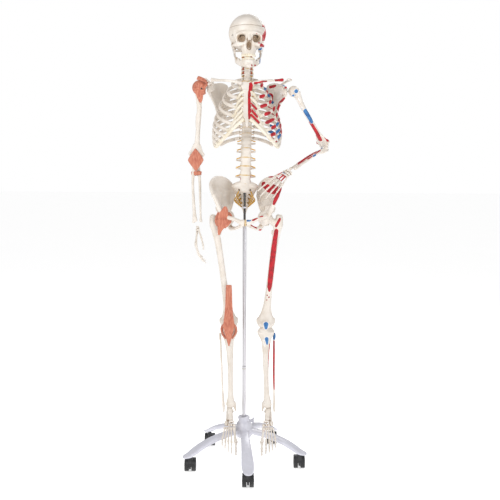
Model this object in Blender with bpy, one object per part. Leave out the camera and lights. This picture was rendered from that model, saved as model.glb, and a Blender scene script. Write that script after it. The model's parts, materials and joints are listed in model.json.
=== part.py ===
"""Teaching skeleton on a five-foot roller stand, for Blender 4.5: blender --background --python part.py

Metres, +Z up. The skeleton faces -Y, so its own right side is at -X. The model is laid out about the
stand's pole and is then shifted as a whole, so that the middle of its footprint stands on the origin.
"""

import math

import bmesh
import bpy
import numpy as np
from mathutils import Matrix, Vector

SIDES = {"right": -1, "left": 1}
GAP = 0.0005  # air between pieces that rest on each other
BEND_GAP = 0.0015  # half the air at a spine joint that bends

# ---- stand ----
LEG_COUNT = 5
FIRST_LEG_ANGLE = math.radians(-85.5)
LEG_TIP_REACH = 0.281
LEG_WIDTH = 0.050
HUB_RADIUS = 0.037
HUB_BOTTOM = 0.130
HUB_TOP = 0.178
COLLAR_RADIUS = 0.026
COLLAR_TOP = 0.216
POLE_RADIUS = 0.008
POLE_PLAY = 0.0006  # radial room round the pole in the hub and round its spigot
POLE_JOINT_HEIGHT = 0.440
POLE_TOP = 1.052
SPIGOT_RADIUS = 0.0055
SPIGOT_LENGTH = 0.060
ROD_RADIUS = 0.005
ROD_TOP = 1.196
CASTER_REACH = 0.248
WHEEL_RADIUS = 0.0265
WHEEL_THICKNESS = 0.0175
WHEEL_SPACING = 0.0300  # between the two wheels' mid planes
AXLE_RADIUS = 0.003
AXLE_PLAY = 0.0006
CASTER_TRAIL = 0.016
CASTER_WEB = 0.009
STEM_RADIUS = 0.005
STEM_TOP = 0.078
CASTER_CROWN = 0.065
KNOB_ANGLE = math.radians(20)
KNOB_HEIGHT = 0.190

# ---- spine ----
LUMBAR_BASE = 1.231
LUMBAR_COUNT = 5
LUMBAR_PITCH = 0.036
THORACIC_COUNT = 12
THORACIC_PITCH_TOP = 0.0185
THORACIC_PITCH_BOTTOM = 0.0255
CERVICAL_COUNT = 6  # second to seventh neck vertebra
CERVICAL_PITCH = 0.0153
ATLAS_HEIGHT = 0.014
LUMBAR_TOP = LUMBAR_BASE + LUMBAR_COUNT * LUMBAR_PITCH
THORACIC_TOP = LUMBAR_TOP + THORACIC_COUNT * (THORACIC_PITCH_TOP + THORACIC_PITCH_BOTTOM) / 2
CERVICAL_TOP = THORACIC_TOP + CERVICAL_COUNT * CERVICAL_PITCH
ATLAS_TOP = CERVICAL_TOP + ATLAS_HEIGHT
LEAN = 0.007  # the column stands this far to the left at its top
# the column's curve seen from the side: share of its height, and how far back it lies there
SPINE_CURVE = ((0.0, 0.000), (0.12, -0.008), (0.24, -0.006), (0.34, 0.004), (0.48, 0.026),
               (0.60, 0.033), (0.71, 0.024), (0.81, 0.006), (0.90, -0.006), (1.0, -0.008))

# ---- rib cage ----
CHEST_MIDDLE = 0.009
CHEST_HALF_WIDTH = 0.142
RIB_DROP = 0.128  # how far the longest rib's front end lies below its back end
RIB_HEIGHT = 0.0055  # half the rib's width, up and down
RIB_THICKNESS = 0.0035  # half the rib's thickness, in and out
RIBS_PER_BLOCK = 3
STERNUM_TOP = Vector((0.009, -0.068, 1.640))
STERNUM_FOOT = Vector((0.009, -0.124, 1.487))
STERNUM_HALF_WIDTH = 0.018

# ---- head ----
HEAD_PIVOT = Vector((0.009, -0.010, ATLAS_TOP))
HEAD_YAW = math.radians(5)
CRANIUM_CENTRE = Vector((0.009, -0.006, 1.845))
CRANIUM_RADII = Vector((0.077, 0.093, 0.075))
CRANIUM_WALL = 0.006
CAP_CUT_HEIGHT = 1.862
JAW_HINGE = Vector((0.009, -0.016, 1.782))

# ---- arms ----
SHOULDER_HALF_WIDTH = 0.194
SHOULDER = {"right": Vector((CHEST_MIDDLE - SHOULDER_HALF_WIDTH, 0.008, 1.625)),
            "left": Vector((CHEST_MIDDLE + SHOULDER_HALF_WIDTH, 0.008, 1.613))}
HUMERUS_LENGTH = 0.300
FOREARM_LENGTH = 0.272
HUMERAL_HEAD_RADIUS = 0.023
UPPER_ARM_WAY = {"right": Vector((-0.070, 0.012, -1)), "left": Vector((0.149, 0.132, -0.221))}
FOREARM_WAY = {"right": Vector((0.030, -0.110, -1)), "left": Vector((-0.165, -0.195, -0.104))}
HAND_WAY = {"right": Vector((-0.10, -0.10, -1)), "left": Vector((-0.67, -0.42, -0.61))}
PALM_WAY = {"right": Vector((1, 0.15, 0.1)), "left": Vector((0.10, 1, -0.72))}
FINGER_CURL = {"right": math.radians(21), "left": math.radians(5)}
FOREARM_SPREAD = 0.026  # radius to ulna at the wrist
KNUCKLE_REACH = 0.088

# ---- legs ----
PELVIS_MIDDLE = 0.004
HIP_HALF_WIDTH = 0.090
HIP = {"right": Vector((0.007 - HIP_HALF_WIDTH, -0.040, 1.085)), "left": Vector((0.007 + HIP_HALF_WIDTH, -0.040, 1.085))}
KNEE = {"right": Vector((-0.064, -0.045, 0.617)), "left": Vector((0.092, -0.045, 0.617))}
ANKLE = {"right": Vector((-0.060, -0.040, 0.256)), "left": Vector((0.104, -0.040, 0.256))}
FEMORAL_HEAD_RADIUS = 0.0225
SOCKET_PLAY = 0.0025
FIBULA_SPREAD = {"right": 0.040, "left": 0.036}
TALUS_RADIUS = 0.0115
FOOT_PITCH = math.radians(50)  # the foot hangs this far below level
FOOT_SPLAY = math.radians(1)
FOOT_REACH = 0.186


def material(name, colour, roughness, metallic=0.0):
    made = bpy.data.materials.new(name)
    made.use_nodes = True
    shader = made.node_tree.nodes["Principled BSDF"]
    shader.inputs["Base Color"].default_value = (*colour, 1)
    shader.inputs["Roughness"].default_value = roughness
    shader.inputs["Metallic"].default_value = metallic
    return made


def clear_scene():
    for obj in list(bpy.data.objects):
        bpy.data.objects.remove(obj, do_unlink=True)


def empty(name, location=(0, 0, 0), parent=None):
    made = bpy.data.objects.new(name, None)
    made.location = location
    made.parent = parent
    bpy.context.collection.objects.link(made)
    return made


clear_scene()
BONE = material("bone_plastic", (0.86, 0.80, 0.73), 0.45)
CARTILAGE = material("cartilage_plastic", (0.83, 0.76, 0.64), 0.5)
LIGAMENT = material("ligament_rubber", (0.66, 0.26, 0.17), 0.6)
ENAMEL = material("white_enamel", (0.78, 0.78, 0.82), 0.35)
STEEL = material("pole_steel", (0.62, 0.61, 0.63), 0.25, 1.0)
DARK_STEEL = material("dark_steel", (0.10, 0.10, 0.11), 0.35, 1.0)
BLACK = material("black_nylon", (0.02, 0.02, 0.022), 0.5)
ROOT = empty("skeleton_model")


def add_object(name, mesh_builder, paint, origin, parent=ROOT):
    """Makes an object from a bmesh laid out in the model's frame, with its own origin at the point given."""
    bmesh.ops.recalc_face_normals(mesh_builder, faces=mesh_builder.faces)
    bmesh.ops.translate(mesh_builder, verts=mesh_builder.verts, vec=-Vector(origin))
    mesh = bpy.data.meshes.new(name)
    mesh_builder.to_mesh(mesh)
    mesh_builder.free()
    mesh.materials.append(paint)
    mesh.shade_smooth()
    mesh.set_sharp_from_angle(angle=math.radians(40))
    obj = bpy.data.objects.new(name, mesh)
    bpy.context.collection.objects.link(obj)
    obj.parent = parent
    obj.location = Vector(origin) - parent.location
    return obj


def loft(stations, sides=8, across=Vector((1, 0, 0)), turn=0.0, frame=Matrix.Identity(4), level=False):
    """A closed tube through stations of (centre, half width, half depth); the width lies along across."""
    centres = [frame @ Vector(centre) for centre, _, _ in stations]
    across = frame.to_3x3() @ Vector(across)
    builder = bmesh.new()
    rings = []
    for i, (_, half_width, half_depth) in enumerate(stations):
        tangent = (centres[min(i + 1, len(centres) - 1)] - centres[max(i - 1, 0)]).normalized()
        if level:
            tangent = Vector((0, 0, math.copysign(1, tangent.z)))
        depth_way = tangent.cross(across).normalized()
        width_way = depth_way.cross(tangent)
        ring = []
        for k in range(sides):
            angle = turn + 2 * math.pi * k / sides
            offset = width_way * (half_width * math.cos(angle)) + depth_way * (half_depth * math.sin(angle))
            ring.append(builder.verts.new(centres[i] + offset))
        rings.append(ring)
    for ring, after in zip(rings, rings[1:]):
        for k in range(sides):
            builder.faces.new((ring[k], ring[(k + 1) % sides], after[(k + 1) % sides], after[k]))
    builder.faces.new(rings[0])
    builder.faces.new(rings[-1])
    return builder


def bar(points, half_width, half_depth, across=Vector((0, 0, 1)), sides=4):
    """A tube of one section through the points, flat-sided when it has four sides."""
    return loft([(p, half_width, half_depth) for p in points], sides, across, math.pi / sides)


def lathe(profile, centre=Vector((0, 0, 0)), axis="Z", segments=16, stretch=(1, 1)):
    """A closed turned solid from (height, radius) points, bottom to top, about an axis through centre."""
    builder = bmesh.new()
    turned = {"Z": Matrix.Identity(3), "X": Matrix.Rotation(math.pi / 2, 3, "Y"),
              "Y": Matrix.Rotation(-math.pi / 2, 3, "X")}[axis]
    rings = []
    for height, radius in profile:
        steps = [2 * math.pi * k / segments for k in range(segments)] if radius > 0 else [0.0]
        ring = [Vector((radius * stretch[0] * math.cos(a), radius * stretch[1] * math.sin(a), height)) for a in steps]
        rings.append([builder.verts.new(Vector(centre) + turned @ point) for point in ring])
    for ring, after in zip(rings, rings[1:]):
        for k in range(segments):
            corners = (ring[k % len(ring)], ring[(k + 1) % len(ring)],
                       after[(k + 1) % len(after)], after[k % len(after)])
            builder.faces.new(list(dict.fromkeys(corners)))
    for ring in (rings[0], rings[-1]):
        if len(ring) > 1:
            builder.faces.new(ring)
    return builder


def ball(centre, radii, subdivisions=2):
    builder = bmesh.new()
    bmesh.ops.create_icosphere(builder, subdivisions=subdivisions, radius=1.0)
    radii = (radii,) * 3 if isinstance(radii, float) else radii
    place = Matrix.Translation(Vector(centre)) @ Matrix.Diagonal((*radii, 1))
    bmesh.ops.transform(builder, matrix=place, verts=builder.verts)
    return builder


def block(low, high):
    builder = bmesh.new()
    bmesh.ops.create_cube(builder, size=1.0)
    low, high = Vector(low), Vector(high)
    place = Matrix.Translation((low + high) / 2) @ Matrix.Diagonal((*(high - low), 1))
    bmesh.ops.transform(builder, matrix=place, verts=builder.verts)
    return builder


def plate(rim, middle, thickness):
    """A thin dished plate: a fan from its middle point to its rim, with the thickness shared to both sides."""
    rim = [Vector(point) for point in rim]
    middle = Vector(middle)
    count = len(rim)
    fan = [(rim[k] - middle).cross(rim[(k + 1) % count] - middle) for k in range(count)]
    whole = sum(fan, Vector((0, 0, 0))).normalized()
    builder = bmesh.new()
    layers = []
    for way in (whole * (thickness / 2), whole * (-thickness / 2)):
        layers.append(([builder.verts.new(point + way) for point in rim], builder.verts.new(middle + way)))
    for k in range(count):
        after = (k + 1) % count
        for ring, hub in layers:
            builder.faces.new((ring[k], ring[after], hub))
        builder.faces.new((layers[0][0][k], layers[0][0][after], layers[1][0][after], layers[1][0][k]))
    return builder


def combine(name, body, added=(), cut=(), paint=BONE, origin=(0, 0, 0), parent=ROOT):
    """One solid: a body with other shapes joined to it and others cut from it by live Booleans."""
    obj = add_object(name, body, paint, origin, parent)
    for operation, shapes in (("UNION", added), ("DIFFERENCE", cut)):
        for number, shape in enumerate(shapes):
            helper = add_object(f"{name}_{operation.lower()}_{number}", shape, paint, origin, parent)
            helper.hide_render = True
            helper.display_type = "WIRE"
            modifier = obj.modifiers.new(helper.name, "BOOLEAN")
            modifier.operation = operation
            modifier.solver = "EXACT"
            modifier.object = helper
    return obj


def limb_frame(start, end, across=Vector((1, 0, 0))):
    """A frame at start with Z towards end, X as near across as it can be, and Y to the front."""
    down = (end - start).normalized()
    front = down.cross(across).normalized()
    side = front.cross(down)
    turned = Matrix((side, front, down)).transposed().to_4x4()
    return Matrix.Translation(start) @ turned


def at_height(z):
    """The spine's middle line at a height."""
    share = (z - LUMBAR_BASE) / (ATLAS_TOP - LUMBAR_BASE)
    back = np.interp(share, [point[0] for point in SPINE_CURVE], [point[1] for point in SPINE_CURVE])
    return Vector((0.002 + LEAN * min(1, share / 0.5), float(back), z))


# ---------------------------------------------------------------- stand

def leg_way(index):
    angle = FIRST_LEG_ANGLE + 2 * math.pi * index / LEG_COUNT
    return Vector((math.cos(angle), math.sin(angle), 0))


def leg_shape(index):
    """One arched leg from inside the hub to its pointed tip."""
    way = leg_way(index)
    side = Vector((0, 0, 1)).cross(way)
    arch = ((HUB_RADIUS * 0.4, 0.149, 0.34, 0.011), (HUB_RADIUS + 0.015, 0.148, 0.36, 0.012),
            (LEG_TIP_REACH * 0.42, 0.136, 0.40, 0.012), (LEG_TIP_REACH * 0.64, 0.115, 0.46, 0.011),
            (LEG_TIP_REACH * 0.80, 0.091, 0.52, 0.010), (CASTER_REACH, 0.0765, 0.50, 0.0085),
            (LEG_TIP_REACH, 0.069, 0.26, 0.004))
    stations = [(way * reach + Vector((0, 0, height)), share * LEG_WIDTH, half_depth)
                for reach, height, share, half_depth in arch]
    return loft(stations, 8, side, math.pi / 8)


def make_star_base():
    hub = lathe(((HUB_BOTTOM, HUB_RADIUS * 0.86), (HUB_BOTTOM + 0.006, HUB_RADIUS), (HUB_TOP - 0.006, HUB_RADIUS),
                 (HUB_TOP, HUB_RADIUS * 0.90), (HUB_TOP + 0.001, COLLAR_RADIUS * 0.92),
                 (COLLAR_TOP - 0.010, COLLAR_RADIUS * 0.92), (COLLAR_TOP - 0.006, COLLAR_RADIUS),
                 (COLLAR_TOP, COLLAR_RADIUS * 0.94)), segments=20)
    legs = [leg_shape(i) for i in range(LEG_COUNT)]
    # the pole's bore stops above the hub's closed underside
    bore = lathe(((HUB_BOTTOM + 0.008, POLE_RADIUS + POLE_PLAY), (COLLAR_TOP + 0.01, POLE_RADIUS + POLE_PLAY)))
    stems = [lathe(((0.05, STEM_RADIUS + AXLE_PLAY), (STEM_TOP + GAP, STEM_RADIUS + AXLE_PLAY)),
                   leg_way(i) * CASTER_REACH, segments=12) for i in range(LEG_COUNT)]
    screw_way = Vector((math.cos(KNOB_ANGLE), math.sin(KNOB_ANGLE), 0))
    screw_hole = loft([(screw_way * (POLE_RADIUS * 0.5) + Vector((0, 0, KNOB_HEIGHT)), 0.0036, 0.0036),
                       (screw_way * (COLLAR_RADIUS + 0.01) + Vector((0, 0, KNOB_HEIGHT)), 0.0036, 0.0036)],
                      10, Vector((0, 0, 1)))
    return combine("star_base", hub, legs, [bore, screw_hole, *stems], ENAMEL)


def make_clamp_knob():
    """Thumb screw in the collar: a shank and two wings."""
    way = Vector((math.cos(KNOB_ANGLE), math.sin(KNOB_ANGLE), 0))
    centre = Vector((0, 0, KNOB_HEIGHT))
    shank = loft([(centre + way * reach, radius, radius) for reach, radius in (
        (POLE_RADIUS + POLE_PLAY + GAP, 0.003), (COLLAR_RADIUS + 0.002, 0.003), (COLLAR_RADIUS + 0.0022, 0.006),
        (COLLAR_RADIUS + 0.014, 0.006), (COLLAR_RADIUS + 0.018, 0.003))], 10, Vector((0, 0, 1)))
    start = centre + way * (COLLAR_RADIUS + 0.009)
    wings = [bar((start, start + way * 0.010 + Vector((0, 0, lift * 0.7)), start + way * 0.012 + Vector((0, 0, lift))),
                 0.005, 0.002, way) for lift in (0.013, -0.013)]
    return combine("clamp_knob", shank, wings, (), ENAMEL, origin=centre + way * COLLAR_RADIUS)


def wheel_centre(index):
    return leg_way(index) * CASTER_REACH + Vector((0, CASTER_TRAIL, WHEEL_RADIUS))


def make_caster(index):
    """Swivelling housing with its stem, and the pair of wheels on one axle."""
    number = index + 1
    pivot = leg_way(index) * CASTER_REACH
    centre = wheel_centre(index)
    hood_radius = WHEEL_RADIUS + 0.005
    half_web = CASTER_WEB / 2
    web = lathe(((-half_web, WHEEL_RADIUS * 0.72), (half_web, WHEEL_RADIUS * 0.72)), centre, "X", 16)
    half_hood = WHEEL_SPACING / 2 + WHEEL_THICKNESS / 2
    hood = lathe(((-half_hood, hood_radius), (half_hood, hood_radius)), centre, "X", 20)
    hollow = lathe(((-half_hood - 0.01, WHEEL_RADIUS + 0.0012), (-half_web, WHEEL_RADIUS + 0.0012)), centre, "X", 20)
    hollow_too = lathe(((half_web, WHEEL_RADIUS + 0.0012), (half_hood + 0.01, WHEEL_RADIUS + 0.0012)), centre, "X", 20)
    below = block(centre + Vector((-0.05, -0.06, -0.05)), centre + Vector((0.05, 0.06, 0.004)))
    web_below = block(centre + Vector((-0.02, -0.06, -0.05)), centre + Vector((0.02, 0.06, -0.010)))
    crown = lathe(((WHEEL_RADIUS * 2 + 0.0015, 0.012), (CASTER_CROWN, 0.010), (CASTER_CROWN + 0.0002, STEM_RADIUS),
                   (STEM_TOP, STEM_RADIUS)), pivot, segments=12)
    axle_hole = lathe(((-0.02, AXLE_RADIUS + AXLE_PLAY), (0.02, AXLE_RADIUS + AXLE_PLAY)), centre, "X", 10)
    housing = combine(f"caster_housing_{number}", hood, (), (below, hollow, hollow_too), BLACK, origin=pivot)
    extra = combine(f"caster_web_{number}", web, (crown,), (web_below,), BLACK, origin=pivot)
    extra.hide_render = True
    extra.display_type = "WIRE"
    for helper, operation in ((extra, "UNION"), (None, "DIFFERENCE")):
        if helper is None:
            helper = add_object(f"caster_axle_hole_{number}", axle_hole, BLACK, pivot)
            helper.hide_render = True
            helper.display_type = "WIRE"
        modifier = housing.modifiers.new(helper.name, "BOOLEAN")
        modifier.operation = operation
        modifier.object = helper
    inner = WHEEL_SPACING / 2 - WHEEL_THICKNESS / 2
    outer = WHEEL_SPACING / 2 + WHEEL_THICKNESS / 2
    profile = [(inner, WHEEL_RADIUS - 0.002), (inner + 0.003, WHEEL_RADIUS), (outer - 0.003, WHEEL_RADIUS),
               (outer, WHEEL_RADIUS - 0.004)]
    whole = [(-x, r) for x, r in reversed(profile)] + [(-inner, AXLE_RADIUS), (inner, AXLE_RADIUS)] + profile
    add_object(f"caster_wheels_{number}", lathe(whole, centre, "X", 20), BLACK, centre)


def make_poles():
    lower = lathe(((HUB_BOTTOM + 0.008 + GAP, POLE_RADIUS), (POLE_JOINT_HEIGHT, POLE_RADIUS)))
    socket = lathe(((POLE_JOINT_HEIGHT - SPIGOT_LENGTH - 0.002, SPIGOT_RADIUS + POLE_PLAY),
                    (POLE_JOINT_HEIGHT + 0.01, SPIGOT_RADIUS + POLE_PLAY)))
    combine("lower_pole", lower, (), (socket,), STEEL)
    upper = lathe(((POLE_JOINT_HEIGHT - SPIGOT_LENGTH, SPIGOT_RADIUS), (POLE_JOINT_HEIGHT + GAP, SPIGOT_RADIUS),
                   (POLE_JOINT_HEIGHT + GAP + 0.0001, POLE_RADIUS), (POLE_TOP, POLE_RADIUS)))
    add_object("upper_pole", upper, STEEL, (0, 0, POLE_JOINT_HEIGHT))
    rod = lathe(((POLE_TOP + GAP, POLE_RADIUS * 0.9), (POLE_TOP + 0.012, POLE_RADIUS * 0.9),
                 (POLE_TOP + 0.0125, ROD_RADIUS), (ROD_TOP, ROD_RADIUS)), segments=12)
    add_object("pelvic_rod", rod, DARK_STEEL, (0, 0, POLE_TOP))


# ---------------------------------------------------------------- pelvis

def make_sacrum():
    """The curved wedge with the tail bone, bored from below for the rod."""
    top = at_height(LUMBAR_BASE)
    shape = (((0, top.y, LUMBAR_BASE - 0.004), 0.050, 0.024), ((0, 0.010, 1.212), 0.052, 0.024),
             ((0, 0.024, 1.190), 0.044, 0.019), ((0, 0.044, 1.160), 0.030, 0.013), ((0, 0.052, 1.132), 0.018, 0.008),
             ((0, 0.042, 1.106), 0.008, 0.005), ((0, 0.030, 1.090), 0.004, 0.003))
    bore = lathe(((1.10, ROD_RADIUS + POLE_PLAY), (ROD_TOP + GAP, ROD_RADIUS + POLE_PLAY)), segments=12)
    crest = bar([(0, 0.034, 1.212), (0, 0.052, 1.178), (0, 0.060, 1.150)], 0.010, 0.004, Vector((0, 1, 0)))
    return combine("sacrum", loft(shape, 10, level=True), (crest,), (bore,), origin=(0, 0, ROD_TOP))


def make_hip_bone(side):
    sign = SIDES[side]
    hip = HIP[side]

    def at(x, y, z):
        return Vector((PELVIS_MIDDLE + sign * x, y, z))

    rim = (at(0.052, 0.066, 1.190), at(0.066, 0.060, 1.228), at(0.098, 0.030, 1.252), at(0.128, -0.010, 1.254),
           at(0.144, -0.050, 1.232), at(0.132, -0.092, 1.184), at(0.110, -0.086, 1.130), at(0.095, -0.045, 1.108),
           at(0.074, 0.010, 1.112), at(0.060, 0.045, 1.140))
    wing = plate(rim, at(0.104, -0.012, 1.186), 0.008)
    cup = ball(hip + Vector((sign * -0.010, 0.006, 0.002)), 0.036)
    neck = loft([(at(0.096, -0.05, 1.10), 0.020, 0.013), (at(0.102, -0.045, 1.135), 0.026, 0.009)], 8)
    ramus = loft([(at(0.082, -0.066, 1.092), 0.012, 0.010), (at(0.046, -0.090, 1.084), 0.008, 0.007),
                  (at(0.018, -0.098, 1.071), 0.010, 0.009), (at(0.0045, -0.098, 1.071), 0.014, 0.009)],
                 8, Vector((0, 0, 1)))
    seat = loft([(at(0.080, -0.018, 1.075), 0.015, 0.018), (at(0.066, -0.006, 1.052), 0.012, 0.016),
                 (at(0.060, -0.016, 1.042), 0.010, 0.012)], 8)
    low_ramus = loft([(at(0.058, -0.012, 1.046), 0.008, 0.007), (at(0.040, -0.050, 1.043), 0.006, 0.005),
                      (at(0.012, -0.094, 1.062), 0.008, 0.006)], 6, Vector((0, 0, 1)))
    head_room = ball(hip, FEMORAL_HEAD_RADIUS + SOCKET_PLAY, 3)
    mouth = ball(hip + Vector((sign * 0.042, -0.004, -0.012)), 0.042, 3)
    combine(f"hip_bone_{side}", cup, (wing, neck, ramus, seat, low_ramus), (head_room, mouth), origin=hip)


def make_hip_pin(side):
    """Short steel pin between the socket's floor and the femoral head."""
    hip = HIP[side]
    sign = SIDES[side]
    profile = ((-0.0007, 0.004), (0.0007, 0.004))
    centre = hip + Vector((-sign * (FEMORAL_HEAD_RADIUS + 0.0011), 0, 0))
    add_object(f"hip_pin_{side}", lathe(profile, centre, "X", 10), DARK_STEEL, hip)


# ---------------------------------------------------------------- spine and ribs

def column(low, high, count, half_width, half_depth, sides=8):
    """Stacked vertebral bodies between two heights, each a little waisted; the widths run from low to high."""
    stations = []
    for i in range(2 * count + 1):
        share = i / (2 * count)
        waist = 0.86 if i % 2 else 1.0
        point = at_height(low + (high - low) * share)
        width = half_width[0] + (half_width[1] - half_width[0]) * share
        depth = half_depth[0] + (half_depth[1] - half_depth[0]) * share
        stations.append((point, width * waist, depth * waist))
    return loft(stations, sides, level=True)


def spinous(z, reach, drop, half_height=0.007):
    root = at_height(z)
    return bar([root + Vector((0, 0.004, 0)), root + Vector((0, reach, -drop))], half_height, 0.0035)


def make_lumbar_spine():
    body = column(LUMBAR_BASE + GAP, LUMBAR_TOP - BEND_GAP, LUMBAR_COUNT, (0.0245, 0.0215), (0.0175, 0.0155))
    added = []
    for i in range(LUMBAR_COUNT):
        z = LUMBAR_BASE + (i + 0.5) * LUMBAR_PITCH
        middle = at_height(z) + Vector((0, 0.014, 0))
        added.append(bar([middle + Vector((-0.040, 0.006, 0)), middle, middle + Vector((0.040, 0.006, 0))],
                         0.005, 0.003))
        added.append(spinous(z, 0.052, 0.004, 0.009))
    combine("lumbar_spine", body, added, origin=at_height(LUMBAR_BASE))


def thoracic_height(number):
    """Middle height of a chest vertebra, the first at the top."""
    step = (THORACIC_PITCH_BOTTOM - THORACIC_PITCH_TOP) / (THORACIC_COUNT - 1)
    above = sum(THORACIC_PITCH_TOP + step * k for k in range(number - 1))
    return THORACIC_TOP - above - (THORACIC_PITCH_TOP + step * (number - 1)) / 2


def sternum_at(share):
    return STERNUM_TOP.lerp(STERNUM_FOOT, share)


def rib_point(number, sign, share):
    """A point on a rib, from its vertebra at 0 to its front end at 1."""
    half_width = CHEST_HALF_WIDTH * (1 - 0.56 * ((8.5 - number) / 7.5) ** 2)
    drop = RIB_DROP * (1 - 0.65 * ((8 - number) / 7) ** 2)
    spine = at_height(thoracic_height(number))
    back = spine.y + 0.040 + 0.022 * min(1, (number - 1) / 4)
    front = float(np.interp(number, (1, 7, 10, 12), (-0.062, -0.118, -0.105, -0.080)))
    middle, half_depth = (back + front) / 2, (back - front) / 2
    end = math.radians(float(np.interp(number, (1, 5, 7, 9, 10, 11, 12), (150, 148, 138, 118, 108, 84, 62))))
    start = math.radians(24)
    if share < 0.1:
        first = Vector((spine.x + sign * 0.008, spine.y + 0.003, spine.z))
        return first.lerp(rib_point(number, sign, 0.1), share / 0.1)
    along = (share - 0.1) / 0.9
    angle = start + (end - start) * along
    full = math.radians(150)
    fall = ((1 - math.cos(angle)) / (1 - math.cos(full))) ** 0.9
    return Vector((spine.x + sign * half_width * math.sin(angle), middle + half_depth * math.cos(angle), spine.z - drop * fall))


def rib_shape(number, sign):
    steps = (0, 0.1, 0.24, 0.38, 0.52, 0.66, 0.80, 0.91, 1.0)
    if number == THORACIC_COUNT:
        steps = (0, 0.1, 0.4, 0.7, 1.0)
    points = [rib_point(number, sign, share) for share in steps]
    return bar(points, RIB_HEIGHT * 1.3, RIB_THICKNESS * 1.3)


def make_thoracic_block(index):
    """Three chest vertebrae and their three pairs of ribs."""
    first = index * RIBS_PER_BLOCK + 1
    last = first + RIBS_PER_BLOCK - 1
    step = (THORACIC_PITCH_BOTTOM - THORACIC_PITCH_TOP) / (THORACIC_COUNT - 1)
    high = thoracic_height(first) + (THORACIC_PITCH_TOP + step * (first - 1)) / 2 - (GAP / 2 if index else BEND_GAP)
    low = thoracic_height(last) - (THORACIC_PITCH_TOP + step * (last - 1)) / 2 + (GAP / 2 if index < 3 else BEND_GAP)
    width = [0.0135 + 0.0007 * number for number in (last, first)]
    depth = [0.0115 + 0.0005 * number for number in (last, first)]
    body = column(low, high, RIBS_PER_BLOCK, width, depth)
    added = []
    for number in range(first, last + 1):
        height = thoracic_height(number)
        added.append(spinous(height, 0.046, 0.012 if number < 10 else 0.002, 0.0055))
        added += [rib_shape(number, sign) for sign in SIDES.values()]
    combine(f"thoracic_block_{index + 1}", body, added, origin=at_height(low))


def make_sternum():
    """Breastbone with the rib cartilages of both sides."""
    outline = ((0.0, 0.024), (0.06, 0.028), (0.20, 0.022), (0.28, 0.015), (0.45, 0.016), (0.75, STERNUM_HALF_WIDTH),
               (0.95, 0.015), (1.02, 0.007), (1.18, 0.005))
    body = loft([(sternum_at(share), half_width, 0.0045) for share, half_width in outline], 8)
    added = []
    for sign in SIDES.values():
        ends = {}
        for number in range(1, 11):
            rib_end = rib_point(number, sign, 1.0)
            rib_way = (rib_end - rib_point(number, sign, 0.91)).normalized()
            start = rib_end + rib_way * 0.001
            if number <= 7:
                goal = sternum_at(0.08 + 0.90 * ((number - 1) / 6) ** 0.92) + Vector((sign * 0.010, 0, 0))
                middle = start.lerp(goal, 0.5) + Vector((0, -0.004, -0.004 if number > 4 else 0))
                ends[number] = middle
            else:
                goal = ends[number - 1]
                middle = start.lerp(goal, 0.5) + Vector((0, -0.003, -0.009))
                ends[number] = middle
                goal = goal + (goal - middle).normalized() * 0.003
            added.append(bar([start, start + rib_way * 0.008, middle, goal], RIB_HEIGHT, RIB_THICKNESS))
    combine("sternum_and_cartilages", body, added, paint=CARTILAGE, origin=STERNUM_TOP)


def make_neck():
    low, high = THORACIC_TOP + BEND_GAP, CERVICAL_TOP - GAP
    body = column(low, high, CERVICAL_COUNT, (0.0135, 0.0115), (0.0105, 0.0095))
    added = []
    for i in range(CERVICAL_COUNT):
        z = THORACIC_TOP + (i + 0.5) * CERVICAL_PITCH
        middle = at_height(z) + Vector((0, 0.008, 0))
        added.append(bar([middle - Vector((0.023, 0, 0)), middle + Vector((0.023, 0, 0))], 0.004, 0.005))
        added.append(spinous(z, 0.046 if i == 0 else 0.032, 0.005, 0.004))
    combine("cervical_spine", body, added, origin=at_height(THORACIC_TOP))
    middle = at_height(CERVICAL_TOP + ATLAS_HEIGHT / 2)
    ring = loft([(middle + Vector((0, 0, z)), 0.025, 0.019) for z in (-ATLAS_HEIGHT / 2 + GAP, ATLAS_HEIGHT / 2 - GAP)],
                12)
    wings = bar([middle - Vector((0.036, -0.004, 0)), middle + Vector((0.036, 0.004, 0))], 0.0035, 0.005)
    canal = lathe(((-0.02, 0.011), (0.02, 0.011)), middle + Vector((0, 0.002, 0)), segments=12)
    combine("atlas", ring, (wings,), (canal,), origin=middle, parent=HEAD)


# ---------------------------------------------------------------- head

def cranium_shell(low_angle, high_angle, rings=6, segments=20):
    """Part of the hollow braincase between two angles from its top, as a turned wall stretched to an egg."""
    wall = CRANIUM_WALL / CRANIUM_RADII.z
    outer, inner = [], []
    for i in range(rings + 1):
        angle = low_angle + (high_angle - low_angle) * i / rings
        outer.append((CRANIUM_RADII.z * math.cos(angle), math.sin(angle)))
        inner.append((CRANIUM_RADII.z * (1 - wall) * math.cos(angle), (1 - wall) * math.sin(angle)))
    # both shells end in the same flat cut
    return outer, inner, segments


def cap_angle():
    return math.acos((CAP_CUT_HEIGHT - CRANIUM_CENTRE.z) / CRANIUM_RADII.z)


def make_skull_cap():
    cut = cap_angle()
    outer, inner, segments = cranium_shell(0, cut)
    rim = outer[-1][0] + GAP
    inner = [(min(h, 1) if h > rim else rim, r) for h, r in inner if h > rim]
    inner_cut = math.sqrt(1 - (rim / (CRANIUM_RADII.z - CRANIUM_WALL)) ** 2) * (1 - CRANIUM_WALL / CRANIUM_RADII.x)
    profile = [(inner[0][0], 0.0)] + [(h, r) for h, r in inner[1:]] + [(rim, inner_cut)]
    profile += [(rim, outer[-1][1])] + [(h, r) for h, r in reversed(outer[1:-1])] + [(outer[0][0], 0.0)]
    shell = lathe(profile, CRANIUM_CENTRE, "Z", segments, (CRANIUM_RADII.x, CRANIUM_RADII.y))
    add_object("skull_cap", shell, BONE, CRANIUM_CENTRE, HEAD)


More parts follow.
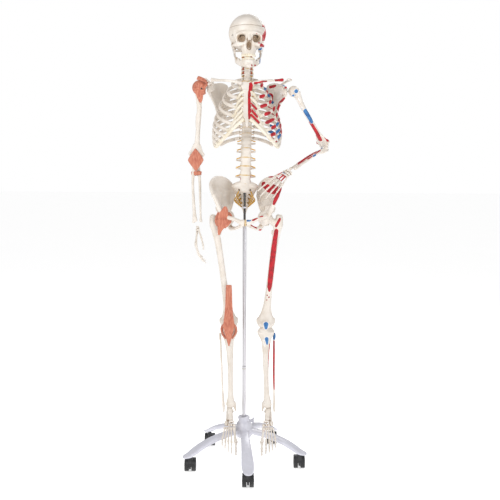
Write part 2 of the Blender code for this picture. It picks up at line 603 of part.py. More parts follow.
def make_skull_base():
    """Lower braincase as an open bowl, with the face, cheek arches and mastoids; sockets and nose are cut in."""
    cut = cap_angle()
    top = CAP_CUT_HEIGHT - CRANIUM_CENTRE.z
    radius_share = 1 - CRANIUM_WALL / CRANIUM_RADII.x
    steps = 5
    outer = [(CRANIUM_RADII.z * 0.80 * math.cos(a), math.sin(a)) if a > math.pi / 2 else
             (CRANIUM_RADII.z * math.cos(a), math.sin(a))
             for a in (cut + (math.pi * 0.93 - cut) * i / steps for i in range(steps + 1))]
    inner = [(h * radius_share + 0.003, r * radius_share) for h, r in outer[1:]]
    profile = [(outer[-1][0], 0.0)] + list(reversed(outer[1:])) + [(top, outer[0][1])]
    profile += [(top, outer[0][1] * radius_share)] + inner + [(inner[-1][0], 0.0)]
    bowl = lathe(profile, CRANIUM_CENTRE, "Z", 20, (CRANIUM_RADII.x, CRANIUM_RADII.y))
    middle = Matrix.Translation((HEAD_PIVOT.x, 0, 0))
    face = loft([((0, -0.050, 1.838), 0.046, 0.028), ((0, -0.062, 1.816), 0.056, 0.034), ((0, -0.062, 1.790), 0.054, 0.032),
                 ((0, -0.068, 1.772), 0.036, 0.026), ((0, -0.074, 1.752), 0.029, 0.024), ((0, -0.074, 1.737), 0.026, 0.022)],
                12, frame=middle, level=True)
    brain_room = ball(CRANIUM_CENTRE, tuple(r * radius_share for r in CRANIUM_RADII), 3)
    bumps = []
    for sign in SIDES.values():
        arch = ((sign * 0.048, -0.070, 1.786), (sign * 0.0665, -0.045, 1.784), (sign * 0.066, -0.016, 1.798))
        bumps.append(bar([middle @ Vector(point) for point in arch], 0.006, 0.004))
        bumps.append(loft([((sign * 0.054, 0.010, 1.824), 0.010, 0.016), ((sign * 0.051, 0.012, 1.773), 0.005, 0.007)],
                          6, frame=middle))
    condyles = [ball(middle @ Vector((sign * 0.014, -0.008, ATLAS_TOP + 0.008)), (0.008, 0.011, 0.007), 1)
                for sign in SIDES.values()]
    sockets = [ball(middle @ Vector((sign * 0.031, -0.094, 1.812)), (0.0195, 0.030, 0.0165)) for sign in SIDES.values()]
    nose = loft([((0, -0.11, 1.800), 0.004, 0.030), ((0, -0.11, 1.782), 0.011, 0.030), ((0, -0.11, 1.772), 0.009, 0.030)],
                8, frame=middle)
    combine("skull_base", bowl, (face, *bumps, *condyles), (brain_room, *sockets, nose), origin=HEAD_PIVOT, parent=HEAD)


def make_mandible():
    """One bent bar: joint head, ramus, jaw angle, chin, and the same up the other side."""
    half = [((0.054, -0.014, 1.776), 0.005, 0.004), ((0.052, -0.016, 1.757), 0.013, 0.0035),
            ((0.047, -0.024, 1.731), 0.014, 0.004), ((0.035, -0.060, 1.716), 0.015, 0.005),
            ((0.018, -0.086, 1.713), 0.019, 0.006)]
    chin = [((0, -0.094, 1.713), 0.020, 0.007)]
    left = [(Vector(p), w, d) for p, w, d in half]
    right = [(Vector((-p.x, p.y, p.z)), w, d) for p, w, d in reversed(left)]
    stations = left + [(Vector(p), w, d) for p, w, d in chin] + right
    builder = bmesh.new()
    rings = []
    for i, (point, half_width, half_depth) in enumerate(stations):
        before, after = stations[max(i - 1, 0)][0], stations[min(i + 1, len(stations) - 1)][0]
        out = Vector((point.x, (point.y + 0.03) * 1.2, 0)).normalized()
        tangent = (after - before).normalized()
        wide = out.cross(tangent).normalized()
        rings.append([builder.verts.new(point + out * half_depth * a + wide * half_width * b)
                      for a, b in ((1, 1), (-1, 1), (-1, -1), (1, -1))])
    for ring, after in zip(rings, rings[1:]):
        for k in range(4):
            builder.faces.new((ring[k], ring[(k + 1) % 4], after[(k + 1) % 4], after[k]))
    builder.faces.new(rings[0])
    builder.faces.new(rings[-1])
    bmesh.ops.translate(builder, verts=builder.verts, vec=Vector((JAW_HINGE.x, 0, 0)))
    add_object("mandible", builder, BONE, JAW_HINGE, HEAD)


# ---------------------------------------------------------------- shoulders and arms

def make_clavicle(side):
    sign = SIDES[side]
    shape = (((0.028, -0.078, 1.636), 0.008, 0.008), ((0.055, -0.090, 1.641), 0.0055, 0.005),
             ((0.090, -0.076, 1.646), 0.005, 0.005), ((0.122, -0.044, 1.651), 0.0055, 0.005),
             ((0.148, -0.022, 1.655), 0.007, 0.004))
    stations = [((CHEST_MIDDLE + sign * p[0], p[1], p[2]), w, d) for p, w, d in shape]
    add_object(f"clavicle_{side}", loft(stations, 6, Vector((0, 0, 1))), BONE, stations[0][0])


def make_scapula(side):
    """Triangular blade behind the ribs with its spine, acromion, coracoid and glenoid."""
    sign = SIDES[side]
    shoulder = SHOULDER[side]
    socket = shoulder + Vector((-sign * (HUMERAL_HEAD_RADIUS + 0.008), 0.004, 0))

    def at(x, y, z):
        return Vector((CHEST_MIDDLE + sign * x, y, z))

    def near(x, y, z):
        return socket + Vector((sign * x, y, z))

    rim = (near(0.0, 0.006, 0.014), at(0.128, 0.066, 1.650), at(0.088, 0.094, 1.645), at(0.078, 0.106, 1.590),
           at(0.092, 0.112, 1.522), at(0.106, 0.106, 1.492), at(0.122, 0.092, 1.512),
           near(-0.004, 0.010, -0.030), near(0.0, 0.006, -0.014))
    blade = plate(rim, at(0.108, 0.092, 1.580), 0.006)
    cup = loft([(near(-0.016, 0.012, 0), 0.009, 0.014), (socket, 0.014, 0.018)], 8, Vector((0, 1, 0)))
    ridge = bar([at(0.084, 0.102, 1.622), at(0.128, 0.084, 1.634), at(0.162, 0.058, 1.656), at(0.180, 0.022, 1.661),
                 at(0.168, -0.010, 1.660)], 0.007, 0.008, Vector((0, 0, 1)))
    beak = bar([near(-0.012, 0.008, 0.012), near(-0.018, -0.016, 0.022), near(-0.004, -0.038, 0.012)], 0.006, 0.006)
    combine(f"scapula_{side}", blade, (cup, ridge, beak), origin=socket)


def make_shoulder_pin(side):
    """Short steel pin between the glenoid and the humeral head; the arm swings on it."""
    sign = SIDES[side]
    centre = SHOULDER[side] + Vector((-sign * (HUMERAL_HEAD_RADIUS + 0.0035), 0, 0))
    add_object(f"shoulder_pin_{side}", lathe(((-0.0025, 0.004), (0.0025, 0.004)), centre, "X", 10), DARK_STEEL,
               SHOULDER[side])


def elbow(side):
    return SHOULDER[side] + UPPER_ARM_WAY[side].normalized() * HUMERUS_LENGTH


def wrist(side):
    return elbow(side) + FOREARM_WAY[side].normalized() * FOREARM_LENGTH


def elbow_axis(side):
    """Hinge line of the elbow: square to both bones; the straight hanging arm bends about the side line."""
    if side == "right":
        return Vector((1, 0, 0))
    return FOREARM_WAY[side].cross(UPPER_ARM_WAY[side]).normalized()


def make_humerus(side):
    sign = SIDES[side]
    across = elbow_axis(side) if side == "left" else Vector((1, 0, 0))
    frame = limb_frame(SHOULDER[side], elbow(side), across)
    outward = frame.to_3x3().inverted() @ Vector((sign, 0, 0))
    lean = 1 if outward.x > 0 else -1
    shape = (((lean * 0.008, 0, -0.012), 0.012, 0.012), ((lean * 0.008, 0, 0.008), 0.018, 0.019),
             ((lean * 0.006, 0, 0.035), 0.014, 0.014), ((0, 0, 0.09), 0.0105, 0.0105), ((0, 0, 0.17), 0.0095, 0.0105),
             ((0, 0, 0.235), 0.013, 0.009), ((0, 0, 0.268), 0.026, 0.0085), ((0, 0, HUMERUS_LENGTH - 0.008), 0.026, 0.008),
             ((0, 0, HUMERUS_LENGTH + 0.002), 0.020, 0.007))
    head = ball(SHOULDER[side], HUMERAL_HEAD_RADIUS, 3)
    combine(f"humerus_{side}", loft(shape, 8, frame=frame), (head,), origin=SHOULDER[side])


def forearm_frame(side):
    return limb_frame(elbow(side), wrist(side), elbow_axis(side))


def thumb_way(side):
    """Which way along the elbow's hinge line the thumb side of the forearm lies."""
    return -1 if side == "right" else 1


def make_ulna(side):
    frame = forearm_frame(side)
    away = -thumb_way(side)
    ulnar = away * FOREARM_SPREAD / 2
    shape = (((away * 0.006, -0.020, -0.016), 0.008, 0.005), ((away * 0.006, -0.019, 0.004), 0.010, 0.006),
             ((away * 0.007, -0.012, 0.024), 0.010, 0.011), ((ulnar * 0.9, -0.005, 0.06), 0.0065, 0.0075),
             ((ulnar, 0, 0.15), 0.0055, 0.006), ((ulnar, 0, FOREARM_LENGTH - 0.030), 0.0045, 0.0045),
             ((ulnar, 0, FOREARM_LENGTH - 0.014), 0.0075, 0.0075))
    add_object(f"ulna_{side}", loft(shape, 8, frame=frame), BONE, elbow(side))


def make_radius(side):
    frame = forearm_frame(side)
    toward = thumb_way(side)
    radial = toward * FOREARM_SPREAD / 2
    shape = (((toward * 0.014, 0.0, 0.013), 0.010, 0.010), ((toward * 0.014, 0.0, 0.021), 0.010, 0.010),
             ((toward * 0.013, 0.0, 0.032), 0.0055, 0.0055), ((toward * 0.013, 0.002, 0.055), 0.0065, 0.0065),
             ((radial * 1.15, 0.001, 0.15), 0.006, 0.0065), ((radial, 0, FOREARM_LENGTH - 0.045), 0.008, 0.007),
             ((radial * 0.9, 0, FOREARM_LENGTH - 0.010), 0.0125, 0.009))
    add_object(f"radius_{side}", loft(shape, 8, frame=frame), BONE, frame @ Vector((toward * 0.014, 0, 0.013)))


def hand_frame(side):
    """At the wrist: X to the thumb side, Y out of the palm, Z to the finger tips."""
    down = HAND_WAY[side].normalized()
    palm = (PALM_WAY[side] - down * PALM_WAY[side].dot(down)).normalized()
    thumb = down.cross(palm) if side == "right" else palm.cross(down)
    turned = Matrix((thumb, palm, down)).transposed().to_4x4()
    return Matrix.Translation(wrist(side)) @ turned


# finger: base x, knuckle x, then the three bones' lengths
FINGERS = ((0.012, 0.026, 0.040, 0.024, 0.018), (0.004, 0.009, 0.044, 0.028, 0.019),
           (-0.004, -0.008, 0.041, 0.026, 0.018), (-0.012, -0.024, 0.032, 0.019, 0.016))
THUMB = (Vector((0.014, 0.004, 0.018)), Vector((0.036, 0.018, 0.052)), Vector((0.046, 0.028, 0.082)),
         Vector((0.050, 0.032, 0.104)))


def finger_line(finger, curl):
    """Joint points of one finger in the hand's frame, from its wrist end to its tip."""
    base_x, knuckle_x, *lengths = finger
    points = [Vector((base_x, 0, 0.026)), Vector((knuckle_x, 0, KNUCKLE_REACH - abs(knuckle_x) * 0.25))]
    for number, length in enumerate(lengths):
        angle = curl * (number + 1)
        spread = (knuckle_x - base_x) / KNUCKLE_REACH
        points.append(points[-1] + Vector((spread * length, math.sin(angle) * length, math.cos(angle) * length)))
    return points


def ray(points, frame, knuckle=0.0058, shaft=0.0040):
    """A row of small bones as one bar, thick at the joints and thin between them."""
    stations = []
    for number, (point, after) in enumerate(zip(points, points[1:])):
        stations += [(point, knuckle, knuckle), (point.lerp(after, 0.5), shaft, shaft)]
        knuckle *= 0.9
        shaft *= 0.9
    stations.append((points[-1], shaft, shaft))
    return loft(stations, 4, turn=math.pi / 4, frame=frame)


def make_hand(side):
    frame = hand_frame(side)
    palm = loft([((0, 0, 0.006), 0.013, 0.007), ((0, 0, 0.018), 0.021, 0.009), ((0, 0, 0.034), 0.018, 0.008)],
                8, frame=frame)
    rays = [ray(finger_line(finger, FINGER_CURL[side]), frame) for finger in FINGERS]
    rays.append(ray(list(THUMB), frame, 0.0062, 0.0046))
    combine(f"hand_{side}", palm, rays, origin=wrist(side))


# ---------------------------------------------------------------- legs

def make_femur(side):
    sign = SIDES[side]
    frame = limb_frame(HIP[side], KNEE[side])
    length = (KNEE[side] - HIP[side]).length
    shape = (((sign * 0.048, -0.004, -0.010), 0.009, 0.012), ((sign * 0.048, 0, 0.010), 0.016, 0.018),
             ((sign * 0.042, 0, 0.045), 0.0175, 0.018), ((sign * 0.030, 0.004, 0.11), 0.0145, 0.0140),
             ((sign * 0.018, 0.010, 0.22), 0.0135, 0.0135), ((sign * 0.008, 0.006, 0.33), 0.0150, 0.0145),
             ((sign * 0.002, 0.002, length - 0.065), 0.024, 0.017), ((0, -0.003, length - 0.034), 0.037, 0.023),
             ((0, -0.008, length - 0.012), 0.036, 0.026), ((0, -0.010, length - 0.005), 0.030, 0.021))
    neck = loft([((0, 0, 0), 0.014, 0.014), ((sign * 0.046, 0, 0.028), 0.0135, 0.0165)], 8, Vector((0, 1, 0)),
                frame=frame)
    head = ball(HIP[side], FEMORAL_HEAD_RADIUS, 3)
    combine(f"femur_{side}", loft(shape, 8, frame=frame), (neck, head), origin=HIP[side])


def make_patella(side):
    centre = KNEE[side] + Vector((0, -0.0245, 0.022)) + Vector((0, -0.012, 0))
    shape = lathe(((-0.021, 0.003), (-0.010, 0.015), (0.004, 0.0195), (0.015, 0.014), (0.019, 0.006)), centre, "Z", 10,
                  (1.0, 0.38))
    add_object(f"patella_{side}", shape, BONE, centre)


def shank_frame(side):
    return limb_frame(KNEE[side], ANKLE[side])


def make_tibia(side):
    sign = SIDES[side]
    frame = shank_frame(side)
    length = (ANKLE[side] - KNEE[side]).length
    shape = (((0, -0.006, 0.006), 0.035, 0.024), ((0, -0.004, 0.019), 0.036, 0.024), ((0, 0, 0.034), 0.0265, 0.022),
             ((0, 0.002, 0.052), 0.021, 0.020), ((-sign * 0.002, 0.005, 0.09), 0.0165, 0.0175),
             ((-sign * 0.004, 0.004, 0.16), 0.0130, 0.0150),
             ((-sign * 0.004, 0.001, 0.25), 0.0112, 0.0120), ((-sign * 0.003, 0, length - 0.055), 0.0140, 0.0140),
             ((-sign * 0.003, 0, length - 0.022), 0.0210, 0.0175), ((-sign * 0.003, 0, length - TALUS_RADIUS - 0.001), 0.0215, 0.0175))
    malleolus = loft([((-sign * 0.0205, 0, length - 0.022), 0.006, 0.010), ((-sign * 0.0225, 0, length + 0.004), 0.004, 0.006)],
                     6, frame=frame)
    combine(f"tibia_{side}", loft(shape, 8, frame=frame), (malleolus,), origin=KNEE[side])


def make_fibula(side):
    sign = SIDES[side]
    length = (ANKLE[side] - KNEE[side]).length
    out = sign * FIBULA_SPREAD[side]
    shape = (((out, -0.017, 0.029), 0.0055, 0.007), ((out, -0.016, 0.040), 0.0065, 0.009),
             ((out * 0.94, -0.014, 0.062), 0.0045, 0.005), ((out * 0.86, -0.009, 0.17), 0.0048, 0.0055),
             ((out * 0.78, -0.004, length - 0.065), 0.0048, 0.0050),
             ((sign * 0.0275, -0.002, length - 0.014), 0.0060, 0.0095),
             ((sign * 0.0270, -0.002, length + 0.010), 0.0045, 0.006))
    add_object(f"fibula_{side}", loft(shape, 8, frame=shank_frame(side)), BONE, KNEE[side])


def foot_frame(side):
    """At the ankle: X to the skeleton's left, Y out of the top of the foot, Z to the toes."""
    sign = SIDES[side]
    toes = Vector((sign * math.sin(FOOT_SPLAY), -math.cos(FOOT_PITCH), -math.sin(FOOT_PITCH))).normalized()
    top = toes.cross(Vector((1, 0, 0))).normalized()
    if top.z < 0:
        top = -top
    side_way = top.cross(toes)
    turned = Matrix((side_way, top, toes)).transposed().to_4x4()
    return Matrix.Translation(ANKLE[side]) @ turned


# toe: base x, ball x, toe x, ball reach, toe reach, radius (x to the little toe)
TOES = ((-0.019, -0.029, -0.031, 0.132, FOOT_REACH, 0.0082), (-0.007, -0.011, -0.013, 0.136, 0.180, 0.0055),
        (0.002, 0.003, 0.002, 0.132, 0.174, 0.0052), (0.011, 0.016, 0.016, 0.126, 0.166, 0.0050),
        (0.020, 0.029, 0.029, 0.117, 0.154, 0.0052))


def make_foot(side):
    sign = SIDES[side]
    frame = foot_frame(side)
    talus = ball(ANKLE[side], (0.0125, TALUS_RADIUS, TALUS_RADIUS))
    ankle_block = loft([((0, -0.004, 0.002), 0.0120, 0.009), ((-sign * 0.003, -0.016, 0.030), 0.0145, 0.013)], 8,
                       frame=frame)
    heel = loft([((sign * 0.004, -0.036, -0.056), 0.011, 0.013), ((sign * 0.004, -0.034, -0.030), 0.013, 0.017),
                 ((sign * 0.004, -0.029, 0.010), 0.015, 0.013), ((sign * 0.006, -0.028, 0.040), 0.013, 0.010)],
                8, frame=frame)
    middle = loft([((0, -0.020, 0.022), 0.020, 0.012), ((0, -0.020, 0.050), 0.026, 0.011), ((0, -0.022, 0.076), 0.027, 0.009)],
                  8, frame=frame)
    toes = []
    for base_x, ball_x, toe_x, ball_reach, toe_reach, radius in TOES:
        bend = ((base_x, -0.022, 0.066, 0.9), ((base_x + ball_x) / 2, -0.025, 0.100, 0.75),
                (ball_x, -0.033, ball_reach, 1.0), ((ball_x + toe_x) / 2, -0.034, (ball_reach + toe_reach) / 2, 0.7),
                (toe_x, -0.037, toe_reach, 0.6))
        toes.append(loft([((sign * x, y, z), radius * share, radius * share) for x, y, z, share in bend],
                         4, turn=math.pi / 4, frame=frame))
    combine(f"foot_{side}", heel, (talus, ankle_block, middle, *toes), origin=ANKLE[side])


# ---------------------------------------------------------------- ligaments of the right side

def make_ligaments():
    """Four rubber bands of the right side, each clear of the bones that it spans."""
    side = "right"
    sign = SIDES[side]
    shoulder = SHOULDER[side]
    hood = loft([(shoulder + Vector((-0.018, -0.026, 0.026)), 0.006, 0.0025), (shoulder + Vector((-0.004, -0.034, 0.022)), 0.016, 0.0025),
                 (shoulder + Vector((0.0, -0.037, 0.0)), 0.026, 0.0025), (shoulder + Vector((0.004, -0.036, -0.020)), 0.024, 0.0025),
                 (shoulder + Vector((0.006, -0.034, -0.044)), 0.016, 0.0025)], 8)
    add_object("shoulder_ligament_right", hood, LIGAMENT, shoulder)
    joint = elbow(side)
    front = limb_frame(joint, wrist(side))
    band = loft([((0, 0.023, -0.044), 0.003, 0.0025), ((0, 0.022, -0.016), 0.026, 0.0025), ((0, 0.022, 0.000), 0.034, 0.0025),
                 ((0, 0.022, 0.020), 0.022, 0.0025), ((0, 0.020, 0.044), 0.008, 0.0025)], 8, frame=front)
    add_object("elbow_ligament_right", band, LIGAMENT, joint)
    hip = HIP[side]
    strap = loft([(hip + Vector((0.0, -0.048, 0.052)), 0.008, 0.0025), (hip + Vector((0.0, -0.046, 0.030)), 0.016, 0.0025),
                  (hip + Vector((sign * 0.004, -0.046, 0.002)), 0.024, 0.0025),
                  (hip + Vector((sign * 0.012, -0.042, -0.030)), 0.016, 0.0025),
                  (hip + Vector((sign * 0.022, -0.036, -0.066)), 0.005, 0.0025)], 8)
    add_object("hip_ligament_right", strap, LIGAMENT, hip)
    knee = KNEE[side]
    tendon = loft([(knee + Vector((0.0, -0.034, 0.190)), 0.012, 0.0025), (knee + Vector((0.0, -0.038, 0.110)), 0.015, 0.0025),
                   (knee + Vector((0.0, -0.048, 0.045)), 0.022, 0.0025), (knee + Vector((0.0, -0.050, 0.020)), 0.023, 0.0025),
                   (knee + Vector((0.0, -0.046, -0.012)), 0.017, 0.0025), (knee + Vector((0.0, -0.034, -0.050)), 0.008, 0.0025),
                   (knee + Vector((0.0, -0.030, -0.064)), 0.003, 0.0025)], 8)
    add_object("knee_ligament_right", tendon, LIGAMENT, knee)


def centre_footprint():
    """Shifts the whole model so that the middle of its box stands on the origin, to the nearest millimetre."""
    bpy.context.view_layer.update()
    graph = bpy.context.evaluated_depsgraph_get()
    corners = []
    for obj in bpy.data.objects:
        if obj.type == "MESH" and not obj.hide_render:
            shown = obj.evaluated_get(graph)
            corners += [shown.matrix_world @ Vector(corner) for corner in shown.bound_box]
    for axis in (0, 1):
        values = [corner[axis] for corner in corners]
        ROOT.location[axis] = -round((min(values) + max(values)) / 2, 3)


def make_all():
    make_star_base()
    make_clamp_knob()
    for index in range(LEG_COUNT):
        make_caster(index)
    make_poles()
    make_sacrum()
    add_object("pubic_symphysis", lathe(((-0.0028, 0.012), (0.0028, 0.012)), Vector((PELVIS_MIDDLE, -0.098, 1.070)),
                                          "X", 10), CARTILAGE, (PELVIS_MIDDLE, -0.098, 1.070))
    make_lumbar_spine()
    for index in range(THORACIC_COUNT // RIBS_PER_BLOCK):
        make_thoracic_block(index)
    make_sternum()
    make_neck()
    make_skull_cap()
    make_skull_base()
    make_mandible()
    for side in SIDES:
        make_hip_bone(side)
        make_hip_pin(side)
        make_clavicle(side)
        make_scapula(side)
        make_shoulder_pin(side)
        make_humerus(side)
        make_ulna(side)
        make_radius(side)
        make_hand(side)
        make_femur(side)
        make_patella(side)
        make_tibia(side)
        make_fibula(side)
        make_foot(side)
    make_ligaments()
    centre_footprint()


HEAD = empty("head_turned", HEAD_PIVOT, ROOT)
make_all()
HEAD.rotation_euler.z = HEAD_YAW
bpy.context.view_layer.update()
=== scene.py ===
import json
import math

import bmesh
import bpy
import numpy as np
import openvdb
from mathutils import Matrix, Vector


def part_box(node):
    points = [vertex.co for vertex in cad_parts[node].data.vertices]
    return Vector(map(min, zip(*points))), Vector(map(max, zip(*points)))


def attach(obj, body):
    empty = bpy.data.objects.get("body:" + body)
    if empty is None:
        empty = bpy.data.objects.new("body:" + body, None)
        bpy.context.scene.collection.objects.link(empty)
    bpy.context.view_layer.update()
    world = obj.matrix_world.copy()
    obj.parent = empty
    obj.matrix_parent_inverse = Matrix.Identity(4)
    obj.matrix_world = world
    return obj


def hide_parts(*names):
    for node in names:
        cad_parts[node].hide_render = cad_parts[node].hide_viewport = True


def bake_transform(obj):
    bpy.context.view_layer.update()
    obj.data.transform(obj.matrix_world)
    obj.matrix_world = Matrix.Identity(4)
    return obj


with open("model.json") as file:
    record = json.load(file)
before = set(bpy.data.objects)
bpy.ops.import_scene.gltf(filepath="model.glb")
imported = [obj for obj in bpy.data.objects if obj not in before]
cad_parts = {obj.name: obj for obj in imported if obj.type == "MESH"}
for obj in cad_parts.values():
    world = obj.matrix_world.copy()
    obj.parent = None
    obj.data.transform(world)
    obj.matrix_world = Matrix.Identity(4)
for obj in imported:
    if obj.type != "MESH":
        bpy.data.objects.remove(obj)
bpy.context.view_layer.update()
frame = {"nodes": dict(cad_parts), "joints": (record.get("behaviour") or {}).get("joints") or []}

# places read from the frame; everything below is laid out from the foot of the pole
joints = {joint["name"]: joint for joint in frame["joints"]}
poleLow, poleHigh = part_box("lower_pole")
standFoot = Vector(((poleLow.x + poleHigh.x) / 2, (poleLow.y + poleHigh.y) / 2, 0))
signs = {"right": -1, "left": 1}
middleX = 0.009  # the chest's and the head's middle plane


def pivot(name):
    return Vector(joints[name]["pos_m"]) - standFoot


hipAt = {side: pivot(f"hip_swing_{side}") for side in signs}
kneeAt = {side: pivot(f"knee_bend_{side}") for side in signs}
ankleAt = {side: pivot(f"ankle_bend_{side}") for side in signs}
shoulderAt = {side: pivot(f"shoulder_swing_{side}") for side in signs}
elbowAt = {side: pivot(f"elbow_bend_{side}") for side in signs}
wristAt = {side: pivot(f"wrist_bend_{side}") for side in signs}
headPivot = pivot("head_turn")
jawAxis = joints["jaw_open"]["axis"]
placeBody = Matrix.Translation(standFoot)
headYaw = math.atan2(jawAxis[1], jawAxis[0])
placeHead = (placeBody @ Matrix.Translation(headPivot) @ Matrix.Rotation(headYaw, 4, "Z")
    @ Matrix.Translation(-headPivot))


def newGroup(name, inputs, outputs):
    group = bpy.data.node_groups.new(name, "ShaderNodeTree")
    for label, kind, value in inputs:
        socket = group.interface.new_socket(label, in_out="INPUT", socket_type=kind)
        socket.default_value = value
    for label, kind in outputs:
        group.interface.new_socket(label, in_out="OUTPUT", socket_type=kind)
    return group, group.nodes.new("NodeGroupInput"), group.nodes.new("NodeGroupOutput")


def addNode(tree, kind, wires=None, settings=None, **values):
    node = tree.nodes.new(kind)
    for key, value in (settings or {}).items():
        setattr(node, key, value)
    for key, value in values.items():
        node.inputs[key.replace("_", " ")].default_value = value
    for key, source in (wires or {}).items():
        tree.links.new(source, node.inputs[key])
    return node


def mathNode(tree, operation, first, second=None, third=None):
    node = tree.nodes.new("ShaderNodeMath")
    node.operation = operation
    for slot, value in enumerate((first, second, third)):
        if value is None:
            continue
        if isinstance(value, (int, float)):
            node.inputs[slot].default_value = value
        else:
            tree.links.new(value, node.inputs[slot])
    return node.outputs[0]


def ramp(tree, value, low, high):
    node = addNode(tree, "ShaderNodeMapRange", {"Value": value}, {"interpolation_type": "SMOOTHSTEP"}, From_Min=low,
        From_Max=high)
    return node.outputs["Result"]


def mixColour(tree, share, first, second):
    node = tree.nodes.new("ShaderNodeMix")
    node.data_type = "RGBA"
    for slot, value in ((0, share), (6, first), (7, second)):
        if isinstance(value, (tuple, float, int)):
            node.inputs[slot].default_value = value if isinstance(value, (float, int)) else (*value, 1)
        else:
            tree.links.new(value, node.inputs[slot])
    return node.outputs[2]


def makeGrainGroup():
    # fine grain of a moulded or coated surface: bump height, and slow clouds for colour and roughness
    group, given, out = newGroup("surfaceGrain",
        (("Fine Scale", "NodeSocketFloat", 900.0), ("Cloud Scale", "NodeSocketFloat", 18.0)),
        (("Height", "NodeSocketFloat"), ("Cloud", "NodeSocketFloat")))
    place = group.nodes.new("ShaderNodeTexCoord").outputs["Object"]
    fine = addNode(group, "ShaderNodeTexNoise", {"Vector": place, "Scale": given.outputs["Fine Scale"]}, Detail=2.0)
    soft = addNode(group, "ShaderNodeTexNoise", {"Vector": place, "Scale": given.outputs["Cloud Scale"]}, Detail=4.0)
    group.links.new(fine.outputs[0], out.inputs["Height"])
    group.links.new(ramp(group, soft.outputs[0], 0.35, 0.68), out.inputs["Cloud"])
    return group


def makePaintGroup():
    # red and blue muscle fields from the pieces' own attributes, which hold millimetres inside the field
    group, given, out = newGroup("muscleFields",
        (("Halo", "NodeSocketFloat", 1.1), ("Soften", "NodeSocketFloat", 0.35)),
        (("Red", "NodeSocketFloat"), ("Blue", "NodeSocketFloat"), ("White Rim", "NodeSocketFloat"),
        ("Streaks", "NodeSocketFloat")))
    place = group.nodes.new("ShaderNodeTexCoord").outputs["Object"]
    wobble = addNode(group, "ShaderNodeTexNoise", {"Vector": place}, Scale=260.0, Detail=2.0)
    wander = mathNode(group, "MULTIPLY_ADD", wobble.outputs[0], 0.9, -0.45)
    masks = {}
    for colour in ("red", "blue"):
        inside = addNode(group, "ShaderNodeAttribute", None, {"attribute_name": colour}).outputs["Fac"]
        depth = mathNode(group, "ADD", inside, wander)
        node = addNode(group, "ShaderNodeMapRange", {"Value": depth, "From Max": given.outputs["Soften"]},
            {"interpolation_type": "SMOOTHSTEP"}, From_Min=0.05)
        masks[colour] = mathNode(group, "MULTIPLY", node.outputs["Result"],
            mathNode(group, "GREATER_THAN", inside, -8.0))
        masks[colour + "Depth"] = depth
    reach = mathNode(group, "ADD", masks["blueDepth"], given.outputs["Halo"])
    rim = mathNode(group, "MULTIPLY", ramp(group, reach, 0.0, 0.3),
        mathNode(group, "GREATER_THAN", masks["blueDepth"], -6.0))
    streak = addNode(group, "ShaderNodeTexNoise", {"Vector": place}, Scale=70.0, Detail=5.0)
    group.links.new(masks["red"], out.inputs["Red"])
    group.links.new(masks["blue"], out.inputs["Blue"])
    group.links.new(rim, out.inputs["White Rim"])
    group.links.new(ramp(group, streak.outputs[0], 0.38, 0.66), out.inputs["Streaks"])
    return group


def makeHollowShadeGroup():
    # painted shade: hollows are painted a darker brown tan, raised places stay pale; the attribute is measured on the
    # shape itself
    group, given, out = newGroup("paintedHollowShade", (("Amount", "NodeSocketFloat", 1.0),), (("Hollow Shade", "NodeSocketFloat"),))
    hollow = addNode(group, "ShaderNodeAttribute", None, {"attribute_name": "shadeAndSeams"}).outputs["Fac"]
    place = group.nodes.new("ShaderNodeTexCoord").outputs["Object"]
    mottle = addNode(group, "ShaderNodeTexNoise", {"Vector": place}, Scale=55.0, Detail=4.0)
    broken = mathNode(group, "MULTIPLY", ramp(group, hollow, 0.1, 0.85),
        mathNode(group, "MULTIPLY_ADD", mottle.outputs[0], 0.7, 0.65))
    group.links.new(mathNode(group, "MULTIPLY", broken, given.outputs["Amount"]), out.inputs["Hollow Shade"])
    return group


grainGroup, paintGroup, hollowShadeGroup = makeGrainGroup(), makePaintGroup(), makeHollowShadeGroup()


def useGroup(tree, group, **values):
    node = tree.nodes.new("ShaderNodeGroup")
    node.node_tree = group
    for key, value in values.items():
        node.inputs[key.replace("_", " ")].default_value = value
    return node.outputs


def newMaterial(name, **constants):
    made = bpy.data.materials.new(name)
    made.use_nodes = True
    shader = made.node_tree.nodes["Principled BSDF"]
    for key, value in constants.items():
        shader.inputs[key.replace("_", " ")].default_value = value
    return made, made.node_tree, shader


def bumpInto(tree, shader, height, strength, distance):
    node = addNode(tree, "ShaderNodeBump", {"Height": height}, Strength=strength, Distance=distance)
    tree.links.new(node.outputs["Normal"], shader.inputs["Normal"])


# the darker tan below is painted into hollows as shade
boneLook = {"ivory": (0.76, 0.705, 0.645), "cream": (0.68, 0.615, 0.54), "paintedShade": (0.4, 0.285, 0.185),
    "red": (0.52, 0.012, 0.022), "darkRed": (0.3, 0.012, 0.018), "blue": (0.022, 0.105, 0.3),
    "paleBlue": (0.055, 0.2, 0.45), "rim": (0.86, 0.85, 0.83), "roughness": (0.4, 0.56)}


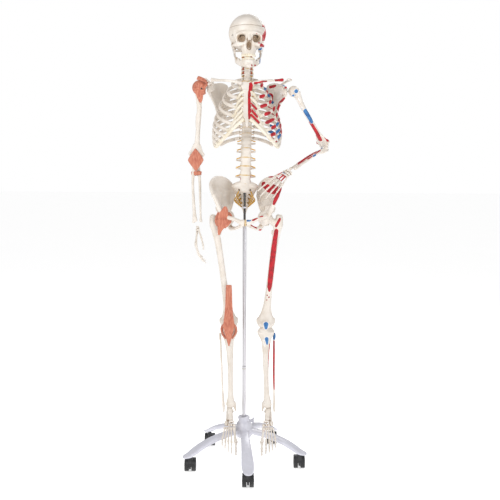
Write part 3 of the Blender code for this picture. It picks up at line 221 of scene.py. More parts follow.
def makeBone(name, ivory=boneLook["ivory"], cream=boneLook["cream"], shadeAmount=0.9):
    made, tree, shader = newMaterial(name, Specular_IOR_Level=0.42, IOR=1.48)
    grain = useGroup(tree, grainGroup, Fine_Scale=1100.0, Cloud_Scale=22.0)
    paint = useGroup(tree, paintGroup)
    paintedShade = useGroup(tree, hollowShadeGroup, Amount=shadeAmount)
    base = mixColour(tree, grain["Cloud"], ivory, cream)
    # painted shade: hollows are mixed towards the darker tan
    base = mixColour(tree, paintedShade["Hollow Shade"], base, boneLook["paintedShade"])
    red = mixColour(tree, paint["Streaks"], boneLook["red"], boneLook["darkRed"])
    blue = mixColour(tree, paint["Streaks"], boneLook["paleBlue"], boneLook["blue"])
    base = mixColour(tree, paint["Red"], base, red)
    base = mixColour(tree, paint["White Rim"], base, boneLook["rim"])
    base = mixColour(tree, paint["Blue"], base, blue)
    tree.links.new(base, shader.inputs["Base Color"])
    low, high = boneLook["roughness"]
    rough = mathNode(tree, "MULTIPLY_ADD", grain["Cloud"], high - low, low)
    tree.links.new(rough, shader.inputs["Roughness"])
    pores = addNode(tree, "ShaderNodeTexVoronoi", {"Vector": tree.nodes.new("ShaderNodeTexCoord").outputs["Object"]},
        Scale=420.0)
    pits = mathNode(tree, "MULTIPLY", ramp(tree, pores.outputs["Distance"], 0.0, 0.35), 0.6)
    height = mathNode(tree, "MULTIPLY_ADD", grain["Height"], 0.5, pits)
    bumpInto(tree, shader, height, 0.22, 0.0004)
    return made


def makePlain(name, light, dark, roughness, fineScale=1400.0, cloudScale=30.0, bump=0.12, depth=0.0003, **constants):
    # a coated or moulded surface: two close tones, cloudy gloss and a fine grain
    made, tree, shader = newMaterial(name, **constants)
    grain = useGroup(tree, grainGroup, Fine_Scale=fineScale, Cloud_Scale=cloudScale)
    tree.links.new(mixColour(tree, grain["Cloud"], light, dark), shader.inputs["Base Color"])
    rough = mathNode(tree, "MULTIPLY_ADD", grain["Cloud"], roughness[1] - roughness[0], roughness[0])
    tree.links.new(rough, shader.inputs["Roughness"])
    bumpInto(tree, shader, grain["Height"], bump, depth)
    return made


def makeBrushed(name, light, dark, roughness, stretch):
    # metal with fine lines: the noise is squeezed across the lines
    made, tree, shader = newMaterial(name, Metallic=1.0, Anisotropic=0.4)
    place = tree.nodes.new("ShaderNodeTexCoord").outputs["Object"]
    turned = addNode(tree, "ShaderNodeMapping", {"Vector": place}, Scale=stretch)
    lines = addNode(tree, "ShaderNodeTexNoise", {"Vector": turned.outputs["Vector"]}, Scale=60.0, Detail=4.0)
    tree.links.new(mixColour(tree, lines.outputs[0], light, dark), shader.inputs["Base Color"])
    rough = mathNode(tree, "MULTIPLY_ADD", lines.outputs[0], roughness[1] - roughness[0], roughness[0])
    tree.links.new(rough, shader.inputs["Roughness"])
    bumpInto(tree, shader, lines.outputs[0], 0.15, 0.0002)
    return made


def makeLigament():
    # poured rubber with fibres drawn along the band
    made, tree, shader = newMaterial("ligamentRubber", Sheen_Weight=0.15, Sheen_Roughness=0.5, Specular_IOR_Level=0.4)
    place = tree.nodes.new("ShaderNodeTexCoord").outputs["Object"]
    turned = addNode(tree, "ShaderNodeMapping", {"Vector": place}, Scale=(260.0, 260.0, 26.0))
    fibres = addNode(tree, "ShaderNodeTexNoise", {"Vector": turned.outputs["Vector"]}, Scale=1.0, Detail=5.0)
    grain = useGroup(tree, grainGroup, Fine_Scale=800.0, Cloud_Scale=40.0)
    light = mixColour(tree, grain["Cloud"], (0.5, 0.155, 0.09), (0.4, 0.105, 0.062))
    tone = mixColour(tree, ramp(tree, fibres.outputs[0], 0.35, 0.7), light, (0.6, 0.235, 0.15))
    tree.links.new(tone, shader.inputs["Base Color"])
    rough = mathNode(tree, "MULTIPLY_ADD", fibres.outputs[0], 0.25, 0.4)
    tree.links.new(rough, shader.inputs["Roughness"])
    bumpInto(tree, shader, fibres.outputs[0], 0.5, 0.0006)
    return made


bone = makeBone("castBone")
cartilage = makeBone("ribCartilage", (0.8, 0.745, 0.645), (0.72, 0.64, 0.5), 0.55)
tooth = makeBone("toothEnamel", (0.84, 0.79, 0.68), (0.78, 0.7, 0.55), 0.8)
ligament = makeLigament()
disc = makePlain("discRubber", (0.7, 0.51, 0.26), (0.56, 0.39, 0.18), (0.32, 0.5), cloudScale=120.0, Coat_Weight=0.15)
nerve = makePlain("nerveYellow", (0.8, 0.46, 0.045), (0.66, 0.33, 0.03), (0.3, 0.45), cloudScale=160.0)
brassNerve = makePlain("sacralNerve", (0.6, 0.34, 0.05), (0.36, 0.18, 0.03), (0.28, 0.48), cloudScale=200.0)
artery = makePlain("arteryRed", (0.62, 0.03, 0.02), (0.45, 0.015, 0.015), (0.3, 0.42), cloudScale=150.0)
enamel = makePlain("standEnamel", (0.66, 0.66, 0.73), (0.6, 0.6, 0.67), (0.26, 0.36), fineScale=420.0, cloudScale=9.0,
    bump=0.1, depth=0.0004, Coat_Weight=0.25, Coat_Roughness=0.2)
steel = makeBrushed("poleSatin", (0.66, 0.65, 0.68), (0.54, 0.53, 0.56), (0.26, 0.38), (14.0, 14.0, 0.5))
zinc = makeBrushed("zincScrew", (0.62, 0.6, 0.55), (0.46, 0.44, 0.4), (0.25, 0.42), (9.0, 9.0, 9.0))
darkSteel = makeBrushed("rodSteel", (0.16, 0.155, 0.15), (0.07, 0.07, 0.07), (0.3, 0.45), (12.0, 12.0, 0.8))
nylon = makePlain("casterNylon", (0.022, 0.022, 0.024), (0.012, 0.012, 0.013), (0.36, 0.52), fineScale=1600.0,
    cloudScale=60.0, bump=0.25)
tread = makePlain("treadRubber", (0.03, 0.03, 0.031), (0.018, 0.018, 0.018), (0.58, 0.74), fineScale=900.0,
    cloudScale=45.0, bump=0.35)
print("materials made")

# clay: a block of distances that shapes are joined to and carved from, then skinned

farAway = 0.02


grainShare = 1.2  # how much coarser than the grain that a piece names


def newClay(low, high, grain):
    grain = grain * grainShare
    low = np.array(low, float) - 5 * grain
    count = np.ceil((np.array(high, float) + 5 * grain - low) / grain).astype(int) + 1
    return {"low": low, "grain": grain, "solid": np.full(count, farAway, np.float32)}


def spanOf(clay, low, high):
    size = clay["solid"].shape
    first = np.floor((np.array(low) - clay["low"]) / clay["grain"]).astype(int)
    last = np.ceil((np.array(high) - clay["low"]) / clay["grain"]).astype(int) + 1
    return [slice(max(0, int(a)), min(n, max(0, int(b)))) for a, b, n in zip(first, last, size)]


def blockOf(clay, shapes, room):
    low = np.min([shape["low"] for shape in shapes], axis=0) - room
    high = np.max([shape["high"] for shape in shapes], axis=0) + room
    whole = spanOf(clay, low, high)
    block = np.full([s.stop - s.start for s in whole], farAway, np.float32)
    if 0 in block.shape:
        return whole, block
    for shape in shapes:
        spans = spanOf(clay, shape["low"] - room, shape["high"] + room)
        if any(s.stop <= s.start for s in spans):
            continue
        axes = [(clay["low"][i] + clay["grain"] * np.arange(spans[i].start, spans[i].stop)).astype(np.float32)
            for i in range(3)]
        values = shape["depth"](axes[0][:, None, None], axes[1][None, :, None], axes[2][None, None, :])
        inside = tuple(slice(s.start - w.start, s.stop - w.start) for s, w in zip(spans, whole))
        block[inside] = np.minimum(block[inside], values)
    return whole, block


def join(clay, shapes, blend=0.003):
    shapes = shapes if isinstance(shapes, list) else [shapes]
    whole, block = blockOf(clay, shapes, blend + 2 * clay["grain"])
    if block.size:
        old = clay["solid"][tuple(whole)]
        share = np.clip(0.5 + 0.5 * (block - old) / blend, 0, 1)
        clay["solid"][tuple(whole)] = block + (old - block) * share - blend * share * (1 - share)
    return clay


def carve(clay, shapes, blend=0.001):
    shapes = shapes if isinstance(shapes, list) else [shapes]
    whole, block = blockOf(clay, shapes, blend + 3 * clay["grain"])
    if block.size:
        old = clay["solid"][tuple(whole)]
        share = np.clip(0.5 - 0.5 * (-block - old) / blend, 0, 1)
        clay["solid"][tuple(whole)] = -block + (old + block) * share + blend * share * (1 - share)
    return clay


def ball(centre, radii):
    centre = np.array(centre, float)
    radii = np.array(radii if hasattr(radii, "__len__") else (radii,) * 3, float)

    def depth(x, y, z):
        near, nearer = 0.0, 0.0
        for place, middle, radius in zip((x, y, z), centre, radii):
            near = near + ((place - middle) / radius) ** 2
            nearer = nearer + ((place - middle) / radius ** 2) ** 2
        near = np.sqrt(near)
        return near * (near - 1) / np.maximum(np.sqrt(nearer), 1e-6)

    return {"low": centre - radii, "high": centre + radii, "depth": depth}


def link(a, b, across, sizeA, sizeB=None, power=2, flat=False):
    # one length of an oval bar between two stations, with round or flat ends
    sizeB = sizeB or sizeA
    a, b = np.array(a, float), np.array(b, float)
    along = b - a
    length = max(float(np.linalg.norm(along)), 1e-6)
    way = along / length
    wide = np.array(across, float) - way * float(np.dot(across, way))
    wide = wide / max(float(np.linalg.norm(wide)), 1e-6)
    deep = np.cross(way, wide)

    def depth(x, y, z):
        px, py, pz = x - a[0], y - a[1], z - a[2]
        t = (px * way[0] + py * way[1] + pz * way[2]) / length
        beyond = (np.abs(t - 0.5) - 0.5) * length
        t = np.clip(t, 0, 1)
        w = sizeA[0] + (sizeB[0] - sizeA[0]) * t
        d = sizeA[1] + (sizeB[1] - sizeA[1]) * t
        px, py, pz = px - along[0] * t, py - along[1] * t, pz - along[2] * t
        thin = np.minimum(w, d)
        u = (px * wide[0] + py * wide[1] + pz * wide[2]) / w
        v = (px * deep[0] + py * deep[1] + pz * deep[2]) / d
        s = (px * way[0] + py * way[1] + pz * way[2]) / thin
        if flat:
            return np.maximum((np.sqrt(u * u + v * v) - 1) * thin, beyond)
        if power != 2:
            side = (np.abs(u) ** power + np.abs(v) ** power) ** (2 / power)
            return (np.sqrt(side + s * s) - 1) * thin
        return (np.sqrt(u * u + v * v + s * s) - 1) * thin

    reach = max(*sizeA, *sizeB)
    return {"low": np.minimum(a, b) - reach, "high": np.maximum(a, b) + reach, "depth": depth}


def smoothStations(stations, steps):
    # a curve through the stations: their centres and both half sizes
    rows = np.array([(*point, wide, deep) for point, wide, deep in stations], float)
    if len(rows) < 3:
        return rows
    padded = np.vstack([2 * rows[0] - rows[1], rows, 2 * rows[-1] - rows[-2]])
    made = []
    for i in range(len(rows) - 1):
        before, start, end, after = padded[i:i + 4]
        for k in range(steps):
            t = k / steps
            made.append(0.5 * (2 * start + (end - before) * t + (2 * before - 5 * start + 4 * end - after) * t ** 2
                + (3 * start - before - 3 * end + after) * t ** 3))
    made.append(rows[-1])
    made = np.array(made)
    made[:, 3:] = np.maximum(made[:, 3:], rows[:, 3:].min() * 0.8)
    return made


def smoothPath(points, steps):
    # a curve through (point, radius share) pairs, for a sweep
    rows = smoothStations([(point, share, share) for point, share in points], steps)
    return [(tuple(row[:3]), row[3]) for row in rows]


def around(centre):
    # gives points by their distance from one centre
    return lambda x, y, z: tuple(centre + Vector((x, y, z)))


def tube(stations, across=(1, 0, 0), steps=3, power=2):
    rows = smoothStations(stations, steps)
    return [link(a[:3], b[:3], across, tuple(a[3:]), tuple(b[3:]), power) for a, b in zip(rows, rows[1:])]


# most bones are bars and lumps joined on, and dents carved out
def bar(clay, stations, blend, across=(1, 0, 0), steps=3, power=2):
    join(clay, tube(stations, across, steps, power), blend)


def lump(clay, centre, radii, blend):
    join(clay, ball(centre, radii), blend)


def dent(clay, centre, radii, blend):
    carve(clay, ball(centre, radii), blend)


def rod(a, b, first, last=None):
    last = first if last is None else last
    way = np.array(b, float) - np.array(a, float)
    across = (0, 0, 1) if abs(way[2]) < 0.7 * np.linalg.norm(way) else (1, 0, 0)
    return link(a, b, across, (first, first), (last, last))


def sheetTriangle(corners, thick):
    a, b, c = (np.array(p, float) for p in corners)
    normal = np.cross(b - a, c - a)
    area = max(float(np.linalg.norm(normal)), 1e-12)
    normal = normal / area
    edges = ((a, b, thick[0], thick[1]), (b, c, thick[1], thick[2]), (c, a, thick[2], thick[0]))

    def depth(x, y, z):
        best, inside = None, True
        weights = []
        for start, end, first, last in edges:
            way = end - start
            px, py, pz = x - start[0], y - start[1], z - start[2]
            t = np.clip((px * way[0] + py * way[1] + pz * way[2]) / max(float(way @ way), 1e-12), 0, 1)
            qx, qy, qz = px - way[0] * t, py - way[1] * t, pz - way[2] * t
            far = np.sqrt(qx * qx + qy * qy + qz * qz) - (first + (last - first) * t)
            best = far if best is None else np.minimum(best, far)
            out = np.cross(way, normal)
            side = -(px * out[0] + py * out[1] + pz * out[2])
            inside = inside & (side >= 0)
            weights.append(side)
        total = np.maximum(weights[0] + weights[1] + weights[2], 1e-12)
        mean = (weights[1] * thick[0] + weights[2] * thick[1] + weights[0] * thick[2]) / total
        plane = np.abs((x - a[0]) * normal[0] + (y - a[1]) * normal[1] + (z - a[2]) * normal[2]) - mean
        return np.where(inside, plane, best)

    reach = max(thick)
    points = np.array([a, b, c])
    return {"low": points.min(0) - reach, "high": points.max(0) + reach, "depth": depth}


def fanSheet(rim, middle, rimThick, middleThick, rings=3, perEdge=3, crown=(0, 0, 0)):
    # a dished plate: a closed smooth rim, drawn in rings towards its middle point
    rim = np.array([tuple(p) for p in rim], float)
    count = len(rim)
    outline = []
    for i in range(count):
        before, start, end, after = (rim[(i + k) % count] for k in (-1, 0, 1, 2))
        for k in range(perEdge):
            t = k / perEdge
            outline.append(0.5 * (2 * start + (end - before) * t + (2 * before - 5 * start + 4 * end - after) * t ** 2
                + (3 * start - before - 3 * end + after) * t ** 3))
    outline, middle, crown = np.array(outline), np.array(tuple(middle), float), np.array(crown, float)
    layers = []
    for ring in range(rings + 1):
        share = ring / rings
        layers.append(outline + (middle - outline) * share + crown * math.sin(math.pi * share))
    made = []
    for ring in range(rings):
        outer = rimThick + (middleThick - rimThick) * min(1, 1.6 * ring / rings)
        inner = rimThick + (middleThick - rimThick) * min(1, 1.6 * (ring + 1) / rings)
        for i in range(len(outline)):
            j = (i + 1) % len(outline)
            a, b = layers[ring][i], layers[ring][j]
            c, d = layers[ring + 1][j], layers[ring + 1][i]
            made.append(sheetTriangle((a, b, c), (outer, outer, inner)))
            if ring < rings - 1:
                made.append(sheetTriangle((a, c, d), (outer, inner, inner)))
    return made


def sampled(clay, points):
    # the distance at any points, read between the grid's own
    at = (points - clay["low"]) / clay["grain"]
    size = np.array(clay["solid"].shape) - 2
    base = np.clip(np.floor(at).astype(int), 0, size)
    part = np.clip(at - base, 0, 1)
    total = np.zeros(len(points))
    for corner in range(8):
        step = np.array([(corner >> k) & 1 for k in range(3)])
        weight = np.prod(np.where(step == 1, part, 1 - part), axis=1)
        total += weight * clay["solid"][tuple((base + step).T)]
    return total


def coatDepth(points, strokes):
    # millimetres that each point lies inside the painted strokes: (points, radius or radii) along a path
    value = np.full(len(points), -9.0)
    for path, wide in strokes:
        radii = wide if hasattr(wide, "__len__") else [wide] * len(path)
        path = [np.array(p, float) for p in path]
        if len(path) == 1:
            value = np.maximum(value, 1000 * (radii[0] - np.linalg.norm(points - path[0], axis=1)))
        for a, b, first, last in zip(path, path[1:], radii, radii[1:]):
            way = b - a
            t = np.clip((points - a) @ way / max(float(way @ way), 1e-12), 0, 1)
            far = np.linalg.norm(points - a - t[:, None] * way, axis=1)
            value = np.maximum(value, 1000 * (first + (last - first) * t - far))
    return value


def newObject(name, data):
    obj = bpy.data.objects.new(name, data)
    bpy.context.scene.collection.objects.link(obj)
    return obj


def plainMesh(name, points, quads, triangles=()):
    mesh = bpy.data.meshes.new(name)
    quads, triangles = np.array(quads, np.int32).reshape(-1, 4), np.array(triangles, np.int32).reshape(-1, 3)
    mesh.vertices.add(len(points))
    mesh.vertices.foreach_set("co", np.asarray(points, np.float32).ravel())
    corners = np.concatenate([quads.ravel(), triangles.ravel()])
    mesh.loops.add(len(corners))
    mesh.loops.foreach_set("vertex_index", corners)
    mesh.polygons.add(len(quads) + len(triangles))
    starts = np.concatenate([4 * np.arange(len(quads)), 4 * len(quads) + 3 * np.arange(len(triangles))])
    mesh.polygons.foreach_set("loop_start", starts.astype(np.int32))
    mesh.update(calc_edges=True)
    mesh.validate()
    return mesh


def pointsOf(obj):
    points = np.empty(len(obj.data.vertices) * 3, np.float32)
    obj.data.vertices.foreach_get("co", points)
    return points.reshape(-1, 3)


def setAttribute(mesh, name, values):
    made = mesh.attributes.new(name, "FLOAT", "POINT")
    made.data.foreach_set("value", np.asarray(values, np.float32))


def skinClay(clay, name, place=None, red=(), blue=(), look=None, facing=None):
    # one closed mesh over the clay, with its paint and how deep each point sits in a hollow
    grid = openvdb.FloatGrid(farAway)
    grid.copyFromArray(clay["solid"])
    points, triangles, quads = grid.convertToPolygons(isovalue=0.0, adaptivity=0.0)
    points = points * clay["grain"] + clay["low"]
    step = clay["grain"]
    normals = np.stack([sampled(clay, points + step * axis) - sampled(clay, points - step * axis)
        for axis in np.eye(3)], axis=1)
    normals /= np.maximum(np.linalg.norm(normals, axis=1, keepdims=True), 1e-9)
    # how far the shape closes over each point; it sets the painted shade in hollows
    hollow = np.zeros(len(points))
    for reach in (0.003, 0.007):
        hollow += 0.5 * np.clip((reach - sampled(clay, points + normals * reach)) / reach, 0, 1)
    if len(quads):
        a, b, c = (points[quads[:, k]] for k in range(3))
        out = np.einsum("ij,ij->i", np.cross(b - a, c - a), normals[quads[:, 0]])
        if out.sum() < 0:
            quads, triangles = quads[:, ::-1], triangles[:, ::-1]
    redDepth, blueDepth = coatDepth(points, red), coatDepth(points, blue)
    if facing is not None:
        away = 14 * np.clip(0.15 - normals @ np.array(facing, float), 0, 1)
        redDepth, blueDepth = redDepth - away, blueDepth - away
    matrix = np.array(place or placeBody)
    mesh = plainMesh(name, points @ matrix[:3, :3].T + matrix[:3, 3], quads, triangles)
    setAttribute(mesh, "red", redDepth)
    setAttribute(mesh, "blue", blueDepth)
    setAttribute(mesh, "shadeAndSeams", hollow)
    mesh.shade_smooth()
    mesh.materials.append(look or bone)
    return newObject(name, mesh)


def settle(obj, body, slot, *nodes):
    # the piece rides on its body and stands for its plain nodes, which are hidden
    if nodes:
        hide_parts(*nodes)
    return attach(obj, body)


def finishBone(clay, side, name, body, place=None, red=(), blue=(), node=None):
    # one of a pair; the muscles are painted on the left one only
    paint = {"red": red, "blue": blue} if side == "left" else {}
    piece = skinClay(clay, name + side.title(), place, **paint)
    settle(piece, body, "bone_plastic", f"{node or name}_{side}")


def limbFrame(start, end, across=Vector((1, 0, 0))):
    # at start: Z runs to the end, X as near across as it can be, Y to the front
    down = (end - start).normalized()
    front = down.cross(across).normalized()
    side = front.cross(down)
    return Matrix.Translation(start) @ Matrix((side, front, down)).transposed().to_4x4()


def headPoint(x, y, z):
    return (middleX + x, y, z)


def newTree(name, inputs):
    tree = bpy.data.node_groups.new(name, "GeometryNodeTree")
    for label, kind, value in inputs:
        socket = tree.interface.new_socket(label, in_out="INPUT", socket_type="NodeSocket" + kind)
        if value is not None:
            socket.default_value = value
    tree.interface.new_socket("Geometry", in_out="OUTPUT", socket_type="NodeSocketGeometry")
    return tree, tree.nodes.new("NodeGroupInput"), tree.nodes.new("NodeGroupOutput")


def closeTree(tree, given, out, geometry):
    real = addNode(tree, "GeometryNodeRealizeInstances", {"Geometry": geometry})
    painted = addNode(tree, "GeometryNodeSetMaterial",
        {"Geometry": real.outputs["Geometry"], "Material": given.outputs["Material"]})
    tree.links.new(painted.outputs["Geometry"], out.inputs["Geometry"])


def runTree(tree, name, base, values):
    # the tree's result as a plain mesh object with no modifier left
    host = newObject(name + "Host", base)
    modifier = host.modifiers.new("made", "NODES")
    modifier.node_group = tree
    for item in tree.interface.items_tree:
        if item.item_type == "SOCKET" and item.in_out == "INPUT" and item.name in values:
            modifier[item.identifier] = values[item.name]
    bpy.context.view_layer.update()
    graph = bpy.context.evaluated_depsgraph_get()
    mesh = bpy.data.meshes.new_from_object(host.evaluated_get(graph), preserve_all_data_layers=True, depsgraph=graph)
    bpy.data.objects.remove(host)
    mesh.name = name
    return newObject(name, mesh)


def named(tree, name, kind):
    return addNode(tree, "GeometryNodeInputNamedAttribute", None, {"data_type": kind}, Name=name).outputs[0]


def makeScatterTree():
    # one copy of a template at every point, with the point's own turn and size
    tree, given, out = newTree("copiesOnPoints",
        (("Geometry", "Geometry", None), ("Template", "Object", None), ("Size", "Float", 1.0),
        ("Material", "Material", None)))
    template = addNode(tree, "GeometryNodeObjectInfo", {"Object": given.outputs["Template"]})
    sizes = addNode(tree, "ShaderNodeVectorMath", {0: named(tree, "size", "FLOAT_VECTOR")}, {"operation": "SCALE"})
    tree.links.new(given.outputs["Size"], sizes.inputs["Scale"])
    placed = addNode(tree, "GeometryNodeInstanceOnPoints",
        {"Points": given.outputs["Geometry"], "Instance": template.outputs["Geometry"], "Scale": sizes.outputs[0]})
    turn = addNode(tree, "FunctionNodeEulerToRotation", {"Euler": named(tree, "turn", "FLOAT_VECTOR")})
    tree.links.new(turn.outputs[0], placed.inputs["Rotation"])
    closeTree(tree, given, out, placed.outputs["Instances"])
    return tree


def makeSweepTree():
    # an oval section drawn along each curve; the curve's radius scales it
    tree, given, out = newTree("ovalSweep", (("Geometry", "Geometry", None), ("Half Height", "Float", 0.006),
        ("Half Thickness", "Float", 0.003), ("Facets", "Int", 12), ("Material", "Material", None)))
    section = addNode(tree, "GeometryNodeCurvePrimitiveCircle", {"Resolution": given.outputs["Facets"]}, Radius=1.0)
    sizes = addNode(tree, "ShaderNodeCombineXYZ",
        {"X": given.outputs["Half Thickness"], "Y": given.outputs["Half Height"]}, Z=1.0)
    oval = addNode(tree, "GeometryNodeTransform", {"Geometry": section.outputs["Curve"], "Scale": sizes.outputs[0]})
    upright = addNode(tree, "GeometryNodeSetCurveNormal", {"Curve": given.outputs["Geometry"]}, {"mode": "Z_UP"})
    swept = addNode(tree, "GeometryNodeCurveToMesh",
        {"Curve": upright.outputs["Curve"], "Profile Curve": oval.outputs["Geometry"]}, Fill_Caps=True)
    smooth = addNode(tree, "GeometryNodeSetShadeSmooth", {"Geometry": swept.outputs["Mesh"]})
    closeTree(tree, given, out, smooth.outputs["Geometry"])
    return tree


def makeTurnedTree():
    # a turned piece: an outline of points spun round Z
    tree, given, out = newTree("turnedPiece",
        (("Geometry", "Geometry", None), ("Facets", "Int", 48), ("Material", "Material", None)))
    circle = addNode(tree, "GeometryNodeCurvePrimitiveCircle", {"Resolution": given.outputs["Facets"]}, Radius=1.0)
    spun = addNode(tree, "GeometryNodeCurveToMesh",
        {"Curve": circle.outputs["Curve"], "Profile Curve": given.outputs["Geometry"]})
    merged = addNode(tree, "GeometryNodeMergeByDistance", {"Geometry": spun.outputs["Mesh"]}, Distance=0.00002)
    closeTree(tree, given, out, merged.outputs["Geometry"])
    return tree


scatterTree, sweepTree, turnedTree = makeScatterTree(), makeSweepTree(), makeTurnedTree()


def pointCloud(name, rows):
    # rows of (place, turn, size) as a mesh of loose points
    mesh = bpy.data.meshes.new(name)
    mesh.from_pydata([tuple(place) for place, _, _ in rows], [], [])
    for label, column in (("turn", 1), ("size", 2)):
        made = mesh.attributes.new(label, "FLOAT_VECTOR", "POINT")
        values = [row[column] if hasattr(row[column], "__len__") else (row[column],) * 3 for row in rows]
        made.data.foreach_set("vector", np.array(values, np.float32).ravel())
    return mesh


def scatter(name, template, rows, look):
    return runTree(scatterTree, name, pointCloud(name + "Points", rows),
        {"Template": template, "Size": 1.0, "Material": look})


def sweep(name, paths, halfHeight, halfThickness, look, facets, place=placeBody):
    # paths: lists of (point, radius share)
    curve = bpy.data.curves.new(name + "Paths", "CURVE")
    curve.dimensions = "3D"
    for path in paths:
        spline = curve.splines.new("POLY")
        spline.points.add(len(path) - 1)
        for target, (point, share) in zip(spline.points, path):
            target.co = (*point, 1)
            target.radius = share
    obj = runTree(sweepTree, name, curve,
        {"Half Height": halfHeight, "Half Thickness": halfThickness, "Facets": facets, "Material": look})
    obj.data.transform(place)
    return obj


def tidyNormals(obj, angle=None):
    builder = bmesh.new()
    builder.from_mesh(obj.data)
    bmesh.ops.remove_doubles(builder, verts=builder.verts, dist=1e-6)
    bmesh.ops.recalc_face_normals(builder, faces=builder.faces)
    builder.to_mesh(obj.data)
    builder.free()
    obj.data.shade_smooth()
    if angle:
        obj.data.set_sharp_from_angle(angle=math.radians(angle))
    return obj


def turned(name, outline, place, look, facets=48, sharp=35):
    # outline: (radius, height) from bottom to top, closed on the axis
    mesh = bpy.data.curves.new(name + "Outline", "CURVE")
    mesh.dimensions = "3D"
    spline = mesh.splines.new("POLY")
    spline.points.add(len(outline) - 1)
    for target, (radius, height) in zip(spline.points, outline):
        target.co = (radius - 1.0, -height, 0, 1)
    obj = runTree(turnedTree, name, mesh, {"Facets": facets, "Material": look})
    obj.data.transform(place)
    return tidyNormals(obj, sharp)


def discard(*objs):
    for obj in objs:
        bpy.data.objects.remove(obj)


print("tools ready")

standSizes = {"legs": 5, "firstAngle": -85.5, "tipReach": 0.281, "legWidth": 0.05, "hubRadius": 0.037,
    "hubBottom": 0.13, "hubTop": 0.178, "collarRadius": 0.026, "collarTop": 0.216, "poleRadius": 0.008,
    "casterReach": 0.248, "grain": 0.0021}


def legWay(index):
    angle = math.radians(standSizes["firstAngle"]) + 2 * math.pi * index / standSizes["legs"]
    return Vector((math.cos(angle), math.sin(angle), 0))


def makeStarBase():
    s = standSizes
    tip, hub = s["tipReach"], s["hubRadius"]
    clay = newClay((-0.29, -0.29, 0.06), (0.29, 0.29, 0.185), s["grain"])
    arch = ((0.0, 0.15, 0.4, 0.0105), (hub, 0.15, 0.38, 0.012), (hub + 0.02, 0.1475, 0.37, 0.012),
        (tip * 0.42, 0.136, 0.4, 0.012), (tip * 0.64, 0.115, 0.46, 0.011), (tip * 0.8, 0.0915, 0.52, 0.0095),
        (0.248, 0.0775, 0.49, 0.0075), (tip * 0.96, 0.0715, 0.36, 0.005), (tip - 0.004, 0.0695, 0.22, 0.0035))
    legs = []
    for index in range(s["legs"]):
        way = legWay(index)
        side = Vector((0, 0, 1)).cross(way)
        stations = [(tuple(way * reach + Vector((0, 0, height))), share * s["legWidth"], deep) for reach, height,
            share, deep in arch]
        legs += tube(stations, side, 4, power=3.2)
    join(clay, legs, 0.006)
    join(clay, link((0, 0, 0.14), (0, 0, 0.168), (1, 0, 0), (hub - 0.001, hub - 0.001), (hub - 0.002, hub - 0.002)),
        0.01)
    carve(clay, link((0, 0, 0.1), (0, 0, 0.132), (1, 0, 0), (hub - 0.006,) * 2), 0.002)
    for index in range(s["legs"]):
        foot = legWay(index) * s["casterReach"]
        # the underside is scooped out between two side walls
        way = legWay(index)
        scoop = [((*(way * r).xy, z), 0.62 * w * s["legWidth"], 0.006) for r, z,
            w in ((hub + 0.03, 0.1335, 0.38), (tip * 0.45, 0.1225, 0.4), (tip * 0.66, 0.101, 0.46),
            (tip * 0.79, 0.0815, 0.5))]
        carve(clay, tube(scoop, Vector((0, 0, 1)).cross(way), 3), 0.003)
        carve(clay, link((foot.x, foot.y, 0.055), (foot.x, foot.y, 0.0745), (1, 0, 0), (0.0075,) * 2), 0.001)
    legsPiece = skinClay(clay, "starLegs", look=enamel)
    r, c = hub, s["collarRadius"]
    outline = [(0, 0.1315), (r * 0.8, 0.1315), (r - 0.004, 0.1325), (r - 0.0012, 0.1345), (r - 0.0004, 0.138),
        (r, 0.15), (r - 0.0004, 0.166), (r - 0.0015, 0.171), (r - 0.004, 0.1748), (r - 0.008, 0.1768),
        (c + 0.004, 0.1776), (c + 0.001, 0.1785), (c - 0.0015, 0.181), (c - 0.002, 0.186), (c - 0.002, 0.203),
        (c - 0.0012, 0.2045), (c, 0.206), (c, 0.2105), (c - 0.001, 0.213), (c - 0.003, 0.215), (c - 0.006, 0.2158),
        (0.0105, 0.216), (0.0092, 0.2152), (0.0086, 0.212), (0, 0.212)]
    hubPiece = turned("standHub", outline, placeBody, enamel, 72, 50)
    for obj in (legsPiece, hubPiece):
        settle(obj, "stand", "white_enamel", "star_base")


def makeKnob():
    way = Vector(joints["knob_turn"]["axis"])
    centre = Vector((0, 0, 0.19))
    c = standSizes["collarRadius"]
    clay = newClay((-0.01, -0.02, 0.165), (0.055, 0.035, 0.215), 0.0008)
    place = [tuple(centre + way * reach) for reach in (0.01, c + 0.001, c + 0.0025, c + 0.013, c + 0.0175)]
    join(clay, rod(place[0], place[1], 0.003), 0.0005)
    join(clay, [rod(place[2], place[3], 0.0062), rod(place[3], place[4], 0.006, 0.0035)], 0.001)
    start = centre + way * (c + 0.009)
    for lift in (0.012, -0.012):
        wing = [(tuple(start), 0.005, 0.0024), (tuple(start + way * 0.008 + Vector((0, 0, lift * 0.6))), 0.0048,
            0.0022), (tuple(start + way * 0.011 + Vector((0, 0, lift))), 0.0042, 0.0019)]
        bar(clay, wing, 0.0025, way)
    settle(skinClay(clay, "clampWingScrew", look=enamel), "knob", "white_enamel", "clamp_knob")


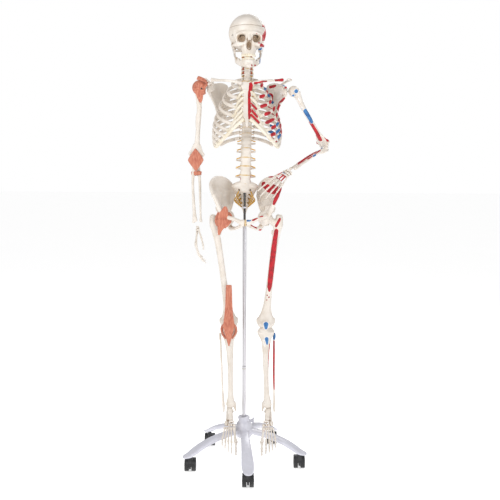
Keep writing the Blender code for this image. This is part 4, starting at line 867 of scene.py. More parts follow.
def makePoles():
    radius = standSizes["poleRadius"]
    lower = [(0, 0.1385), (radius - 0.0006, 0.1385), (radius, 0.1392), (radius, 0.4365), (radius + 0.0006, 0.4368),
        (radius + 0.0006, 0.4385), (radius - 0.0008, 0.4398), (0, 0.4398)]
    settle(turned("lowerPole", lower, placeBody, steel), "pelvis", "pole_steel", "lower_pole")
    upper = [(0, 0.4405), (radius - 0.0008, 0.4405), (radius, 0.4413), (radius, 1.05), (radius - 0.0012, 1.0516),
        (0, 1.0516)]
    settle(turned("upperPole", upper, placeBody, steel), "pelvis", "pole_steel", "upper_pole")
    rodRadius = 0.005
    thread = []
    # the rod is threaded where its nut runs
    for k in range(29):
        height = 1.118 + k * 0.0005
        thread.append((rodRadius - (0.0004 if k % 2 else 0.0), height))
    outline = [(0, 1.0526), (radius * 0.88, 1.0526), (radius * 0.9, 1.0535), (radius * 0.9, 1.063),
        (radius * 0.8, 1.0642), (rodRadius, 1.0645), *thread, (rodRadius, 1.1955), (0, 1.196)]
    settle(turned("pelvicRod", outline, placeBody, darkSteel, 40), "pelvis", "dark_steel", "pelvic_rod")
    nut = [(rodRadius + 0.0002, 1.126), (0.0088, 1.126), (0.0095, 1.1268), (0.0095, 1.1312), (0.0088, 1.132),
        (rodRadius + 0.0002, 1.132)]
    ring = turned("rodNut", nut, placeBody, enamel, 6, 20)
    settle(ring, "pelvis", "white_enamel")
    collar = turned("jointRing", [(radius + 0.0001, 0.4265), (radius + 0.0011, 0.427), (radius + 0.0011, 0.43),
        (radius + 0.0001, 0.4305)], placeBody, zinc, 40)
    settle(collar, "pelvis", "pole_steel")


casterLook = {"wheelRadius": 0.0265, "wheelWidth": 0.0175, "spacing": 0.03, "web": 0.009, "trail": 0.016,
    "hoodRadius": 0.0315, "crown": 0.065, "stemRadius": 0.005, "stemTop": 0.078, "spokes": 6}


def makeCasterTemplate():
    s = casterLook
    half = s["spacing"] / 2 + s["wheelWidth"] / 2
    centre = np.array((0, s["trail"], s["wheelRadius"]))
    clay = newClay((-half - 0.004, -0.02, 0.0), (half + 0.004, 0.055, 0.08), 0.0009)
    outer = [link(centre + (-half + 0.003, 0, 0), centre + (half - 0.003, 0, 0), (0, 0, 1), (s["hoodRadius"] - 0.001,)
        * 2)]
    join(clay, outer, 0.001)
    whole = clay["solid"]
    axes = [clay["low"][i] + clay["grain"] * np.arange(whole.shape[i]) for i in range(3)]
    x, y, z = axes[0][:, None, None], axes[1][None, :, None], axes[2][None, None, :]
    whole[:] = np.maximum(whole, np.abs(x) - half + 0 * y + 0 * z)
    # wheel wells on both sides of the web, and everything below the axle cut away
    wells = np.maximum(np.sqrt((y - centre[1]) ** 2 + (z - centre[2]) ** 2) - s["wheelRadius"] - 0.0013,
        s["web"] / 2 - np.abs(x) + 0 * y)
    whole[:] = np.maximum(whole, -wells)
    low = np.where(np.abs(x) < s["web"] / 2 + 0.0002, centre[2] - 0.008, centre[2] + 0.005)
    front = low + 0.3 * (y - centre[1]) * (y > centre[1])
    whole[:] = np.maximum(whole, front - z)
    join(clay, rod((0, 0, 0.048), (0, 0, s["crown"] - 0.003), 0.0115, 0.0095), 0.004)
    join(clay, rod((0, 0, s["crown"]), (0, 0, s["stemTop"] - 0.003), s["stemRadius"]), 0.001)
    whole[:] = np.maximum(whole, z - s["stemTop"] + 0 * x + 0 * y)
    return skinClay(clay, "casterTemplate", Matrix.Identity(4), look=nylon)


def makeWheelTree():
    # two wheels on one axle: tread outline spun about X, with spokes in the outer face
    tree, given, out = newTree("casterWheels",
        (("Geometry", "Geometry", None), ("Radius", "Float", 0.0265), ("Width", "Float", 0.0175),
        ("Spacing", "Float", 0.03), ("Spokes", "Int", 6), ("Material", "Material", None)))
    body = addNode(tree, "GeometryNodeMeshCylinder",
        {"Radius": given.outputs["Radius"], "Depth": given.outputs["Width"]}, Vertices=64)
    spokeHigh = mathNode(tree, "MULTIPLY", given.outputs["Radius"], 0.6)
    size = addNode(tree, "ShaderNodeCombineXYZ", {"Y": spokeHigh}, X=0.0022, Z=0.0012)
    spoke = addNode(tree, "GeometryNodeMeshCube", {"Size": size.outputs[0]})
    ringRadius = mathNode(tree, "MULTIPLY", given.outputs["Radius"], 0.42)
    ring = addNode(tree, "GeometryNodeMeshCircle", {"Vertices": given.outputs["Spokes"], "Radius": ringRadius})
    index = tree.nodes.new("GeometryNodeInputIndex").outputs[0]
    step = mathNode(tree, "DIVIDE", math.tau, given.outputs["Spokes"])
    angle = mathNode(tree, "MULTIPLY_ADD", index, step, math.pi / 2)
    turn = addNode(tree, "ShaderNodeCombineXYZ", {"Z": angle})
    rot = addNode(tree, "FunctionNodeEulerToRotation", {"Euler": turn.outputs[0]})
    spokes = addNode(tree, "GeometryNodeInstanceOnPoints",
        {"Points": ring.outputs["Mesh"], "Instance": spoke.outputs["Mesh"], "Rotation": rot.outputs[0]})
    up = mathNode(tree, "MULTIPLY", given.outputs["Width"], 0.5)
    lift = addNode(tree, "ShaderNodeCombineXYZ", {"Z": up})
    raised = addNode(tree, "GeometryNodeTransform",
        {"Geometry": spokes.outputs["Instances"], "Translation": lift.outputs[0]})
    hubRadius = mathNode(tree, "MULTIPLY", given.outputs["Radius"], 0.26)
    hub = addNode(tree, "GeometryNodeMeshCylinder", {"Radius": hubRadius}, Vertices=32, Depth=0.0026)
    hubUp = addNode(tree, "GeometryNodeTransform", {"Geometry": hub.outputs["Mesh"], "Translation": lift.outputs[0]})
    joined = tree.nodes.new("GeometryNodeJoinGeometry")
    for source in (body.outputs["Mesh"], raised.outputs["Geometry"], hubUp.outputs["Geometry"]):
        tree.links.new(source, joined.inputs[0])
    halfSpace = mathNode(tree, "MULTIPLY", given.outputs["Spacing"], 0.5)
    away = addNode(tree, "ShaderNodeCombineXYZ", {"Z": halfSpace})
    first = addNode(tree, "GeometryNodeTransform", {"Geometry": joined.outputs[0], "Translation": away.outputs[0]})
    second = addNode(tree, "GeometryNodeTransform", {"Geometry": first.outputs["Geometry"]}, Rotation=(math.pi, 0, 0))
    both = tree.nodes.new("GeometryNodeJoinGeometry")
    axle = addNode(tree, "GeometryNodeMeshCylinder", None, Vertices=24, Radius=0.003, Depth=0.03)
    for source in (first.outputs["Geometry"], second.outputs["Geometry"], axle.outputs["Mesh"]):
        tree.links.new(source, both.inputs[0])
    closeTree(tree, given, out, both.outputs[0])
    return tree


def makeCasters():
    s = casterLook
    template = makeCasterTemplate()
    wheelTree = makeWheelTree()
    for index in range(standSizes["legs"]):
        number = index + 1
        foot = legWay(index) * standSizes["casterReach"]
        housing = scatter(f"casterHood{number}", template, [((0, 0, 0), (0, 0, 0), 1.0)], nylon)
        housing.data.transform(placeBody @ Matrix.Translation(foot))
        settle(housing, f"caster_{number}", "black_nylon", f"caster_housing_{number}")
        wheels = runTree(wheelTree, f"casterTreads{number}", bpy.data.meshes.new("wheelBase"),
            {"Radius": s["wheelRadius"], "Width": s["wheelWidth"], "Spacing": s["spacing"], "Spokes": s["spokes"],
            "Material": tread})
        centre = foot + Vector((0, s["trail"], s["wheelRadius"]))
        wheels.data.transform(placeBody @ Matrix.Translation(centre) @ Matrix.Rotation(math.pi / 2, 4, "Y"))
        tidyNormals(wheels, 35)
        soft = wheels.modifiers.new("roundedEdges", "BEVEL")
        soft.width, soft.segments, soft.limit_method, soft.angle_limit = 0.0011, 2, "ANGLE", math.radians(50)
        settle(wheels, f"wheels_{number}", "black_nylon", f"caster_wheels_{number}")
    discard(template)


makeStarBase()
makeKnob()
makePoles()
makeCasters()
print("stand made")

# legs: every bone is modelled in its own frame and placed on its joints

legSizes = {"headRadius": 0.0225, "fibulaSpread": {"right": 0.04, "left": 0.036}, "talusRadius": 0.0115,
    "footPitch": 50, "grain": 0.00125, "footGrain": 0.00095}


def makeFemur(side):
    s = signs[side]
    start, end = hipAt[side], kneeAt[side]
    place = placeBody @ limbFrame(start, end)
    length = (end - start).length
    low = (min(s * 0.075, -0.045), -0.045, -0.035)
    high = (max(s * 0.075, 0.045), 0.045, length + 0.005)
    clay = newClay(low, high, legSizes["grain"])
    bar(clay, [((s * 0.044, -0.003, -0.008), 0.01, 0.013), ((s * 0.049, 0, 0.01), 0.015, 0.018),
        ((s * 0.043, 0, 0.04), 0.017, 0.017), ((s * 0.031, 0.004, 0.105), 0.014, 0.0138),
        ((s * 0.018, 0.01, 0.22), 0.013, 0.0132), ((s * 0.008, 0.006, 0.33), 0.0145, 0.0142),
        ((s * 0.002, 0.001, length - 0.075), 0.0215, 0.0165), ((0, -0.002, length - 0.042), 0.033, 0.02),
        ((0, -0.004, length - 0.026), 0.034, 0.021)], 0.004, steps=4)
    bar(clay, [((s * 0.006, 0, 0.004), 0.015, 0.015), ((s * 0.024, 0, 0.015), 0.012, 0.015),
        ((s * 0.046, 0, 0.03), 0.0145, 0.018)], 0.008, (0, 1, 0))
    lump(clay, (0, 0, 0), legSizes["headRadius"], 0.002)
    lump(clay, (s * 0.053, -0.006, -0.002), (0.011, 0.015, 0.016), 0.006)
    lump(clay, (s * 0.024, -0.011, 0.06), (0.008, 0.009, 0.012), 0.007)
    bar(clay, [((s * 0.05, -0.012, 0.0), 0.004, 0.004), ((s * 0.036, -0.016, 0.035), 0.003, 0.003),
        ((s * 0.027, -0.014, 0.055), 0.003, 0.003)], 0.006)
    # rough line down the back of the shaft
    bar(clay, [((s * 0.03, -0.008, 0.1), 0.003, 0.003), ((s * 0.018, -0.0035, 0.22), 0.003, 0.004),
        ((s * 0.008, -0.008, 0.33), 0.003, 0.003)], 0.006)
    for way in (-1, 1):
        lump(clay, (way * 0.0185, -0.008, length - 0.023), (0.0175, 0.0265, 0.0205), 0.007)
        lump(clay, (way * 0.034, -0.006, length - 0.034), (0.006, 0.01, 0.011), 0.007)
    dent(clay, (0, -0.036, length - 0.01), (0.0085, 0.02, 0.017), 0.006)
    dent(clay, (0, 0.026, length - 0.012), (0.013, 0.011, 0.026), 0.008)
    red = [([(0.052, 0.019, -0.004), (0.034, 0.018, 0.03)], 0.0065),
        ([(0.034, 0.022, 0.052), (0.026, 0.022, 0.13), (0.019, 0.024, 0.22), (0.0125, 0.022, 0.285),
        (0.012, 0.021, 0.302)], (0.013, 0.0145, 0.014, 0.011, 0.005)),
        ([(0.016, 0.008, 0.055), (0.014, 0.01, 0.082)], 0.0035), ([(0.002, 0.022, 0.322)], 0.0045),
        ([(0.011, 0.022, 0.33)], 0.0045), ([(0.001, 0.022, 0.342)], 0.0045),
        ([(0.022, -0.014, 0.14), (0.012, -0.014, 0.3)], 0.0045)]
    blue = [([(0.06, -0.01, -0.002), (0.052, -0.018, 0.006)], 0.007),
        ([(0.036, -0.018, 0.06), (0.024, -0.01, 0.13)], 0.004), ([(0.024, -0.022, 0.062)], 0.007)]
    finishBone(clay, side, "femur", f"thigh_{side}", place=place, red=red, blue=blue)


def makePatella(side):
    low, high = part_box(f"patella_{side}")
    centre = (low + high) / 2 - standFoot
    clay = newClay((-0.022, -0.011, -0.024), (0.022, 0.011, 0.023), 0.0008)
    lump(clay, (0, 0, 0.003), (0.0188, 0.007, 0.016), 0.002)
    bar(clay, [((0, 0, 0.0), 0.013, 0.006), ((0, -0.0005, -0.01), 0.009, 0.0052),
        ((0, -0.0005, -0.018), 0.004, 0.003)], 0.006)
    dent(clay, (0, 0.03, 0.002), (0.02, 0.0255, 0.02), 0.002)
    red = ()
    blue = [([(0, -0.006, 0.006), (0, -0.006, -0.01)], (0.0105, 0.0065))]
    place = placeBody @ Matrix.Translation(centre)
    finishBone(clay, side, "patella", f"thigh_{side}", place=place, red=red, blue=blue)


def makeTibia(side):
    s = signs[side]
    start, end = kneeAt[side], ankleAt[side]
    place = placeBody @ limbFrame(start, end)
    length = (end - start).length
    clay = newClay((-0.04, -0.032, -0.002), (0.04, 0.032, length + 0.012), legSizes["grain"])
    bar(clay, [((0, -0.005, 0.014), 0.0345, 0.0235), ((0, -0.004, 0.022), 0.0345, 0.0235),
        ((0, 0, 0.036), 0.0265, 0.0215), ((0, 0.002, 0.056), 0.0205, 0.019),
        ((-s * 0.002, 0.005, 0.09), 0.016, 0.0165), ((-s * 0.004, 0.004, 0.16), 0.0125, 0.0142),
        ((-s * 0.004, 0.001, 0.25), 0.0108, 0.0115), ((-s * 0.003, 0, length - 0.055), 0.0138, 0.0135),
        ((-s * 0.003, 0, length - 0.027), 0.02, 0.0165)], 0.003, steps=4)
    for way in (-1, 1):
        lump(clay, (way * 0.0185, -0.005, 0.015), (0.0175, 0.023, 0.0085), 0.004)
        lump(clay, (way * 0.004, -0.003, 0.0065), (0.0035, 0.006, 0.004), 0.003)
    lump(clay, (0, 0.0165, 0.05), (0.009, 0.0085, 0.018), 0.008)
    bar(clay, [((0, 0.016, 0.065), 0.003, 0.004), ((-s * 0.001, 0.0175, 0.11), 0.0025, 0.004),
        ((-s * 0.002, 0.0155, 0.18), 0.0025, 0.004), ((-s * 0.003, 0.01, 0.25), 0.0025, 0.003)], 0.007)
    bar(clay, [((-s * 0.0195, 0, length - 0.03), 0.007, 0.011), ((-s * 0.0225, 0, length - 0.01), 0.005, 0.009),
        ((-s * 0.023, 0, length + 0.002), 0.0035, 0.005)], 0.005)
    dent(clay, (-s * 0.001, 0, length + 0.001), (0.0185, 0.0135, 0.0135), 0.002)
    red = [([(0.014, 0.012, 0.066), (0.011, 0.013, 0.12), (0.008, 0.011, 0.175)], (0.004, 0.0045, 0.002)),
        ([(0.004, -0.014, 0.1), (-0.002, -0.012, 0.2)], 0.006)]
    blue = [([(0.003, 0.026, 0.04), (0.004, 0.024, 0.062)], (0.0095, 0.004)),
        ([(-0.0115, 0.017, 0.045), (-0.0095, 0.018, 0.068)], 0.0016),
        ([(-0.0065, 0.021, 0.046), (-0.005, 0.02, 0.074)], 0.0014),
        ([(-0.0165, 0.01, 0.052), (-0.0135, 0.013, 0.07)], 0.0016)]
    finishBone(clay, side, "tibia", f"shank_{side}", place=place, red=red, blue=blue)


def makeFibula(side):
    s = signs[side]
    start, end = kneeAt[side], ankleAt[side]
    length = (end - start).length
    out = s * legSizes["fibulaSpread"][side]
    clay = newClay((min(out, 0) - 0.012, -0.03, 0.018), (max(out, 0) + 0.012, 0.014, length + 0.018), 0.001)
    bar(clay, [((out, -0.017, 0.0285), 0.005, 0.0065), ((out, -0.0165, 0.04), 0.0062, 0.0086),
        ((out * 0.94, -0.014, 0.062), 0.0042, 0.0048), ((out * 0.9, -0.011, 0.11), 0.0045, 0.0052),
        ((out * 0.83, -0.009, 0.19), 0.0044, 0.0052), ((out * 0.78, -0.005, 0.27), 0.0044, 0.0046),
        ((s * 0.0285, -0.003, length - 0.04), 0.005, 0.0062), ((s * 0.0275, -0.002, length - 0.012), 0.0058, 0.009),
        ((s * 0.027, -0.002, length + 0.006), 0.0038, 0.0052)], 0.002, steps=4)
    blue = [([(out, -0.014, 0.026), (out, -0.012, 0.042)], 0.0115)]
    red = [([(out * 0.93, -0.01, 0.064), (out * 0.88, -0.006, 0.14), (out * 0.8, -0.003, 0.27)],
        (0.008, 0.0075, 0.003))]
    finishBone(clay, side, "fibula", f"shank_{side}", place=placeBody @ limbFrame(start, end), red=red, blue=blue)


def smallBone(clay, a, b, endRadius, waist, tipRadius):
    # one bone of a finger or toe: thick at both ends and waisted between them
    a, b = Vector(a), Vector(b)
    way = (b - a).normalized()
    first, last = a + way * endRadius * 0.8, b - way * tipRadius * 0.8
    bar(clay, [(first, endRadius, endRadius * 0.92), (first.lerp(last, 0.25), waist * 1.1, waist),
        (first.lerp(last, 0.65), waist, waist * 0.95), (last, tipRadius, tipRadius * 0.9)], 0.0006)


# toe: base x, ball x, toe x, ball reach, toe reach, radius (x runs to the little toe)
toes = ((-0.019, -0.029, -0.031, 0.132, 0.186, 0.0082), (-0.007, -0.011, -0.013, 0.136, 0.18, 0.0055),
    (0.002, 0.003, 0.002, 0.132, 0.174, 0.0052), (0.011, 0.016, 0.016, 0.126, 0.166, 0.005),
    (0.02, 0.029, 0.029, 0.117, 0.154, 0.0052))


def footFrame(side):
    pitch, splay = math.radians(legSizes["footPitch"]), math.radians(1)
    toesWay = Vector((signs[side] * math.sin(splay), -math.cos(pitch), -math.sin(pitch))).normalized()
    top = toesWay.cross(Vector((1, 0, 0))).normalized()
    top = -top if top.z < 0 else top
    return Matrix.Translation(ankleAt[side]) @ Matrix((top.cross(toesWay), top, toesWay)).transposed().to_4x4()


def makeFoot(side):
    s = signs[side]
    clay = newClay((-0.04, -0.056, -0.072), (0.04, 0.016, 0.192), legSizes["footGrain"])
    # heel bone
    bar(clay, [((s * 0.004, -0.036, -0.055), 0.0125, 0.014), ((s * 0.004, -0.034, -0.034), 0.012, 0.0155),
        ((s * 0.004, -0.029, -0.004), 0.0125, 0.012), ((s * 0.008, -0.029, 0.03), 0.01, 0.0095)], 0.004)
    lump(clay, (s * 0.003, -0.041, -0.057), (0.012, 0.012, 0.01), 0.005)
    lump(clay, (-s * 0.008, -0.021, -0.002), (0.008, 0.004, 0.009), 0.004)
    # ankle bone on top of it, with a groove between the two
    ankleBone = [ball((0, 0, 0), (0.0125, legSizes["talusRadius"], legSizes["talusRadius"]))]
    join(clay, ankleBone, 0.0008)
    bar(clay, [((0, -0.005, 0.004), 0.011, 0.009), ((-s * 0.003, -0.011, 0.018), 0.01, 0.008),
        ((-s * 0.004, -0.014, 0.032), 0.0115, 0.0095)], 0.0012)
    for centre, radii in (((-s * 0.008, -0.0175, 0.0445), (0.0135, 0.01, 0.006)),
            ((s * 0.0135, -0.0255, 0.05), (0.0095, 0.0088, 0.013)),
            ((-s * 0.019, -0.023, 0.06), (0.0072, 0.0088, 0.0085)),
            ((-s * 0.0075, -0.0195, 0.0585), (0.0052, 0.0082, 0.0072)),
            ((s * 0.002, -0.0205, 0.06), (0.0052, 0.008, 0.0082))):
        lump(clay, centre, radii, 0.0007)
    for number, (baseX, ballX, toeX, ballReach, toeReach, radius) in enumerate(toes):
        knuckle = (s * ballX, -0.033, ballReach)
        smallBone(clay, (s * baseX, -0.0235, 0.067), knuckle, radius * 0.98, radius * 0.58, radius * 0.95)
        tip = (s * toeX, -0.037, toeReach)
        cuts = (0.0, 0.56, 1.0) if number == 0 else (0.0, 0.52, 0.76, 1.0)
        for step, (first, last) in enumerate(zip(cuts, cuts[1:])):
            a, b = Vector(knuckle).lerp(Vector(tip), first), Vector(knuckle).lerp(Vector(tip), last)
            a.y -= 0.0015 * math.sin(math.pi * first)
            smallBone(clay, a, b, radius * (0.86 - 0.13 * step), radius * (0.52 - 0.06 * step),
                radius * (0.78 - 0.16 * step))
    for way in (-0.005, 0.005):
        lump(clay, (-s * 0.029 + way, -0.0405, 0.126), (0.0035, 0.003, 0.0045), 0.0008)
    red = ([([(s * (t[0] * 0.6 + t[1] * 0.4) + s * 0.0045, -0.018, 0.084),
        (s * (t[0] * 0.3 + t[1] * 0.7) + s * 0.0045, -0.022, 0.112)], 0.0036) for t in toes[:4]]
        + [([(0.004, -0.02, 0.026)], 0.006), ([(s * 0.004, -0.05, -0.04), (s * 0.004, -0.048, -0.02)], 0.007)])
    blue = [([(s * 0.004, -0.04, -0.068)], 0.009), ([(s * 0.026, -0.022, 0.07)], 0.004),
        ([(-s * 0.024, -0.026, 0.066)], 0.004)]
    finishBone(clay, side, "foot", f"foot_{side}", place=placeBody @ footFrame(side), red=red, blue=blue)


for side in signs:
    makeFemur(side)
    makePatella(side)
    makeTibia(side)
    makeFibula(side)
    makeFoot(side)
print("legs made")

armSizes = {"headRadius": 0.023, "spread": 0.026, "knuckleReach": 0.088, "grain": 0.0011, "handGrain": 0.00085,
    "curl": {"right": 21, "left": 5}}
handWay = {"right": Vector((-0.1, -0.1, -1)), "left": Vector((-0.67, -0.42, -0.61))}
palmWay = {"right": Vector((1, 0.15, 0.1)), "left": Vector((0.1, 1, -0.72))}
thumbWay = {"right": -1, "left": 1}


def elbowAxis(side):
    if side == "right":
        return Vector((1, 0, 0))
    return (wristAt[side] - elbowAt[side]).cross(elbowAt[side] - shoulderAt[side]).normalized()


def makeHumerus(side):
    frameHere = limbFrame(shoulderAt[side], elbowAt[side], elbowAxis(side))
    outward = frameHere.to_3x3().inverted() @ Vector((signs[side], 0, 0))
    lean = 1 if outward.x > 0 else -1
    toward = thumbWay[side]
    length = (elbowAt[side] - shoulderAt[side]).length
    clay = newClay((-0.038, -0.032, -0.03), (0.038, 0.032, length + 0.012), armSizes["grain"])
    bar(clay, [((lean * 0.008, 0, -0.006), 0.013, 0.013), ((lean * 0.008, 0, 0.01), 0.0175, 0.018),
        ((lean * 0.006, 0, 0.036), 0.013, 0.013), ((0, 0, 0.09), 0.0102, 0.0104), ((0, 0, 0.17), 0.0092, 0.0102),
        ((0, 0, 0.228), 0.0115, 0.0088), ((0, 0, 0.26), 0.0215, 0.008), ((0, 0, length - 0.02), 0.0245, 0.0075)],
        0.003, steps=4)
    lump(clay, (0, 0, 0), armSizes["headRadius"], 0.002)
    lump(clay, (lean * 0.0185, 0.002, -0.002), (0.0095, 0.012, 0.013), 0.005)
    lump(clay, (lean * 0.006, 0.0165, 0.006), (0.0065, 0.006, 0.01), 0.004)
    carve(clay, tube([((lean * 0.0125, 0.0195, -0.008), 0.0028, 0.0028),
        ((lean * 0.0105, 0.0185, 0.02), 0.0026, 0.0026), ((lean * 0.008, 0.015, 0.045), 0.0018, 0.0018)]), 0.003)
    bar(clay, [((lean * 0.0085, 0.003, 0.11), 0.0035, 0.005), ((lean * 0.009, 0.003, 0.135), 0.004, 0.006),
        ((lean * 0.007, 0.003, 0.16), 0.003, 0.005)], 0.006)
    for way in (-1, 1):
        lump(clay, (way * 0.0275, -0.001, length - 0.026), (0.0065, 0.0065, 0.0095), 0.005)
        bar(clay, [((way * 0.013, 0, 0.235), 0.003, 0.003), ((way * 0.024, 0, 0.268), 0.003, 0.003)], 0.005)
    trochlea = [((-toward * x, 0.001, length - 0.009), r, r) for x,
        r in ((-0.001, 0.0082), (0.006, 0.0072), (0.015, 0.0098))]
    bar(clay, trochlea, 0.003, (0, 0, 1))
    lump(clay, (toward * 0.013, 0.003, length - 0.01), (0.0088, 0.009, 0.0092), 0.003)
    dent(clay, (-toward * 0.004, -0.0115, length - 0.026), (0.01, 0.0065, 0.0095), 0.002)
    dent(clay, (-toward * 0.004, 0.012, length - 0.024), (0.008, 0.0055, 0.006), 0.002)
    blue = [([(lean * 0.021, 0.01, -0.004)], 0.0085), ([(lean * 0.005, 0.021, 0.006)], 0.0058),
        ([(lean * 0.0145, 0.014, 0.03), (lean * 0.0085, 0.011, 0.08)], 0.0022),
        ([(lean * 0.0045, 0.016, 0.03), (lean * 0.0015, 0.012, 0.085)], 0.0022),
        ([(lean * 0.0085, 0.006, 0.1), (lean * 0.0075, 0.006, 0.158)], (0.0105, 0.0075)),
        ([(-lean * 0.008, -0.002, 0.115), (-lean * 0.008, -0.002, 0.145)], 0.005)]
    red = [([(lean * 0.002, 0.011, 0.16), (0, 0.012, 0.215), (0, 0.01, 0.252)], (0.009, 0.0135, 0.011)),
        ([(lean * 0.024, 0.002, 0.235), (lean * 0.03, 0.002, 0.27)], 0.0048),
        ([(lean * 0.004, -0.012, 0.06), (lean * 0.003, -0.01, 0.13)], 0.0048),
        ([(-lean * 0.029, 0.001, 0.272)], 0.0065)]
    finishBone(clay, side, "humerus", f"upper_arm_{side}", place=placeBody @ frameHere, red=red, blue=blue)


def makeForearm(side):
    frameHere = limbFrame(elbowAt[side], wristAt[side], elbowAxis(side))
    toward = thumbWay[side]
    away = -toward
    length = (wristAt[side] - elbowAt[side]).length
    half = armSizes["spread"] / 2
    clay = newClay((min(away * 0.03, -0.006), -0.032, -0.026), (max(away * 0.03, 0.006), 0.014, length), 0.001)
    bar(clay, [((away * 0.006, -0.0205, -0.013), 0.008, 0.006), ((away * 0.006, -0.0195, 0.002), 0.009, 0.006),
        ((away * 0.007, -0.013, 0.022), 0.0088, 0.0098), ((away * half * 0.9, -0.005, 0.06), 0.0062, 0.0072),
        ((away * half * 1.05, -0.001, 0.11), 0.0055, 0.0062), ((away * half, 0, 0.17), 0.005, 0.0055),
        ((away * half, 0, length - 0.034), 0.0043, 0.0043), ((away * half, 0, length - 0.018), 0.0066, 0.0066)],
        0.002, steps=4)
    lump(clay, (away * 0.007, -0.0055, 0.02), (0.007, 0.006, 0.006), 0.003)
    join(clay, rod((away * (half + 0.0045), -0.003, length - 0.018), (away * (half + 0.005), -0.004, length - 0.01),
        0.0022, 0.0014), 0.001)
    dent(clay, (away * 0.006, -0.0075, -0.002), (0.014, 0.01, 0.011), 0.002)
    blue = [([(away * 0.008, -0.004, 0.02), (away * 0.011, 0.001, 0.048)], (0.0085, 0.0055)),
        ([(away * 0.006, -0.027, -0.012)], 0.0075),
        ([(away * 0.01, -0.022, 0.01), (away * 0.013, -0.014, 0.05)], 0.005)]
    red = [([(away * half, 0.004, 0.062), (away * half, 0.004, 0.2)], (0.0066, 0.0072)),
        ([(away * (half + 0.004), -0.004, 0.08), (away * (half + 0.003), -0.004, 0.2)], 0.0045)]
    finishBone(clay, side, "ulna", f"forearm_{side}", place=placeBody @ frameHere, red=red, blue=blue)
    clay = newClay((min(toward * 0.03, -0.004), -0.014, 0.004), (max(toward * 0.03, 0.004), 0.016, length), 0.001)
    join(clay, link((toward * 0.014, 0, 0.015), (toward * 0.014, 0, 0.019), (1, 0, 0), (0.0092, 0.0092),
        (0.009, 0.009), 2), 0.001)
    bar(clay, [((toward * 0.014, 0, 0.018), 0.007, 0.007), ((toward * 0.013, 0, 0.032), 0.0052, 0.0052),
        ((toward * 0.013, 0.002, 0.055), 0.006, 0.006), ((toward * half * 1.25, 0.001, 0.105), 0.0054, 0.006),
        ((toward * half * 1.15, 0.001, 0.165), 0.006, 0.0062), ((toward * half, 0, length - 0.048), 0.0076, 0.0066),
        ((toward * half * 0.9, 0, length - 0.02), 0.0112, 0.0084)], 0.002, steps=4)
    lump(clay, (toward * 0.0085, 0.005, 0.043), (0.004, 0.004, 0.007), 0.003)
    lump(clay, (toward * half * 1.35, 0.001, length - 0.012), (0.0052, 0.006, 0.0065), 0.003)
    dent(clay, (toward * 0.014, 0, 0.0035), (0.0075, 0.0075, 0.0045), 0.001)
    dent(clay, (toward * half * 0.8, 0.001, length - 0.0035), (0.01, 0.007, 0.006), 0.001)
    blue = [([(toward * 0.0085, 0.009, 0.043)], 0.0065),
        ([(toward * 0.021, 0.002, 0.11), (toward * 0.021, 0.002, 0.128)], 0.004)]
    red = [([(toward * 0.014, 0.008, 0.07), (toward * 0.015, 0.008, 0.165)], (0.0072, 0.0082)),
        ([(toward * 0.013, 0.008, 0.185), (toward * 0.012, 0.008, 0.235)], 0.0055)]
    finishBone(clay, side, "radius", f"turning_forearm_{side}", place=placeBody @ frameHere, red=red, blue=blue)


# finger: base x, knuckle x, then the three bones' lengths
fingers = ((0.012, 0.026, 0.04, 0.024, 0.018), (0.004, 0.009, 0.044, 0.028, 0.019),
    (-0.004, -0.008, 0.041, 0.026, 0.018), (-0.012, -0.024, 0.032, 0.019, 0.016))
thumb = ((0.014, 0.004, 0.018), (0.036, 0.018, 0.052), (0.046, 0.028, 0.082), (0.05, 0.032, 0.104))


def handFrame(side):
    down = handWay[side].normalized()
    palm = (palmWay[side] - down * palmWay[side].dot(down)).normalized()
    thumbSide = down.cross(palm) if side == "right" else palm.cross(down)
    return Matrix.Translation(wristAt[side]) @ Matrix((thumbSide, palm, down)).transposed().to_4x4()


def fingerLine(finger, curl):
    baseX, knuckleX, *lengths = finger
    reach = armSizes["knuckleReach"]
    points = [Vector((baseX, 0, 0.03)), Vector((knuckleX, 0, reach - abs(knuckleX) * 0.25))]
    for number, length in enumerate(lengths):
        angle = curl * (number + 1)
        spread = (knuckleX - baseX) / reach
        points.append(points[-1] + Vector((spread * length, math.sin(angle) * length, math.cos(angle) * length)))
    return points


